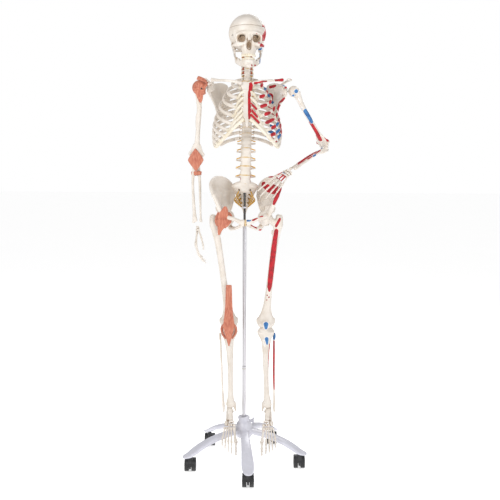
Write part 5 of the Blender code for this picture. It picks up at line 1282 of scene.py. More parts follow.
def makeHand(side):
    curl = math.radians(armSizes["curl"][side])
    clay = newClay((-0.04, -0.014, 0.0), (0.06, 0.11 if side == "right" else 0.045, 0.185), armSizes["handGrain"])
    # eight wrist bones in two rows
    for centre, radii in (((0.0095, 0.0, 0.0105), (0.007, 0.0062, 0.0058)),
            ((-0.001, 0.0, 0.0085), (0.0058, 0.0062, 0.0052)), ((-0.0105, 0.0, 0.0105), (0.0052, 0.0056, 0.0052)),
            ((-0.013, 0.007, 0.0125), (0.0036, 0.0034, 0.0042)), ((0.0155, 0.002, 0.0205), (0.0056, 0.0058, 0.0052)),
            ((0.007, 0.0, 0.0225), (0.0047, 0.0055, 0.0055)), ((-0.0015, 0.0, 0.0215), (0.005, 0.0062, 0.0078)),
            ((-0.01, 0.001, 0.023), (0.0056, 0.006, 0.0062))):
        lump(clay, centre, radii, 0.0006)
    for number, finger in enumerate(fingers):
        points = fingerLine(finger, curl)
        slim = 0.92 if number == 3 else 1.0
        smallBone(clay, points[0], points[1], 0.0054 * slim, 0.0033 * slim, 0.0056 * slim)
        for step, (a, b) in enumerate(zip(points[1:], points[2:])):
            smallBone(clay, a, b, (0.005 - 0.0006 * step) * slim, (0.0031 - 0.0004 * step) * slim,
                (0.0042 - 0.0009 * step) * slim)
    for step, (a, b) in enumerate(zip(thumb, thumb[1:])):
        smallBone(clay, a, b, 0.0058 - 0.0005 * step, 0.0038 - 0.0003 * step, 0.0054 - 0.0012 * step)
    strips = []
    for first, second in zip(fingers, fingers[1:]):
        for share in (0.28, 0.72):
            x0 = first[0] * (1 - share) + second[0] * share
            x1 = first[1] * (1 - share) + second[1] * share
            strips.append(([(x0, -0.004, 0.042), (x0 * 0.35 + x1 * 0.65, -0.004, 0.068)], 0.0034))
    red = strips + [([(0.022, 0.006, 0.03), (0.03, 0.012, 0.044)], 0.004)]
    blue = ([([(f[0], -0.006, 0.033)], 0.0035) for f in fingers[:2]]
        + [([(f[1], -0.005, 0.097)], 0.003) for f in fingers])
    finishBone(clay, side, "hand", f"hand_{side}", place=placeBody @ handFrame(side), red=red, blue=blue)


for side in signs:
    makeHumerus(side)
    makeForearm(side)
    makeHand(side)
print("arms made")


def makeClavicle(side):
    s = signs[side]
    shape = (((0.028, -0.078, 1.636), 0.008, 0.008), ((0.055, -0.09, 1.641), 0.0055, 0.0052),
        ((0.09, -0.076, 1.646), 0.005, 0.005), ((0.122, -0.044, 1.651), 0.0055, 0.005),
        ((0.147, -0.023, 1.655), 0.0078, 0.0042))
    clay = newClay((middleX + min(s * 0.016, s * 0.16), -0.104, 1.622),
        (middleX + max(s * 0.016, s * 0.16), -0.008, 1.668), 0.001)
    bar(clay, [((middleX + s * p[0], p[1], p[2]), w, d) for p, w, d in shape], 0.002, (0, 0, 1), 5)
    red = [([(middleX + 0.032, -0.086, 1.634), (middleX + 0.066, -0.094, 1.638), (middleX + 0.078, -0.088, 1.641)],
        (0.006, 0.0065, 0.004)), ([(middleX + 0.116, -0.058, 1.651), (middleX + 0.146, -0.032, 1.656)],
        (0.006, 0.008)), ([(middleX + 0.04, -0.078, 1.646)], 0.006)]
    blue = [([(middleX + 0.125, -0.036, 1.656), (middleX + 0.145, -0.016, 1.659)], 0.0055)]
    finishBone(clay, side, "clavicle", "chest", red=red, blue=blue)


def makeScapula(side):
    s = signs[side]
    socket = shoulderAt[side] + Vector((-s * (armSizes["headRadius"] + 0.008), 0.004, 0))

    def at(x, y, z):
        return (middleX + s * x, y, z)

    def near(x, y, z):
        return (socket.x + s * x, socket.y + y, socket.z + z)

    xs = sorted((middleX + s * 0.066, middleX + s * 0.2))
    clay = newClay((xs[0], -0.045, 1.478), (xs[1], 0.122, 1.68), 0.0013)
    rim = (near(-0.004, 0.006, 0.012), at(0.128, 0.066, 1.649), at(0.108, 0.082, 1.651), at(0.088, 0.094, 1.644),
        at(0.08, 0.101, 1.618), at(0.078, 0.106, 1.588), at(0.083, 0.11, 1.552), at(0.092, 0.112, 1.52),
        at(0.104, 0.107, 1.494), at(0.112, 0.101, 1.493), at(0.122, 0.092, 1.514), at(0.134, 0.07, 1.556),
        near(-0.006, 0.01, -0.026), near(-0.004, 0.007, -0.012))
    join(clay, fanSheet(rim, at(0.108, 0.089, 1.58), 0.0036, 0.0017, rings=3, perEdge=2), 0.002)
    bar(clay, [(at(0.124, 0.088, 1.514), 0.004, 0.004), (at(0.136, 0.066, 1.56), 0.004, 0.004),
        (near(-0.008, 0.01, -0.022), 0.005, 0.005)], 0.005)
    bar(clay, [(near(-0.018, 0.012, 0), 0.008, 0.012), (near(-0.002, 0.001, 0), 0.0125, 0.0175)], 0.006, (0, 1, 0))
    dent(clay, shoulderAt[side], armSizes["headRadius"] + 0.0065, 0.001)
    ridge = fanSheet((at(0.084, 0.1, 1.622), at(0.104, 0.096, 1.628), at(0.128, 0.084, 1.636), at(0.15, 0.068, 1.649),
        at(0.164, 0.056, 1.657), at(0.15, 0.06, 1.645), at(0.13, 0.072, 1.628), at(0.106, 0.086, 1.618)),
        at(0.125, 0.079, 1.631), 0.0028, 0.0022, rings=2, perEdge=1)
    join(clay, ridge, 0.003)
    bar(clay, [(at(0.084, 0.101, 1.622), 0.0035, 0.003), (at(0.11, 0.094, 1.63), 0.0045, 0.0035),
        (at(0.14, 0.077, 1.646), 0.0048, 0.0038), (at(0.162, 0.056, 1.657), 0.006, 0.0045),
        (at(0.178, 0.024, 1.661), 0.01, 0.0048), (at(0.17, -0.006, 1.66), 0.007, 0.0042)], 0.004, (0, 1, 0))
    bar(clay, [(near(-0.014, 0.008, 0.012), 0.007, 0.0065), (near(-0.019, -0.008, 0.021), 0.0058, 0.0055),
        (near(-0.015, -0.024, 0.019), 0.0052, 0.005), (near(-0.004, -0.037, 0.012), 0.0055, 0.0046)], 0.004)
    red = [([at(0.172, 0.034, 1.668), at(0.178, 0.006, 1.667)], 0.0075),
        ([at(0.13, 0.074, 1.536), at(0.14, 0.056, 1.572), near(-0.008, 0.004, -0.028)], (0.0075, 0.006, 0.005)),
        ([near(-0.004, -0.04, 0.01)], 0.0062), ([at(0.1, 0.094, 1.6), at(0.1, 0.098, 1.53)], (0.016, 0.009)),
        ([at(0.112, 0.098, 1.56), at(0.118, 0.09, 1.53)], 0.012),
        ([at(0.1, 0.09, 1.64), at(0.125, 0.074, 1.644)], 0.008)]
    blue = [([near(-0.016, -0.018, 0.026), near(-0.008, -0.034, 0.018)], 0.005),
        ([at(0.084, 0.104, 1.6), at(0.084, 0.112, 1.55)], 0.004),
        ([at(0.15, 0.072, 1.655), at(0.128, 0.088, 1.64)], 0.0045)]
    finishBone(clay, side, "scapula", "chest", red=red, blue=blue)


for side in signs:
    makeClavicle(side)
    makeScapula(side)
    for pin in ("shoulder_pin", "hip_pin"):
        looks = frame["nodes"][f"{pin}_{side}"].data.materials
        looks.clear()
        looks.append(zinc)
print("shoulders made")

pelvisMiddle = 0.004


def makeHipBone(side):
    s = signs[side]
    hip = hipAt[side]

    def at(x, y, z):
        return (pelvisMiddle + s * x, y, z)

    xs = sorted((pelvisMiddle + s * 0.0005, pelvisMiddle + s * 0.156))
    clay = newClay((xs[0], -0.112, 1.026), (xs[1], 0.078, 1.262), 0.0014)
    rim = (at(0.052, 0.066, 1.19), at(0.055, 0.064, 1.212), at(0.066, 0.059, 1.23), at(0.082, 0.046, 1.245),
        at(0.1, 0.028, 1.2535), at(0.118, 0.006, 1.2555), at(0.13, -0.014, 1.252), at(0.14, -0.036, 1.242),
        at(0.145, -0.056, 1.227), at(0.141, -0.078, 1.205), at(0.131, -0.092, 1.182), at(0.12, -0.09, 1.158),
        at(0.112, -0.086, 1.134), at(0.102, -0.07, 1.114), at(0.094, -0.045, 1.108), at(0.08, -0.008, 1.11),
        at(0.066, 0.022, 1.124), at(0.062, 0.045, 1.142), at(0.056, 0.062, 1.16))
    join(clay, fanSheet(rim, at(0.104, -0.01, 1.186), 0.0058, 0.0024, rings=4, perEdge=2,
        crown=(s * 0.006, 0.004, 0)), 0.003)
    crest = [(rim[k], 0.0062, 0.005) for k in range(2, 11)]
    bar(clay, crest, 0.004, (0, 1, 0), 3)
    bar(clay, [(rim[10], 0.006, 0.007), (at(0.116, -0.088, 1.15), 0.006, 0.007),
        (at(0.108, -0.08, 1.128), 0.008, 0.009), (at(0.1, -0.066, 1.11), 0.01, 0.01)], 0.006, (0, 1, 0))
    bar(clay, [(at(0.098, -0.048, 1.1), 0.019, 0.013), (at(0.102, -0.045, 1.132), 0.024, 0.008)], 0.01)
    bar(clay, [(at(0.08, -0.014, 1.096), 0.012, 0.014), (at(0.072, 0.012, 1.116), 0.01, 0.01),
        (at(0.062, 0.044, 1.15), 0.008, 0.01), (at(0.056, 0.058, 1.176), 0.007, 0.01)], 0.008, (0, 1, 0))
    cup = np.array(tuple(hip)) + (s * -0.008, 0.005, 0.002)
    lump(clay, cup, (0.0335, 0.0345, 0.0345), 0.008)
    bar(clay, [(at(0.082, -0.066, 1.093), 0.012, 0.01), (at(0.064, -0.08, 1.089), 0.0085, 0.008),
        (at(0.044, -0.091, 1.084), 0.0078, 0.0068), (at(0.022, -0.098, 1.074), 0.0095, 0.0082),
        (at(0.009, -0.098, 1.071), 0.0135, 0.0085)], 0.006, (0, 0, 1))
    bar(clay, [(at(0.082, -0.018, 1.078), 0.014, 0.017), (at(0.07, -0.006, 1.056), 0.0115, 0.015),
        (at(0.061, -0.014, 1.042), 0.0095, 0.012)], 0.008)
    bar(clay, [(at(0.06, -0.014, 1.042), 0.009, 0.0085), (at(0.042, -0.048, 1.044), 0.007, 0.0052),
        (at(0.024, -0.08, 1.054), 0.0075, 0.0055), (at(0.012, -0.094, 1.063), 0.009, 0.0065)], 0.005, (0, 0, 1))
    bar(clay, [(at(0.066, 0.004, 1.088), 0.005, 0.006), (at(0.056, 0.012, 1.084), 0.003, 0.004)], 0.006)
    dent(clay, hip, legSizes["headRadius"] + 0.0028, 0.0008)
    dent(clay, hip + Vector((s * 0.042, -0.004, -0.012)), 0.042, 0.0025)
    dent(clay, hip + Vector((-s * 0.004, -0.004, -0.026)), (0.012, 0.009, 0.016), 0.003)
    red = [([at(0.142, -0.08, 1.208), at(0.131, -0.096, 1.182), at(0.117, -0.098, 1.15)], (0.012, 0.013, 0.0075)),
        ([at(0.1, 0.022, 1.262), at(0.126, -0.006, 1.262), at(0.146, -0.04, 1.25)], (0.0075, 0.009, 0.008)),
        ([at(0.076, 0.04, 1.225), at(0.092, 0.01, 1.21), at(0.112, -0.028, 1.205), at(0.124, -0.058, 1.196)],
        (0.013, 0.017, 0.018, 0.012)), ([at(0.05, -0.098, 1.092), at(0.032, -0.104, 1.083)], (0.005, 0.005)),
        ([at(0.07, -0.082, 1.098), at(0.06, -0.086, 1.096)], 0.0042),
        ([at(0.046, -0.052, 1.049), at(0.024, -0.088, 1.062)], (0.006, 0.0055)),
        ([at(0.118, 0.004, 1.215), at(0.14, -0.044, 1.205)], 0.014),
        ([at(0.064, -0.01, 1.034), at(0.056, -0.022, 1.034)], 0.01)]
    blue = [([at(0.01, -0.106, 1.082), at(0.018, -0.106, 1.083)], 0.0065), ([at(0.07, -0.086, 1.102)], 0.003)]
    finishBone(clay, side, "hipBone", "pelvis", red=red, blue=blue, node="hip_bone")


def makeSacrum():
    clay = newClay((-0.056, -0.03, 1.082), (0.06, 0.072, 1.232), 0.0013)
    x = pelvisMiddle - 0.004
    bar(clay, [((x, 0.004, 1.222), 0.05, 0.019), ((x, 0.012, 1.206), 0.05, 0.02), ((x, 0.024, 1.188), 0.042, 0.0165),
        ((x, 0.038, 1.166), 0.0315, 0.0125), ((x, 0.048, 1.145), 0.0225, 0.0095), ((x, 0.05, 1.128), 0.015, 0.007),
        ((x, 0.044, 1.112), 0.0085, 0.0052), ((x, 0.036, 1.098), 0.005, 0.0036)], 0.003, steps=4)
    bar(clay, [((x, 0.0, 1.208), 0.024, 0.018), ((x, 0.0, 1.2265), 0.0235, 0.0175)], 0.006, power=2.4)
    for s in (-1, 1):
        lump(clay, (x + s * 0.034, 0.008, 1.218), (0.02, 0.019, 0.01), 0.008)
        for row, (side, back, height) in enumerate(((0.0225, 0.002, 1.203), (0.0195, 0.017, 1.184),
                (0.0165, 0.031, 1.165), (0.013, 0.041, 1.147))):
            dent(clay, (x + s * side, back - 0.004, height), (0.004 - 0.0004 * row, 0.012, 0.0034), 0.002)
        bar(clay, [((x + s * 0.016, 0.026, 1.222), 0.005, 0.005), ((x + s * 0.018, 0.03, 1.227), 0.004, 0.004)],
            0.003)
    bar(clay, [((x, 0.03, 1.218), 0.003, 0.008), ((x, 0.046, 1.192), 0.003, 0.008), ((x, 0.058, 1.16), 0.0028, 0.006),
        ((x, 0.059, 1.142), 0.002, 0.004)], 0.004)
    for height, back in ((1.196, 0.004), (1.176, 0.0185), (1.157, 0.0305)):
        carve(clay, link((x - 0.014, back - 0.006, height), (x + 0.014, back - 0.006, height), (0, 0, 1),
            (0.0012, 0.003)), 0.001)
    carve(clay, link((0, 0, 1.08), (0, 0, 1.1965), (1, 0, 0), (0.0056, 0.0056)), 0.0005)
    settle(skinClay(clay, "sacrumAndTailBone"), "pelvis", "bone_plastic", "sacrum")
    clay = newClay((pelvisMiddle - 0.004, -0.112, 1.054), (pelvisMiddle + 0.004, -0.084, 1.086), 0.0006)
    join(clay, link((pelvisMiddle - 0.0005, -0.098, 1.07), (pelvisMiddle + 0.0005, -0.098, 1.07), (0, 0, 1),
        (0.014, 0.0098)), 0.001)
    x0 = clay["low"][0] + clay["grain"] * np.arange(clay["solid"].shape[0])
    clay["solid"][:] = np.maximum(clay["solid"], np.abs(x0 - pelvisMiddle)[:, None, None] - 0.0028)
    settle(skinClay(clay, "pubicDisc", look=disc), "pelvis", "cartilage_plastic", "pubic_symphysis")
    # nerves that leave the sacrum's front and run down inside the pelvis
    paths = []
    for s in (-1, 1):
        for k, (side, height, spread) in enumerate(((0.02, 1.203, 1.15), (0.018, 1.186, 1.0), (0.015, 1.168, 0.85),
                (0.012, 1.15, 0.7))):
            start = Vector((s * side, 0.01 + 0.011 * k, height))
            points = [(start, 1.0), (start + Vector((s * 0.006, -0.012, -0.008)), 1.15),
                (Vector((s * 0.03 * spread, -0.012 + 0.006 * k, 1.176 - 0.006 * k)), 1.25),
                (Vector((s * 0.037 * spread, -0.004 + 0.006 * k, 1.16 - 0.006 * k)), 1.15),
                (Vector((s * 0.03 * spread, 0.006 + 0.006 * k, 1.148 - 0.004 * k)), 1.0),
                (Vector((s * 0.02 * spread, 0.01 + 0.006 * k, 1.142 - 0.004 * k)), 0.7)]
            paths.append(smoothPath(points, 6))
    nerves = sweep("sacralNerves", paths, 0.003, 0.003, brassNerve, 10)
    settle(nerves, "pelvis", "cartilage_plastic")


for side in signs:
    makeHipBone(side)
makeSacrum()
print("pelvis made")

spineSizes = {"base": 1.231, "top": 1.7808, "lean": 0.007, "lumbarPitch": 0.036, "thoracicTop": 1.675,
    "thoracicPitch": 0.0185, "thoracicStep": 0.007 / 11, "cervicalPitch": 0.0153,
    "curve": ((0.0, 0.12, 0.24, 0.34, 0.48, 0.6, 0.71, 0.81, 0.9, 1.0),
    (0.0, -0.008, -0.006, 0.004, 0.026, 0.033, 0.024, 0.006, -0.006, -0.008))}


def spineAt(z):
    share = (z - spineSizes["base"]) / (spineSizes["top"] - spineSizes["base"])
    return Vector((0.002 + spineSizes["lean"] * min(1, max(0, share / 0.5)),
        float(np.interp(share, *spineSizes["curve"])), z))


def spineTilt(z):
    rise = spineAt(z + 0.012) - spineAt(z - 0.012)
    return -math.atan2(rise.y, rise.z) * 0.8


def thoracicHeight(number):
    above = sum(spineSizes["thoracicPitch"] + spineSizes["thoracicStep"] * k for k in range(number - 1))
    return spineSizes["thoracicTop"] - above - (spineSizes["thoracicPitch"] + spineSizes["thoracicStep"]
        * (number - 1)) / 2


def coat(obj, red=(), blue=(), shadeAndSeams=0.0):
    # paint fields for a piece made without clay, and an even amount of painted shade; strokes in the stand's frame
    points = pointsOf(obj) - np.array(standFoot)
    for name, strokes in (("red", red), ("blue", blue)):
        old = obj.data.attributes.get(name)
        if old:
            obj.data.attributes.remove(old)
        setAttribute(obj.data, name, coatDepth(points, strokes))
    if not obj.data.attributes.get("shadeAndSeams"):
        setAttribute(obj.data, "shadeAndSeams", np.full(len(points), shadeAndSeams))
    return obj


def makeLumbarTemplate():
    clay = newClay((-0.043, -0.02, -0.024), (0.043, 0.058, 0.026), 0.0013)
    bar(clay, [((0, 0, -0.0145), 0.0232, 0.0165), ((0, 0, -0.0115), 0.0232, 0.0165), ((0, 0, 0), 0.02, 0.0145),
        ((0, 0, 0.0115), 0.0232, 0.0165), ((0, 0, 0.0145), 0.0228, 0.0162)], 0.001, steps=3, power=2.3)
    for s in (-1, 1):
        bar(clay, [((s * 0.013, 0.01, 0.006), 0.0045, 0.006), ((s * 0.0155, 0.021, 0.004), 0.0042, 0.0062),
            ((s * 0.012, 0.03, 0.0), 0.006, 0.0045), ((0, 0.036, -0.003), 0.005, 0.0055)], 0.003)
        bar(clay, [((s * 0.015, 0.018, 0.005), 0.005, 0.0042), ((s * 0.028, 0.022, 0.006), 0.004, 0.0026),
            ((s * 0.04, 0.024, 0.007), 0.0036, 0.0026)], 0.003, (0, 0, 1))
        bar(clay, [((s * 0.016, 0.024, 0.004), 0.0042, 0.0042), ((s * 0.0165, 0.026, 0.0165), 0.0046, 0.004)], 0.003)
        bar(clay, [((s * 0.0125, 0.03, -0.004), 0.0042, 0.004), ((s * 0.012, 0.031, -0.0185), 0.004, 0.0036)], 0.003)
    bar(clay, [((0, 0.034, -0.002), 0.0032, 0.008), ((0, 0.044, -0.004), 0.0028, 0.0085),
        ((0, 0.053, -0.006), 0.0036, 0.0085)], 0.003)
    carve(clay, link((0, 0.0215, -0.03), (0, 0.0215, 0.03), (1, 0, 0), (0.0105, 0.006)), 0.0015)
    return skinClay(clay, "lumbarTemplate", Matrix.Identity(4))


def makeThoracicTemplate():
    clay = newClay((-0.035, -0.018, -0.03), (0.035, 0.05, 0.018), 0.0014)
    bar(clay, [((0, 0, -0.0098), 0.0186, 0.0152), ((0, 0, -0.007), 0.0186, 0.0152), ((0, 0, 0), 0.0164, 0.0138),
        ((0, 0, 0.007), 0.0186, 0.0152), ((0, 0, 0.0098), 0.0184, 0.015)], 0.001, steps=3)
    for s in (-1, 1):
        bar(clay, [((s * 0.01, 0.01, 0.004), 0.0038, 0.0045), ((s * 0.0125, 0.018, 0.003), 0.0038, 0.005),
            ((s * 0.008, 0.025, -0.001), 0.005, 0.0038), ((0, 0.027, -0.004), 0.0045, 0.0045)], 0.003)
        bar(clay, [((s * 0.012, 0.018, 0.003), 0.0038, 0.0042), ((s * 0.021, 0.026, 0.004), 0.0036, 0.0038),
            ((s * 0.029, 0.032, 0.005), 0.0045, 0.0046)], 0.003, (0, 0, 1))
        bar(clay, [((s * 0.0095, 0.021, 0.002), 0.0036, 0.003), ((s * 0.0095, 0.022, 0.012), 0.0036, 0.0026)], 0.002)
        bar(clay, [((s * 0.0085, 0.024, -0.004), 0.0034, 0.003), ((s * 0.008, 0.024, -0.014), 0.0034, 0.0026)], 0.002)
    bar(clay, [((0, 0.026, -0.003), 0.0028, 0.006), ((0, 0.036, -0.01), 0.0024, 0.0055),
        ((0, 0.046, -0.019), 0.003, 0.0045)], 0.003)
    carve(clay, link((0, 0.0185, -0.03), (0, 0.0185, 0.03), (1, 0, 0), (0.0072, 0.0048)), 0.0015)
    return skinClay(clay, "thoracicTemplate", Matrix.Identity(4))


def makeCervicalTemplate():
    clay = newClay((-0.026, -0.013, -0.014), (0.026, 0.048, 0.012), 0.0011)
    bar(clay, [((0, 0, -0.006), 0.0122, 0.0098), ((0, 0, 0), 0.0108, 0.0088), ((0, 0, 0.0056), 0.0125, 0.0096)],
        0.001, steps=4, power=2.5)
    for s in (-1, 1):
        bar(clay, [((s * 0.0115, 0, 0.0055), 0.002, 0.006), ((s * 0.012, 0.001, 0.0078), 0.0012, 0.005)], 0.0015)
        bar(clay, [((s * 0.009, -0.003, -0.001), 0.0036, 0.003), ((s * 0.0155, -0.003, -0.002), 0.0032, 0.002),
            ((s * 0.0215, 0.002, -0.003), 0.004, 0.003)], 0.002, (0, 1, 0))
        bar(clay, [((s * 0.011, 0.01, 0), 0.004, 0.0042), ((s * 0.0165, 0.008, -0.001), 0.0042, 0.0032),
            ((s * 0.0215, 0.004, -0.003), 0.0036, 0.003)], 0.002, (0, 0, 1))
        join(clay, link((s * 0.0165, 0.013, -0.0062), (s * 0.0165, 0.011, 0.0066), (1, 0, 0), (0.0058, 0.0048)),
            0.002)
        bar(clay, [((s * 0.015, 0.015, 0), 0.0036, 0.0055), ((s * 0.009, 0.023, -0.001), 0.0034, 0.0058),
            ((0, 0.028, -0.002), 0.003, 0.005)], 0.002)
        bar(clay, [((0, 0.026, -0.003), 0.0026, 0.0035), ((s * 0.003, 0.037, -0.006), 0.0026, 0.0026)], 0.002)
        carve(clay, link((s * 0.016, 0.0005, -0.012), (s * 0.016, 0.0005, 0.012), (1, 0, 0), (0.0026, 0.0024)),
            0.0005)
    carve(clay, link((0, 0.017, -0.02), (0, 0.017, 0.02), (1, 0, 0), (0.01, 0.0062)), 0.001)
    return skinClay(clay, "cervicalTemplate", Matrix.Identity(4))


def vertebraRows():
    # for each body: (middle, tilt, half width, half depth, height)
    s = spineSizes
    rows = {"loin": [], "chest": [], "neck": []}
    for k in range(5):
        share = (k + 0.5) / 5
        rows["loin"].append((s["base"] + s["lumbarPitch"] * (k + 0.5), 0.0245 - 0.003 * share, 0.0175 - 0.002 * share,
            s["lumbarPitch"]))
    for number in range(12, 0, -1):
        rows["chest"].append((thoracicHeight(number), 0.0135 + 0.0007 * number, 0.0115 + 0.0005 * number,
            s["thoracicPitch"] + s["thoracicStep"] * (number - 1)))
    for k in range(6):
        share = (k + 0.5) / 6
        rows["neck"].append((s["thoracicTop"] + s["cervicalPitch"] * (k + 0.5), 0.0135 - 0.002 * share,
            0.0105 - 0.001 * share, s["cervicalPitch"]))
    return rows


def makeSpine():
    rows = vertebraRows()
    templates = {"loin": (makeLumbarTemplate(), 0.0232, 0.0165, 0.036),
        "chest": (makeThoracicTemplate(), 0.0186, 0.0152, 0.0232),
        "neck": (makeCervicalTemplate(), 0.0125, 0.0098, 0.0153)}
    nodes = {"loin": ("lumbar_spine",), "chest": tuple(f"thoracic_block_{k}" for k in (1, 2, 3, 4)),
        "neck": ("cervical_spine",)}
    pad = turned("discTemplate", [(0, -0.5), (0.92, -0.5), (1.0, -0.4), (1.05, -0.15), (1.05, 0.15), (1.0, 0.4),
        (0.92, 0.5), (0, 0.5)], Matrix.Identity(4), disc, 40, 60)
    borders = []
    for body, (template, width, depth, height) in templates.items():
        places, pads = [], []
        for index, (z, halfWidth, halfDepth, pitch) in enumerate(rows[body]):
            long = 1.25 if body == "neck" and index == 0 else 1.0
            places.append((spineAt(z) + standFoot, (spineTilt(z), 0, 0),
                (halfWidth / width, halfDepth / depth * long, pitch / height)))
            edge = z + pitch / 2
            thick = {"loin": 0.0085, "chest": 0.0048, "neck": 0.0046}[body]
            row = (spineAt(edge) + standFoot, (spineTilt(edge), 0, 0), (halfWidth * 0.985, halfDepth * 0.985, thick))
            last = index == len(rows[body]) - 1
            if not last:
                pads.append(row)
            elif body != "neck":
                borders.append((edge, row, (body, {"loin": "chest", "chest": "neck"}[body])))
        piece = scatter({"loin": "lumbarVertebrae", "chest": "thoracicVertebrae", "neck": "neckVertebrae"}[body],
            template, places, bone)
        red, blue = [], []
        if body == "loin":
            red = [([(0.024, -0.004, 1.262), (0.026, 0.006, 1.275)], 0.008),
                ([(-0.02, -0.008, 1.25), (-0.024, 0.002, 1.262)], 0.0055),
                ([(0.022, -0.012, 1.3), (0.026, 0.0, 1.303)], 0.0048),
                ([(0.022, -0.012, 1.336), (0.026, 0.0, 1.339)], 0.0045),
                ([(0.022, -0.008, 1.372), (0.026, 0.002, 1.375)], 0.0042)]
        settle(coat(piece, red, blue), body, "bone_plastic", *nodes[body])
        if pads:
            settle(scatter(body + "Discs", pad, pads, disc), body, "cartilage_plastic")
        discard(template)
    first = rows["loin"][0]
    base = spineSizes["base"]
    borders.append((base, (spineAt(base) + standFoot, (spineTilt(base), 0, 0),
        (first[1] * 0.97, first[2] * 0.97, 0.0075)), ("pelvis", "loin")))
    for edge, row, (lower, upper) in borders:
        piece = scatter(f"{lower}To{upper.title()}Disc", pad, [row], disc)
        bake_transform(piece)
    discard(pad)
    # nerve roots leave the column at every disc
    for body in ("loin", "chest", "neck"):
        paths = []
        for z, halfWidth, halfDepth, pitch in rows[body]:
            edge = z + pitch / 2 - (0.001 if body != "loin" else 0.002)
            centre = spineAt(edge)
            reach = {"loin": 0.02, "chest": 0.011, "neck": 0.015}[body]
            size = {"loin": 1.0, "chest": 0.62, "neck": 0.72}[body]
            for s in (-1, 1):
                start = centre + Vector((s * halfWidth * 0.45, halfDepth + 0.001, 0))
                knee = centre + Vector((s * (halfWidth * 0.95 + 0.001), halfDepth * 0.72, 0.0005))
                end = centre + Vector((s * (halfWidth + reach * 0.8), halfDepth * 0.35, -0.004 * size))
                paths.append(smoothPath([(start, 0.9), (knee, 1.25), ((knee + end) / 2, 0.95), (end, 0.8)], 4))
        made = sweep(body + "NerveRoots", paths, 0.0024 * size, 0.0024 * size, nerve, 8)
        settle(made, body, "cartilage_plastic")
    paths = []
    for s in (-1, 1):
        paths.append(smoothPath([(spineAt(z) + Vector((s * (0.0165 + 0.001 * math.sin(z * 400)), -0.001, 0)), 1.0)
            for z in np.arange(1.682, 1.768, 0.005)], 2))
    made = sweep("neckArteries", paths, 0.0016, 0.0016, artery, 8)
    settle(made, "neck", "cartilage_plastic")


def makeAtlas():
    clay = newClay((-0.042, -0.026, 1.764), (0.042, 0.03, 1.784), 0.0008)
    height, middleY = 1.7738, float(spineAt(1.7738).y)
    ring = [(math.sin(a) * 0.0205, middleY + 0.002 + math.cos(a) * 0.0165) for a in np.linspace(0, 2 * math.pi, 25)]
    for (x0, y0), (x1, y1) in zip(ring, ring[1:]):
        join(clay, rod((x0, y0, height), (x1, y1, height), 0.0036), 0.001)
    for s in (-1, 1):
        lump(clay, (s * 0.017, middleY - 0.003, height), (0.0068, 0.0095, 0.0062), 0.002)
        bar(clay, [((s * 0.02, middleY, height), 0.005, 0.004),
            ((s * 0.0345, middleY + 0.003, height - 0.001), 0.0042, 0.0038)], 0.002, (0, 1, 0))
        carve(clay, link((s * 0.0275, middleY + 0.001, 1.76), (s * 0.0275, middleY + 0.001, 1.79), (1, 0, 0),
            (0.0026,) * 2), 0.0005)
    settle(skinClay(clay, "atlasRing", placeHead), "atlas_turning", "bone_plastic", "atlas")


makeSpine()
makeAtlas()
print("spine made")

chestSizes = {"halfWidth": 0.142, "drop": 0.128, "ribHeight": 0.0072, "ribThickness": 0.0046,
    "sternumTop": Vector((0.009, -0.068, 1.64)), "sternumFoot": Vector((0.009, -0.124, 1.487))}


def ribPoint(number, sign, share):
    c = chestSizes
    spine = spineAt(thoracicHeight(number))
    halfWidth = c["halfWidth"] * (1 - 0.56 * ((8.5 - number) / 7.5) ** 2)
    drop = c["drop"] * (1 - 0.65 * ((8 - number) / 7) ** 2)
    back = spine.y + 0.04 + 0.022 * min(1, (number - 1) / 4)
    front = float(np.interp(number, (1, 7, 10, 12), (-0.062, -0.118, -0.105, -0.08)))
    end = math.radians(float(np.interp(number, (1, 5, 7, 9, 10, 11, 12), (150, 148, 138, 118, 108, 84, 62))))
    start = math.radians(24)

    def arc(part):
        angle = start + (end - start) * (part - 0.1) / 0.9
        fall = ((1 - math.cos(angle)) / (1 - math.cos(math.radians(150)))) ** 0.9
        return Vector((spine.x + sign * halfWidth * math.sin(angle), (back + front) / 2 + (back - front) / 2
            * math.cos(angle), spine.z - drop * fall))

    if share >= 0.1:
        return arc(share)
    return Vector((spine.x + sign * 0.008, spine.y + 0.003, spine.z)).lerp(arc(0.1), share / 0.1)


def sternumPoint(share):
    return chestSizes["sternumTop"].lerp(chestSizes["sternumFoot"], share)


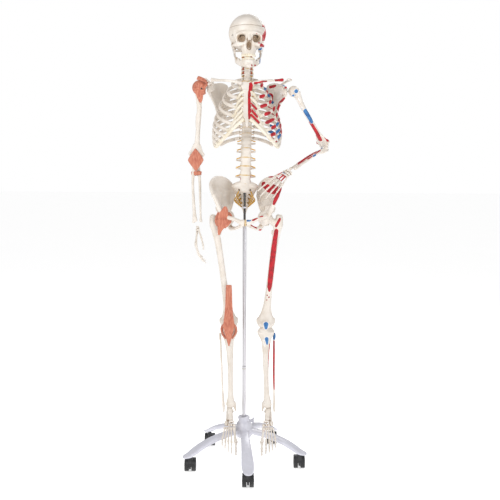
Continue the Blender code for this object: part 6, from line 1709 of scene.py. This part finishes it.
def makeRibs():
    paths = []
    for number in range(1, 13):
        for sign in (-1, 1):
            path = []
            for share in np.linspace(0.045, 1, 46):
                size = 0.78 + 0.3 * min(1, share / 0.25) + (0.1 if share > 0.9 and number < 11 else 0)
                if number > 10:
                    size *= 0.95 - 0.45 * max(0, (share - 0.75) / 0.25)
                path.append((tuple(ribPoint(number, sign, float(share))), size * (0.94 if number < 3 else 1.0)))
            paths.append(path)
    ribs = sweep("ribs", paths, chestSizes["ribHeight"], chestSizes["ribThickness"], bone, 14)
    red, blue = [], []

    def along(number, first, last):
        return [ribPoint(number, 1, float(s)) + Vector((0.004, -0.004, 0)) for s in np.linspace(first, last, 6)]

    for number, spans in {1: ((0.55, 0.8),), 2: ((0.52, 0.66), (0.82, 0.95)), 3: ((0.66, 0.76), (0.86, 0.99)),
            4: ((0.62, 0.74), (0.84, 0.95)), 5: ((0.6, 0.71), (0.8, 0.97)), 6: ((0.58, 0.7), (0.82, 0.92)),
            7: ((0.6, 0.72), (0.9, 0.99)), 8: ((0.6, 0.76),), 9: ((0.58, 0.72),), 10: ((0.6, 0.8),),
            11: ((0.6, 0.85),)}.items():
        for first, last in spans:
            red.append((along(number, first, last), (0.0055, 0.009, 0.01, 0.01, 0.009, 0.005)))
    for number, first, last in ((7, 0.78, 0.86), (6, 0.74, 0.79), (8, 0.82, 0.9), (2, 0.38, 0.46), (3, 0.38, 0.46),
            (4, 0.38, 0.46), (9, 0.3, 0.38), (10, 0.28, 0.38), (11, 0.3, 0.4)):
        blue.append((along(number, first, last), 0.0085))
    # a little painted shade over the whole of the ribs
    settle(coat(ribs, red, blue, 0.15), "chest", "bone_plastic", *[f"thoracic_block_{k}" for k in (1, 2, 3, 4)])


def makeSternum():
    xs = chestSizes["sternumTop"].x
    clay = newClay((xs - 0.04, -0.15, 1.452), (xs + 0.04, -0.054, 1.652), 0.0012)
    outline = ((0.0, 0.024), (0.06, 0.0275), (0.14, 0.025), (0.22, 0.019), (0.28, 0.015), (0.36, 0.015),
        (0.45, 0.016), (0.6, 0.0175), (0.75, 0.0185), (0.88, 0.0175), (0.95, 0.0145), (1.02, 0.008), (1.1, 0.0065),
        (1.18, 0.0035))
    bar(clay, [(tuple(sternumPoint(share)), width, 0.0046) for share, width in outline], 0.001, (1, 0, 0), 4, 2.6)
    for share in (0.2, 0.36, 0.5, 0.62, 0.73, 0.83):
        for sign in (-1, 1):
            width = float(np.interp(share, *zip(*outline)))
            dent(clay, sternumPoint(share + 0.055) + Vector((sign * (width + 0.0035), 0, 0)), (0.0045, 0.008, 0.005),
                0.003)
    dent(clay, sternumPoint(-0.03) + Vector((0, 0, 0.004)), (0.012, 0.012, 0.0085), 0.003)
    bar(clay, [(sternumPoint(0.215) + Vector((-0.017, -0.0035, 0)), 0.0018, 0.002),
        (sternumPoint(0.215) + Vector((0.017, -0.0035, 0)), 0.0018, 0.002)], 0.003, (0, 0, 1))
    band = [tuple(sternumPoint(s) + Vector((x, -0.005, 0))) for s,
        x in ((0.05, 0.016), (0.18, 0.014), (0.32, 0.009), (0.5, 0.009), (0.68, 0.01), (0.86, 0.011), (0.98, 0.009))]
    piece = skinClay(clay, "breastbone", red=[(band, (0.0085, 0.008, 0.0062, 0.0062, 0.0065, 0.0072, 0.004))])
    settle(piece, "chest", "bone_plastic", "sternum_and_cartilages")


def makeCartilages():
    paths, red = [], []
    middles = {}
    for number in range(1, 11):
        for sign in (-1, 1):
            end = ribPoint(number, sign, 1.0)
            way = (end - ribPoint(number, sign, 0.97)).normalized()
            start = end - way * 0.004
            if number <= 7:
                goal = sternumPoint(0.08 + 0.9 * ((number - 1) / 6) ** 0.92) + Vector((sign * 0.012, 0, 0))
                middle = start.lerp(goal, 0.5) + Vector((0, -0.004, -0.004 if number > 4 else 0))
            else:
                goal = middles[(number - 1, sign)]
                middle = start.lerp(goal, 0.5) + Vector((0, -0.003, -0.009))
                goal = goal + (goal - middle).normalized() * 0.003
            middles[(number, sign)] = middle
            bend = end + way * 0.008
            path = smoothPath([(start, 1.1), (bend, 1.05), (middle, 1.0), (goal, 1.05)], 7)
            paths.append(path)
            if sign > 0 and number in (4, 5, 6):
                inner = [Vector(point) + Vector((0, -0.004, 0)) for point, _ in path[len(path) * 2 // 3:]]
                red.append((inner[:: max(1, len(inner) // 4)], 0.0052))
    piece = sweep("ribCartilages", paths, 0.0068, 0.0045, cartilage, 14)
    # a little painted shade over the whole of the cartilages
    settle(coat(piece, red, (), 0.1), "chest", "cartilage_plastic", "sternum_and_cartilages")


makeRibs()
makeSternum()
makeCartilages()
print("chest made")

skullSizes = {"centre": (0, -0.006, 1.845), "outer": (0.0765, 0.0925, 0.0748), "wall": 0.0062, "lowerShare": 0.8,
    "cut": 1.8622, "grain": 0.00155, "archHalfWidth": 0.0255, "archDepth": 0.031, "archBack": -0.0665}
h = headPoint


def cutLevel(clay, level, keepBelow, axis=2):
    # a flat cut across one of the clay's own axes
    places = clay["low"][axis] + clay["grain"] * np.arange(clay["solid"].shape[axis])
    side = (places - level) if keepBelow else (level - places)
    shape = [1, 1, 1]
    shape[axis] = -1
    clay["solid"][:] = np.maximum(clay["solid"], side.reshape(shape).astype(np.float32))


def ovalAt(z, inset):
    # half width and half depth of the skull's shell at a height above its middle
    middleZ = skullSizes["centre"][2]
    a, b, c = (r - inset for r in skullSizes["outer"])
    share = math.sqrt(max(0.0, 1 - ((z - middleZ) / c) ** 2))
    return a * share, b * share


def darken(obj, strokes, share):
    # raises the painted shade in rooms such as the eye sockets, and draws brown seam lines into the same attribute;
    # strokes in the skull's own frame
    back = np.array(placeHead.inverted())
    points = pointsOf(obj) @ back[:3, :3].T + back[:3, 3]
    near = np.clip(coatDepth(points, strokes) / (0.8 if share < 0.8 else 5.0), 0, 1)
    shadeAndSeams = np.empty(len(points), np.float32)
    obj.data.attributes["shadeAndSeams"].data.foreach_get("value", shadeAndSeams)
    obj.data.attributes["shadeAndSeams"].data.foreach_set("value", np.maximum(shadeAndSeams, share * near).astype(np.float32))
    return obj


def makeSkullBase():
    s = skullSizes
    centre = h(*s["centre"])
    a, b, c = s["outer"]
    clay = newClay(h(-0.08, -0.112, 1.73), h(0.08, 0.102, s["cut"]), s["grain"])
    lump(clay, centre, (a, b, c * s["lowerShare"]), 0.002)
    top = s["cut"] + 0.004
    join(clay, link(h(0, -0.006, 1.846), h(0, -0.006, top), (1, 0, 0), ovalAt(1.846, 0), ovalAt(top, 0)), 0.001)
    lump(clay, h(0, 0.046, 1.812), (0.05, 0.046, 0.03), 0.01)
    lump(clay, h(0, 0.09, 1.816), (0.01, 0.006, 0.007), 0.008)
    for way in (-1, 1):
        dent(clay, h(way * 0.088, -0.052, 1.822), (0.026, 0.036, 0.032), 0.008)
        bar(clay, [(h(0, -0.0925, 1.833), 0.005, 0.006), (h(way * 0.018, -0.0935, 1.8325), 0.006, 0.0065),
            (h(way * 0.034, -0.0885, 1.8315), 0.0045, 0.006), (h(way * 0.047, -0.076, 1.8255), 0.005, 0.0055)], 0.006,
            (0, 0, 1))
    # upper jaw
    bar(clay, [(h(0, -0.066, 1.806), 0.026, 0.024), (h(0, -0.069, 1.79), 0.032, 0.023),
        (h(0, -0.071, 1.776), 0.03, 0.0235), (h(0, -0.0725, 1.762), 0.028, 0.0235),
        (h(0, -0.0735, 1.748), 0.0265, 0.0235)], 0.006, (1, 0, 0), 4)
    join(clay, link(h(0, -0.06, 1.8), h(0, -0.02, 1.797), (1, 0, 0), (0.026, 0.02), (0.024, 0.012)), 0.006)
    for way in (-1, 1):
        bar(clay, [(h(way * 0.03, -0.085, 1.79), 0.01, 0.009), (h(way * 0.043, -0.0795, 1.789), 0.0095, 0.0085),
            (h(way * 0.0545, -0.067, 1.7885), 0.0075, 0.0048), (h(way * 0.0635, -0.048, 1.788), 0.0052, 0.0026),
            (h(way * 0.0665, -0.03, 1.79), 0.0046, 0.0024), (h(way * 0.0645, -0.01, 1.797), 0.0055, 0.0032)], 0.004,
            (0, 0, 1), 4)
        bar(clay, [(h(way * 0.0455, -0.0785, 1.793), 0.0062, 0.005), (h(way * 0.05, -0.075, 1.808), 0.0046, 0.0046),
            (h(way * 0.0485, -0.0755, 1.826), 0.0055, 0.0052)], 0.003)
        bar(clay, [(h(way * 0.0105, -0.0945, 1.826), 0.0045, 0.005), (h(way * 0.0125, -0.0945, 1.806), 0.0046, 0.005),
            (h(way * 0.0185, -0.0915, 1.79), 0.0075, 0.006)], 0.003)
    bar(clay, [(h(0, -0.093, 1.829), 0.0075, 0.005), (h(0, -0.098, 1.814), 0.0072, 0.0048),
        (h(0, -0.1025, 1.8035), 0.0076, 0.0034)], 0.003)
    sockets = []
    lump(clay, h(0, -0.089, 1.822), (0.0115, 0.0075, 0.012), 0.004)
    for way in (-1, 1):
        socket = [(h(way * 0.0318, -0.106, 1.809), 0.0185, 0.017), (h(way * 0.0312, -0.094, 1.81), 0.0178, 0.0164),
            (h(way * 0.0285, -0.08, 1.811), 0.013, 0.0125), (h(way * 0.024, -0.071, 1.8115), 0.0055, 0.0055)]
        sockets.append(tube(socket, (1, 0, 0), 4, 2.5))
        dent(clay, h(way * 0.0225, -0.0985, 1.7875), (0.0022, 0.004, 0.0018), 0.001)
        dent(clay, h(way * 0.024, -0.0985, 1.772), (0.008, 0.006, 0.01), 0.005)
        bar(clay, [(h(way * 0.0555, 0.006, 1.806), 0.01, 0.015), (h(way * 0.0545, 0.01, 1.79), 0.0085, 0.011),
            (h(way * 0.0515, 0.008, 1.7745), 0.0045, 0.006)], 0.004)
        dent(clay, h(way * 0.069, -0.0035, 1.7985), (0.006, 0.003, 0.003), 0.001)
        lump(clay, h(way * 0.014, -0.008, 1.7888), (0.0068, 0.01, 0.0066), 0.003)
        bar(clay, [(h(way * 0.018, -0.046, 1.792), 0.003, 0.008), (h(way * 0.02, -0.047, 1.772), 0.0018, 0.006)],
            0.003)
        join(clay, rod(h(way * 0.036, -0.004, 1.79), h(way * 0.033, -0.014, 1.768), 0.0028, 0.001), 0.002)
    nose = [(h(0, -0.1, 1.7985), 0.0035, 0.012), (h(0, -0.1, 1.791), 0.0085, 0.018),
        (h(0, -0.099, 1.782), 0.0125, 0.018), (h(0, -0.099, 1.7755), 0.0115, 0.016),
        (h(0, -0.099, 1.7735), 0.007, 0.012)]
    carve(clay, tube(nose, (1, 0, 0), 4), 0.0015)
    join(clay, link(h(0, -0.0865, 1.8), h(0.0006, -0.0865, 1.77), (1, 0, 0), (0.001, 0.006)), 0.001)
    join(clay, rod(h(0, -0.094, 1.769), h(0, -0.101, 1.7675), 0.003, 0.0012), 0.002)
    # ridges over the tooth roots
    for angle, *_ in toothRow:
        for way in (-1, 1):
            x, y = archPoint(way * angle)
            bar(clay, [(h(x, y, 1.7465), 0.0026, 0.0026), (h(x * 0.94, y + 0.001, 1.759), 0.0017, 0.0017)], 0.002)
    dent(clay, h(0, -0.064, 1.744), (0.019, 0.023, 0.01), 0.003)
    carve(clay, link(h(0, -0.075, 1.72), h(0, -0.075, 1.7478), (1, 0, 0), (0.04, 0.04), flat=True), 0.0006)
    inner = (a - s["wall"], b - s["wall"], c * s["lowerShare"] - s["wall"])
    dent(clay, centre, inner, 0.001)
    carve(clay, link(h(0, -0.006, 1.846), h(0, -0.006, top + 0.01), (1, 0, 0), ovalAt(1.846, s["wall"]),
        ovalAt(top + 0.01, s["wall"])), 0.0008)
    # the eye sockets close behind, in front of the brain's room
    for way, socket in zip((-1, 1), sockets):
        bar(clay, [(h(way * 0.024, -0.07, 1.8115), 0.011, 0.011), (h(way * 0.029, -0.083, 1.811), 0.017, 0.016)],
            0.002)
    for socket in sockets:
        carve(clay, socket, 0.002)
    carve(clay, link(h(0, 0.012, 1.765), h(0, 0.012, 1.803), (1, 0, 0), (0.014, 0.0165)), 0.002)
    cutLevel(clay, s["cut"] - 0.0002, True)
    red = [([h(0.064, -0.052, 1.822), h(0.072, -0.03, 1.836), h(0.076, 0.002, 1.846), h(0.074, 0.03, 1.848)],
        (0.017, 0.025, 0.024, 0.014)), ([h(0.048, -0.083, 1.786), h(0.062, -0.056, 1.784)], 0.007),
        ([h(0.018, -0.1, 1.806)], 0.0032), ([h(0.04, -0.09, 1.793)], 0.004), ([h(0.025, -0.096, 1.774)], 0.0036),
        ([h(0.013, -0.099, 1.76)], 0.003), ([h(0.03, -0.096, 1.827)], 0.003),
        ([h(0.03, 0.076, 1.806), h(0.012, 0.086, 1.812)], 0.008)]
    blue = [([h(0.056, 0.008, 1.784), h(0.062, 0.016, 1.8)], 0.01),
        ([h(0.022, 0.066, 1.794), h(0.04, 0.058, 1.798)], 0.0075)]
    piece = skinClay(clay, "skullBase", placeHead, red, blue)
    # painted shade deep in the eye sockets and the nose opening
    darken(piece, [([h(way * 0.029, -0.08, 1.811)], 0.0175) for way in (-1, 1)] + [([h(0, -0.085, 1.785)], 0.013)],
        1.6)
    settle(piece, "head", "bone_plastic", "skull_base")


def makeSkullCap():
    s = skullSizes
    clay = newClay(h(-0.08, -0.102, s["cut"]), h(0.08, 0.092, 1.921), s["grain"])
    lump(clay, h(*s["centre"]), s["outer"], 0.001)
    lump(clay, h(0, -0.06, 1.868), (0.045, 0.0355, 0.03), 0.012)
    dent(clay, h(*s["centre"]), tuple(r - s["wall"] for r in s["outer"]), 0.001)
    cutLevel(clay, s["cut"] + 0.0004, False)
    red = [([h(0.074, -0.024, 1.866), h(0.0735, 0.006, 1.874), h(0.071, 0.03, 1.869)], (0.02, 0.022, 0.012)),
        ([h(0.06, -0.056, 1.862)], 0.01)]
    cap = skinClay(clay, "skullCap", placeHead, red)
    # seams between the skull's plates, a fine brown zigzag
    a, b, c = s["outer"]
    _, middleY, middleZ = s["centre"]
    seams = []

    def onShell(x, y):
        rest = max(0.0, 1 - (x / a) ** 2 - (y / b) ** 2)
        return np.array(h(x, y + middleY, middleZ + c * math.sqrt(rest)))

    zigzag = np.random.default_rng(7)
    for line in ([(x, -0.028) for x in np.linspace(-0.072, 0.072, 64)],
            [(0, y) for y in np.linspace(-0.028, 0.072, 46)]):
        seams.append([onShell(x + zigzag.uniform(-0.0012, 0.0012), y + zigzag.uniform(-0.0016, 0.0016)) for x,
            y in line])
    darken(cap, [(seam, 0.0013) for seam in seams], 0.75)
    settle(cap, "cap", "bone_plastic", "skull_cap")


# angle round the arch, width, depth and height of each crown from the middle tooth back
toothRow = ((8, 1.12, 0.85, 1.05), (23, 0.92, 0.85, 0.95), (37, 0.98, 1.05, 1.1), (50, 0.95, 1.2, 0.92),
    (62, 0.95, 1.25, 0.88), (75, 1.35, 1.5, 0.86), (89, 1.25, 1.45, 0.8))


def archPoint(angle):
    s, turn = skullSizes, math.radians(angle)
    return s["archHalfWidth"] * math.sin(turn), s["archBack"] - s["archDepth"] * math.cos(turn)


def makeTeeth():
    clay = newClay((-0.0042, -0.004, -0.006), (0.0042, 0.004, 0.008), 0.0007)
    bar(clay, [((0, 0, -0.004), 0.0019, 0.0019), ((0, 0, 0), 0.0025, 0.0025), ((0, 0, 0.0035), 0.0032, 0.0027),
        ((0, 0, 0.0068), 0.0031, 0.0016)], 0.0008, (1, 0, 0), 4, 2.8)
    template = skinClay(clay, "toothTemplate", Matrix.Identity(4), look=tooth)
    for name, body, level, way, share in (("upperTeeth", "head", 1.7465, -1, 1.0),
            ("lowerTeeth", "jaw", 1.7275, 1, 0.94)):
        rows = []
        for angle, wide, deep, tall in toothRow:
            for side in (-1, 1):
                x, y = archPoint(side * angle)
                place = placeHead @ Vector(h(x * share, y * share if way > 0 else y, level))
                spin = math.atan2(math.sin(math.radians(side * angle)) / skullSizes["archDepth"],
                    math.cos(math.radians(side * angle)) / skullSizes["archHalfWidth"]) + headYaw
                rows.append((place, (math.pi if way < 0 else 0, 0, spin), (wide, deep, tall)))
        teeth = scatter(name, template, rows, tooth)
        settle(teeth, body, "bone_plastic")
    discard(template)


def makeJaw():
    clay = newClay(h(-0.062, -0.106, 1.69), h(0.062, 0.002, 1.781), 0.0012)
    for way in (-1, 1):
        bar(clay, [(h(0, -0.0945, 1.7125), 0.0178, 0.006), (h(way * 0.011, -0.0915, 1.713), 0.0174, 0.0058),
            (h(way * 0.0215, -0.079, 1.7155), 0.016, 0.0056), (h(way * 0.032, -0.06, 1.7195), 0.014, 0.0052),
            (h(way * 0.041, -0.041, 1.7265), 0.013, 0.0046), (h(way * 0.0465, -0.027, 1.733), 0.013, 0.0042)], 0.003,
            (0, 0, 1), 4)
        bar(clay, [(h(way * 0.048, -0.023, 1.727), 0.0095, 0.0042), (h(way * 0.0495, -0.022, 1.738), 0.015, 0.0036),
            (h(way * 0.0515, -0.02, 1.748), 0.015, 0.0032), (h(way * 0.053, -0.019, 1.762), 0.0135, 0.0026)], 0.003,
            (0, 1, 0), 4)
        bar(clay, [(h(way * 0.053, -0.011, 1.76), 0.0055, 0.003), (h(way * 0.0535, -0.012, 1.77), 0.0034, 0.0035)],
            0.003, (0, 1, 0))
        lump(clay, h(way * 0.054, -0.0135, 1.774), (0.0078, 0.004, 0.0038), 0.002)
        bar(clay, [(h(way * 0.053, -0.029, 1.76), 0.0055, 0.0022), (h(way * 0.0535, -0.03, 1.773), 0.003, 0.0018)],
            0.003, (0, 1, 0))
        dent(clay, h(way * 0.053, -0.0215, 1.7745), (0.008, 0.0056, 0.011), 0.002)
        dent(clay, h(way * 0.021, -0.0885, 1.709), (0.0018, 0.003, 0.0015), 0.0008)
    lump(clay, h(0, -0.0985, 1.701), (0.0125, 0.005, 0.006), 0.005)
    dent(clay, h(0, -0.104, 1.715), (0.016, 0.006, 0.005), 0.004)
    for angle, *_ in toothRow:
        for way in (-1, 1):
            x, y = archPoint(way * angle)
            bar(clay, [(h(x * 0.94, y * 0.94, 1.7275), 0.0026, 0.0026),
                (h(x * 0.94, y * 0.94, 1.716), 0.0016, 0.0016)], 0.002)
    carve(clay, link(h(0, -0.075, 1.7268), h(0, -0.075, 1.76), (1, 0, 0), (0.0375, 0.04), flat=True), 0.0006)
    red = [([h(0.011, -0.1, 1.703)], 0.0042), ([h(0.024, -0.086, 1.705), h(0.03, -0.076, 1.706)], 0.0035),
        ([h(0.006, -0.101, 1.718)], 0.0026)]
    blue = [([h(0.056, -0.018, 1.756), h(0.054, -0.024, 1.73), h(0.05, -0.026, 1.722)], (0.011, 0.015, 0.011))]
    settle(skinClay(clay, "lowerJaw", placeHead, red, blue), "jaw", "bone_plastic", "mandible")
    # closing springs at both sides
    for way, side in ((-1, "right"), (1, "left")):
        top, foot = Vector(h(way * 0.064, -0.025, 1.79)), Vector(h(way * 0.053, -0.035, 1.738))
        axis = (foot - top).normalized()
        across = axis.orthogonal().normalized()
        other = axis.cross(across)
        path = [(tuple(top), 1.0)]
        for k in range(14 * 10 + 1):
            share, turn = k / 140, 2 * math.pi * k / 10
            path.append((tuple(top.lerp(foot, 0.15 + 0.7 * share) + (across * math.cos(turn) + other * math.sin(turn))
                * 0.0019), 1.0))
        path.append((tuple(foot), 1.0))
        spring = sweep(f"jawSpring{side.title()}", [path], 0.00038, 0.00038, zinc, 6, placeHead)
        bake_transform(spring)


makeSkullBase()
makeSkullCap()
makeTeeth()
makeJaw()
print("skull made")

bandThickness = 0.0022


def bandPiece(name, place, low, high, build, keep=None):
    clay = newClay(low, high, 0.001)
    build(clay)
    if keep:
        cutLevel(clay, *keep)
    return skinClay(clay, name, place, look=ligament)


def bendBand(obj, lower, upper, middle, reach, *nodes):
    # hides the band's plain nodes and bakes its place into its mesh
    if nodes:
        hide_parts(*nodes)
    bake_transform(obj)


def makeShoulderCapsule():
    at = shoulderAt["right"]
    p = around(at)

    def build(clay):
        lump(clay, p(-0.001, -0.001, 0.001), (0.0345, 0.033, 0.032), 0.002)
        dent(clay, p(-0.001, 0.002, 0.0), (0.0318, 0.0305, 0.0292), 0.001)
        cutLevel(clay, at.y + 0.01, True, 1)
        dent(clay, p(0.036, 0.0, 0.0), (0.018, 0.04, 0.034), 0.002)
        dent(clay, p(0.006, -0.034, -0.01), (0.005, 0.012, 0.009), 0.002)
        bar(clay, [(p(-0.004, -0.0315, -0.012), 0.021, 0.0016), (p(-0.002, -0.029, -0.03), 0.016, 0.0015),
            (p(0.0, -0.021, -0.05), 0.01, 0.0013), (p(0.0, -0.015, -0.06), 0.005, 0.001)], 0.003)

    low, high = at + Vector((-0.038, -0.038, -0.064)), at + Vector((0.036, 0.016, 0.036))
    upper = bandPiece("shoulderCapsuleTop", placeBody, low, high, build, (at.z + 0.0001, False))
    bendBand(upper, "chest", "shoulder_right", at, (0.022, 0.004), "shoulder_ligament_right")
    lower = bandPiece("shoulderCapsuleFoot", placeBody, low, high, build, (at.z - 0.0001, True))
    bendBand(lower, "shoulder_right", "upper_arm_right", at, (-0.002, -0.02), "shoulder_ligament_right")
    clay = newClay(at + Vector((-0.034, -0.044, 0.0)), at + Vector((0.03, 0.01, 0.044)), 0.001)
    bar(clay, [(p(0.029, -0.03, 0.016), 0.005, 0.0018), (p(0.022, -0.037, 0.024), 0.008, 0.0018),
        (p(0.004, -0.032, 0.034), 0.0085, 0.0017), (p(-0.012, -0.018, 0.0395), 0.009, 0.0016)], 0.001, (0, 0.5, 1), 4)
    bar(clay, [(p(0.03, -0.028, 0.02), 0.0045, 0.0018), (p(0.022, -0.034, 0.004), 0.006, 0.0017),
        (p(0.01, -0.036, -0.004), 0.005, 0.0014)], 0.001, (1, 0, 0), 4)
    settle(skinClay(clay, "shoulderStraps", look=ligament), "chest", "ligament_rubber", "shoulder_ligament_right")


def makeElbowBand():
    frameHere = limbFrame(elbowAt["right"], wristAt["right"], Vector((1, 0, 0)))

    def build(clay):
        bar(clay, [((0, 0.0175, -0.046), 0.003, bandThickness), ((0, 0.0165, -0.03), 0.016, bandThickness),
            ((0, 0.0168, -0.014), 0.0265, bandThickness), ((0, 0.0172, 0.0), 0.033, bandThickness),
            ((0, 0.0175, 0.014), 0.0265, bandThickness), ((0, 0.0165, 0.03), 0.014, bandThickness),
            ((0, 0.014, 0.044), 0.005, bandThickness)], 0.001, (1, 0, 0), 4, 2.6)

    piece = bandPiece("elbowCapsule", placeBody @ frameHere, (-0.036, 0.008, -0.05), (0.036, 0.022, 0.05), build)
    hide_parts("elbow_ligament_right")
    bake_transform(piece)

    def ring(clay):
        join(clay, link((0, -0.004, 0.05), (0, -0.004, 0.058), (1, 0, 0), (0.0225, 0.0135), (0.0215, 0.013)), 0.002)
        carve(clay, link((0, -0.004, 0.044), (0, -0.004, 0.064), (1, 0, 0), (0.0208, 0.0118), (0.02, 0.0112)), 0.0006)

    piece = bandPiece("forearmBand", placeBody @ frameHere, (-0.026, -0.02, 0.046), (0.026, 0.012, 0.062), ring)
    settle(piece, "forearm_right", "ligament_rubber", "elbow_ligament_right")


def makeHipBands():
    at = hipAt["right"]
    p = around(at)
    s = signs["right"]

    def build(clay):
        bar(clay, [(p(0.004, -0.045, 0.05), 0.007, bandThickness), (p(0.002, -0.043, 0.032), 0.015, bandThickness),
            (p(s * 0.004, -0.041, 0.014), 0.0215, bandThickness),
            (p(s * 0.006, -0.0395, -0.004), 0.0235, bandThickness),
            (p(s * 0.012, -0.037, -0.026), 0.0175, bandThickness),
            (p(s * 0.019, -0.0335, -0.048), 0.0095, bandThickness),
            (p(s * 0.023, -0.031, -0.066), 0.004, bandThickness)], 0.001, (1, 0, 0), 4, 2.6)
        bar(clay, [(p(0.016, -0.033, 0.026), 0.006, bandThickness), (p(0.022, -0.033, 0.01), 0.011, bandThickness),
            (p(0.016, -0.035, -0.012), 0.012, bandThickness), (p(s * 0.002, -0.035, -0.034), 0.008, bandThickness)],
            0.002, (1, 0, 0), 4, 2.6)
        bar(clay, [(p(s * 0.016, -0.03, 0.04), 0.006, bandThickness),
            (p(s * 0.024, -0.0335, 0.018), 0.0085, bandThickness),
            (p(s * 0.032, -0.031, -0.006), 0.0085, bandThickness),
            (p(s * 0.03, -0.03, -0.028), 0.005, bandThickness)], 0.002, (1, 0, 0), 4, 2.6)

    low, high = at + Vector((-0.046, -0.052, -0.072)), at + Vector((0.038, -0.022, 0.056))
    upper = bandPiece("hipCapsuleTop", placeBody, low, high, build, (at.z + 0.0001, False))
    bendBand(upper, "pelvis", "hip_right", at, (0.024, 0.004), "hip_ligament_right")
    lower = bandPiece("hipCapsuleFoot", placeBody, low, high, build, (at.z - 0.0001, True))
    bendBand(lower, "hip_right", "thigh_right", at, (-0.004, -0.026), "hip_ligament_right")


def makeKneeBands():
    at = kneeAt["right"]
    p = around(at)

    def build(clay):
        bar(clay, [(p(0, -0.03, 0.19), 0.012, bandThickness), (p(0, -0.033, 0.15), 0.0138, bandThickness),
            (p(0, -0.0365, 0.11), 0.0152, bandThickness), (p(0, -0.0415, 0.07), 0.0185, bandThickness),
            (p(0, -0.047, 0.042), 0.022, bandThickness), (p(0, -0.0495, 0.018), 0.0232, bandThickness),
            (p(0, -0.0465, -0.006), 0.019, bandThickness), (p(0, -0.039, -0.03), 0.013, bandThickness),
            (p(0, -0.0315, -0.052), 0.007, bandThickness), (p(0, -0.029, -0.068), 0.003, bandThickness)], 0.001,
            (1, 0, 0), 4, 2.6)
        for side in (-1, 1):
            bar(clay, [(p(side * 0.018, -0.044, 0.03), 0.005, bandThickness),
                (p(side * 0.029, -0.033, 0.01), 0.0062, bandThickness),
                (p(side * 0.027, -0.03, -0.014), 0.0055, bandThickness),
                (p(side * 0.014, -0.033, -0.036), 0.004, bandThickness)], 0.002, (1, 0, 0), 4, 2.6)

    piece = bandPiece("kneeBand", placeBody, at + Vector((-0.038, -0.054, -0.072)),
        at + Vector((0.038, -0.024, 0.192)), build)
    bendBand(piece, "thigh_right", "shank_right", at, (0.012, -0.02), "knee_ligament_right")


makeShoulderCapsule()
makeElbowBand()
makeHipBands()
makeKneeBands()
print("ligaments made")

cameraLook = {"place": (0.0235, -2.95, 1.28), "tilt": 6.43, "roll": 0.25, "lens": 50.1, "sensor": 36.0}
stageLook = {"floorGlow": 0.6, "roomLight": 0.42, "backdrop": 1.0}


def makeStage():
    mesh = bpy.data.meshes.new("studioFloor")
    builder = bmesh.new()
    bmesh.ops.create_grid(builder, x_segments=1, y_segments=1, size=40)
    builder.to_mesh(mesh)
    builder.free()
    floor = newObject("studioFloor", mesh)
    pale = makePlain("paleFloor", (0.9, 0.9, 0.9), (0.89, 0.89, 0.89), (0.75, 0.85), fineScale=200.0, cloudScale=1.0,
        Emission_Color=(1.0, 1.0, 1.0, 1.0), Emission_Strength=stageLook["floorGlow"])
    mesh.materials.append(pale)
    world = bpy.data.worlds.new("softRoom")
    world.use_nodes = True
    # the backdrop is white to look at, and lights the model less than that
    background = world.node_tree.nodes["Background"]
    background.inputs["Color"].default_value = (1.0, 1.0, 1.0, 1)
    seen = world.node_tree.nodes.new("ShaderNodeLightPath").outputs["Is Camera Ray"]
    low, high = stageLook["roomLight"], stageLook["backdrop"]
    world.node_tree.links.new(mathNode(world.node_tree, "MULTIPLY_ADD", seen, high - low, low),
        background.inputs["Strength"])
    bpy.context.scene.world = world
    bpy.context.scene.view_settings.view_transform = "Standard"
    for name, place, size, power, colour in (("keyLight", (-1.9, -2.6, 2.9), 2.2, 64, (1.0, 0.99, 0.98)),
            ("fillLight", (2.4, -2.4, 1.7), 2.4, 34, (0.97, 0.985, 1.0)),
            ("backLight", (0.8, 2.6, 2.8), 2.0, 40, (1.0, 1.0, 1.0))):
        light = bpy.data.lights.new(name, "AREA")
        light.shape, light.size, light.energy, light.color = "DISK", size, power, colour
        lamp = newObject(name, light)
        lamp.location = Vector(place) + standFoot
        aim = Vector((0, 0, 1.05)) + standFoot - lamp.location
        lamp.rotation_euler = aim.to_track_quat("-Z", "Y").to_euler()


def makeCamera():
    camera = bpy.data.cameras.new("frontView")
    camera.lens, camera.sensor_width = cameraLook["lens"], cameraLook["sensor"]
    obj = newObject("frontView", camera)
    turn = (Matrix.Rotation(math.radians(90 - cameraLook["tilt"]), 4, "X")
        @ Matrix.Rotation(math.radians(cameraLook["roll"]), 4, "Z"))
    obj.matrix_world = placeBody @ Matrix.Translation(Vector(cameraLook["place"])) @ turn
    bpy.context.scene.camera = obj


makeStage()
makeCamera()
print("stage made")
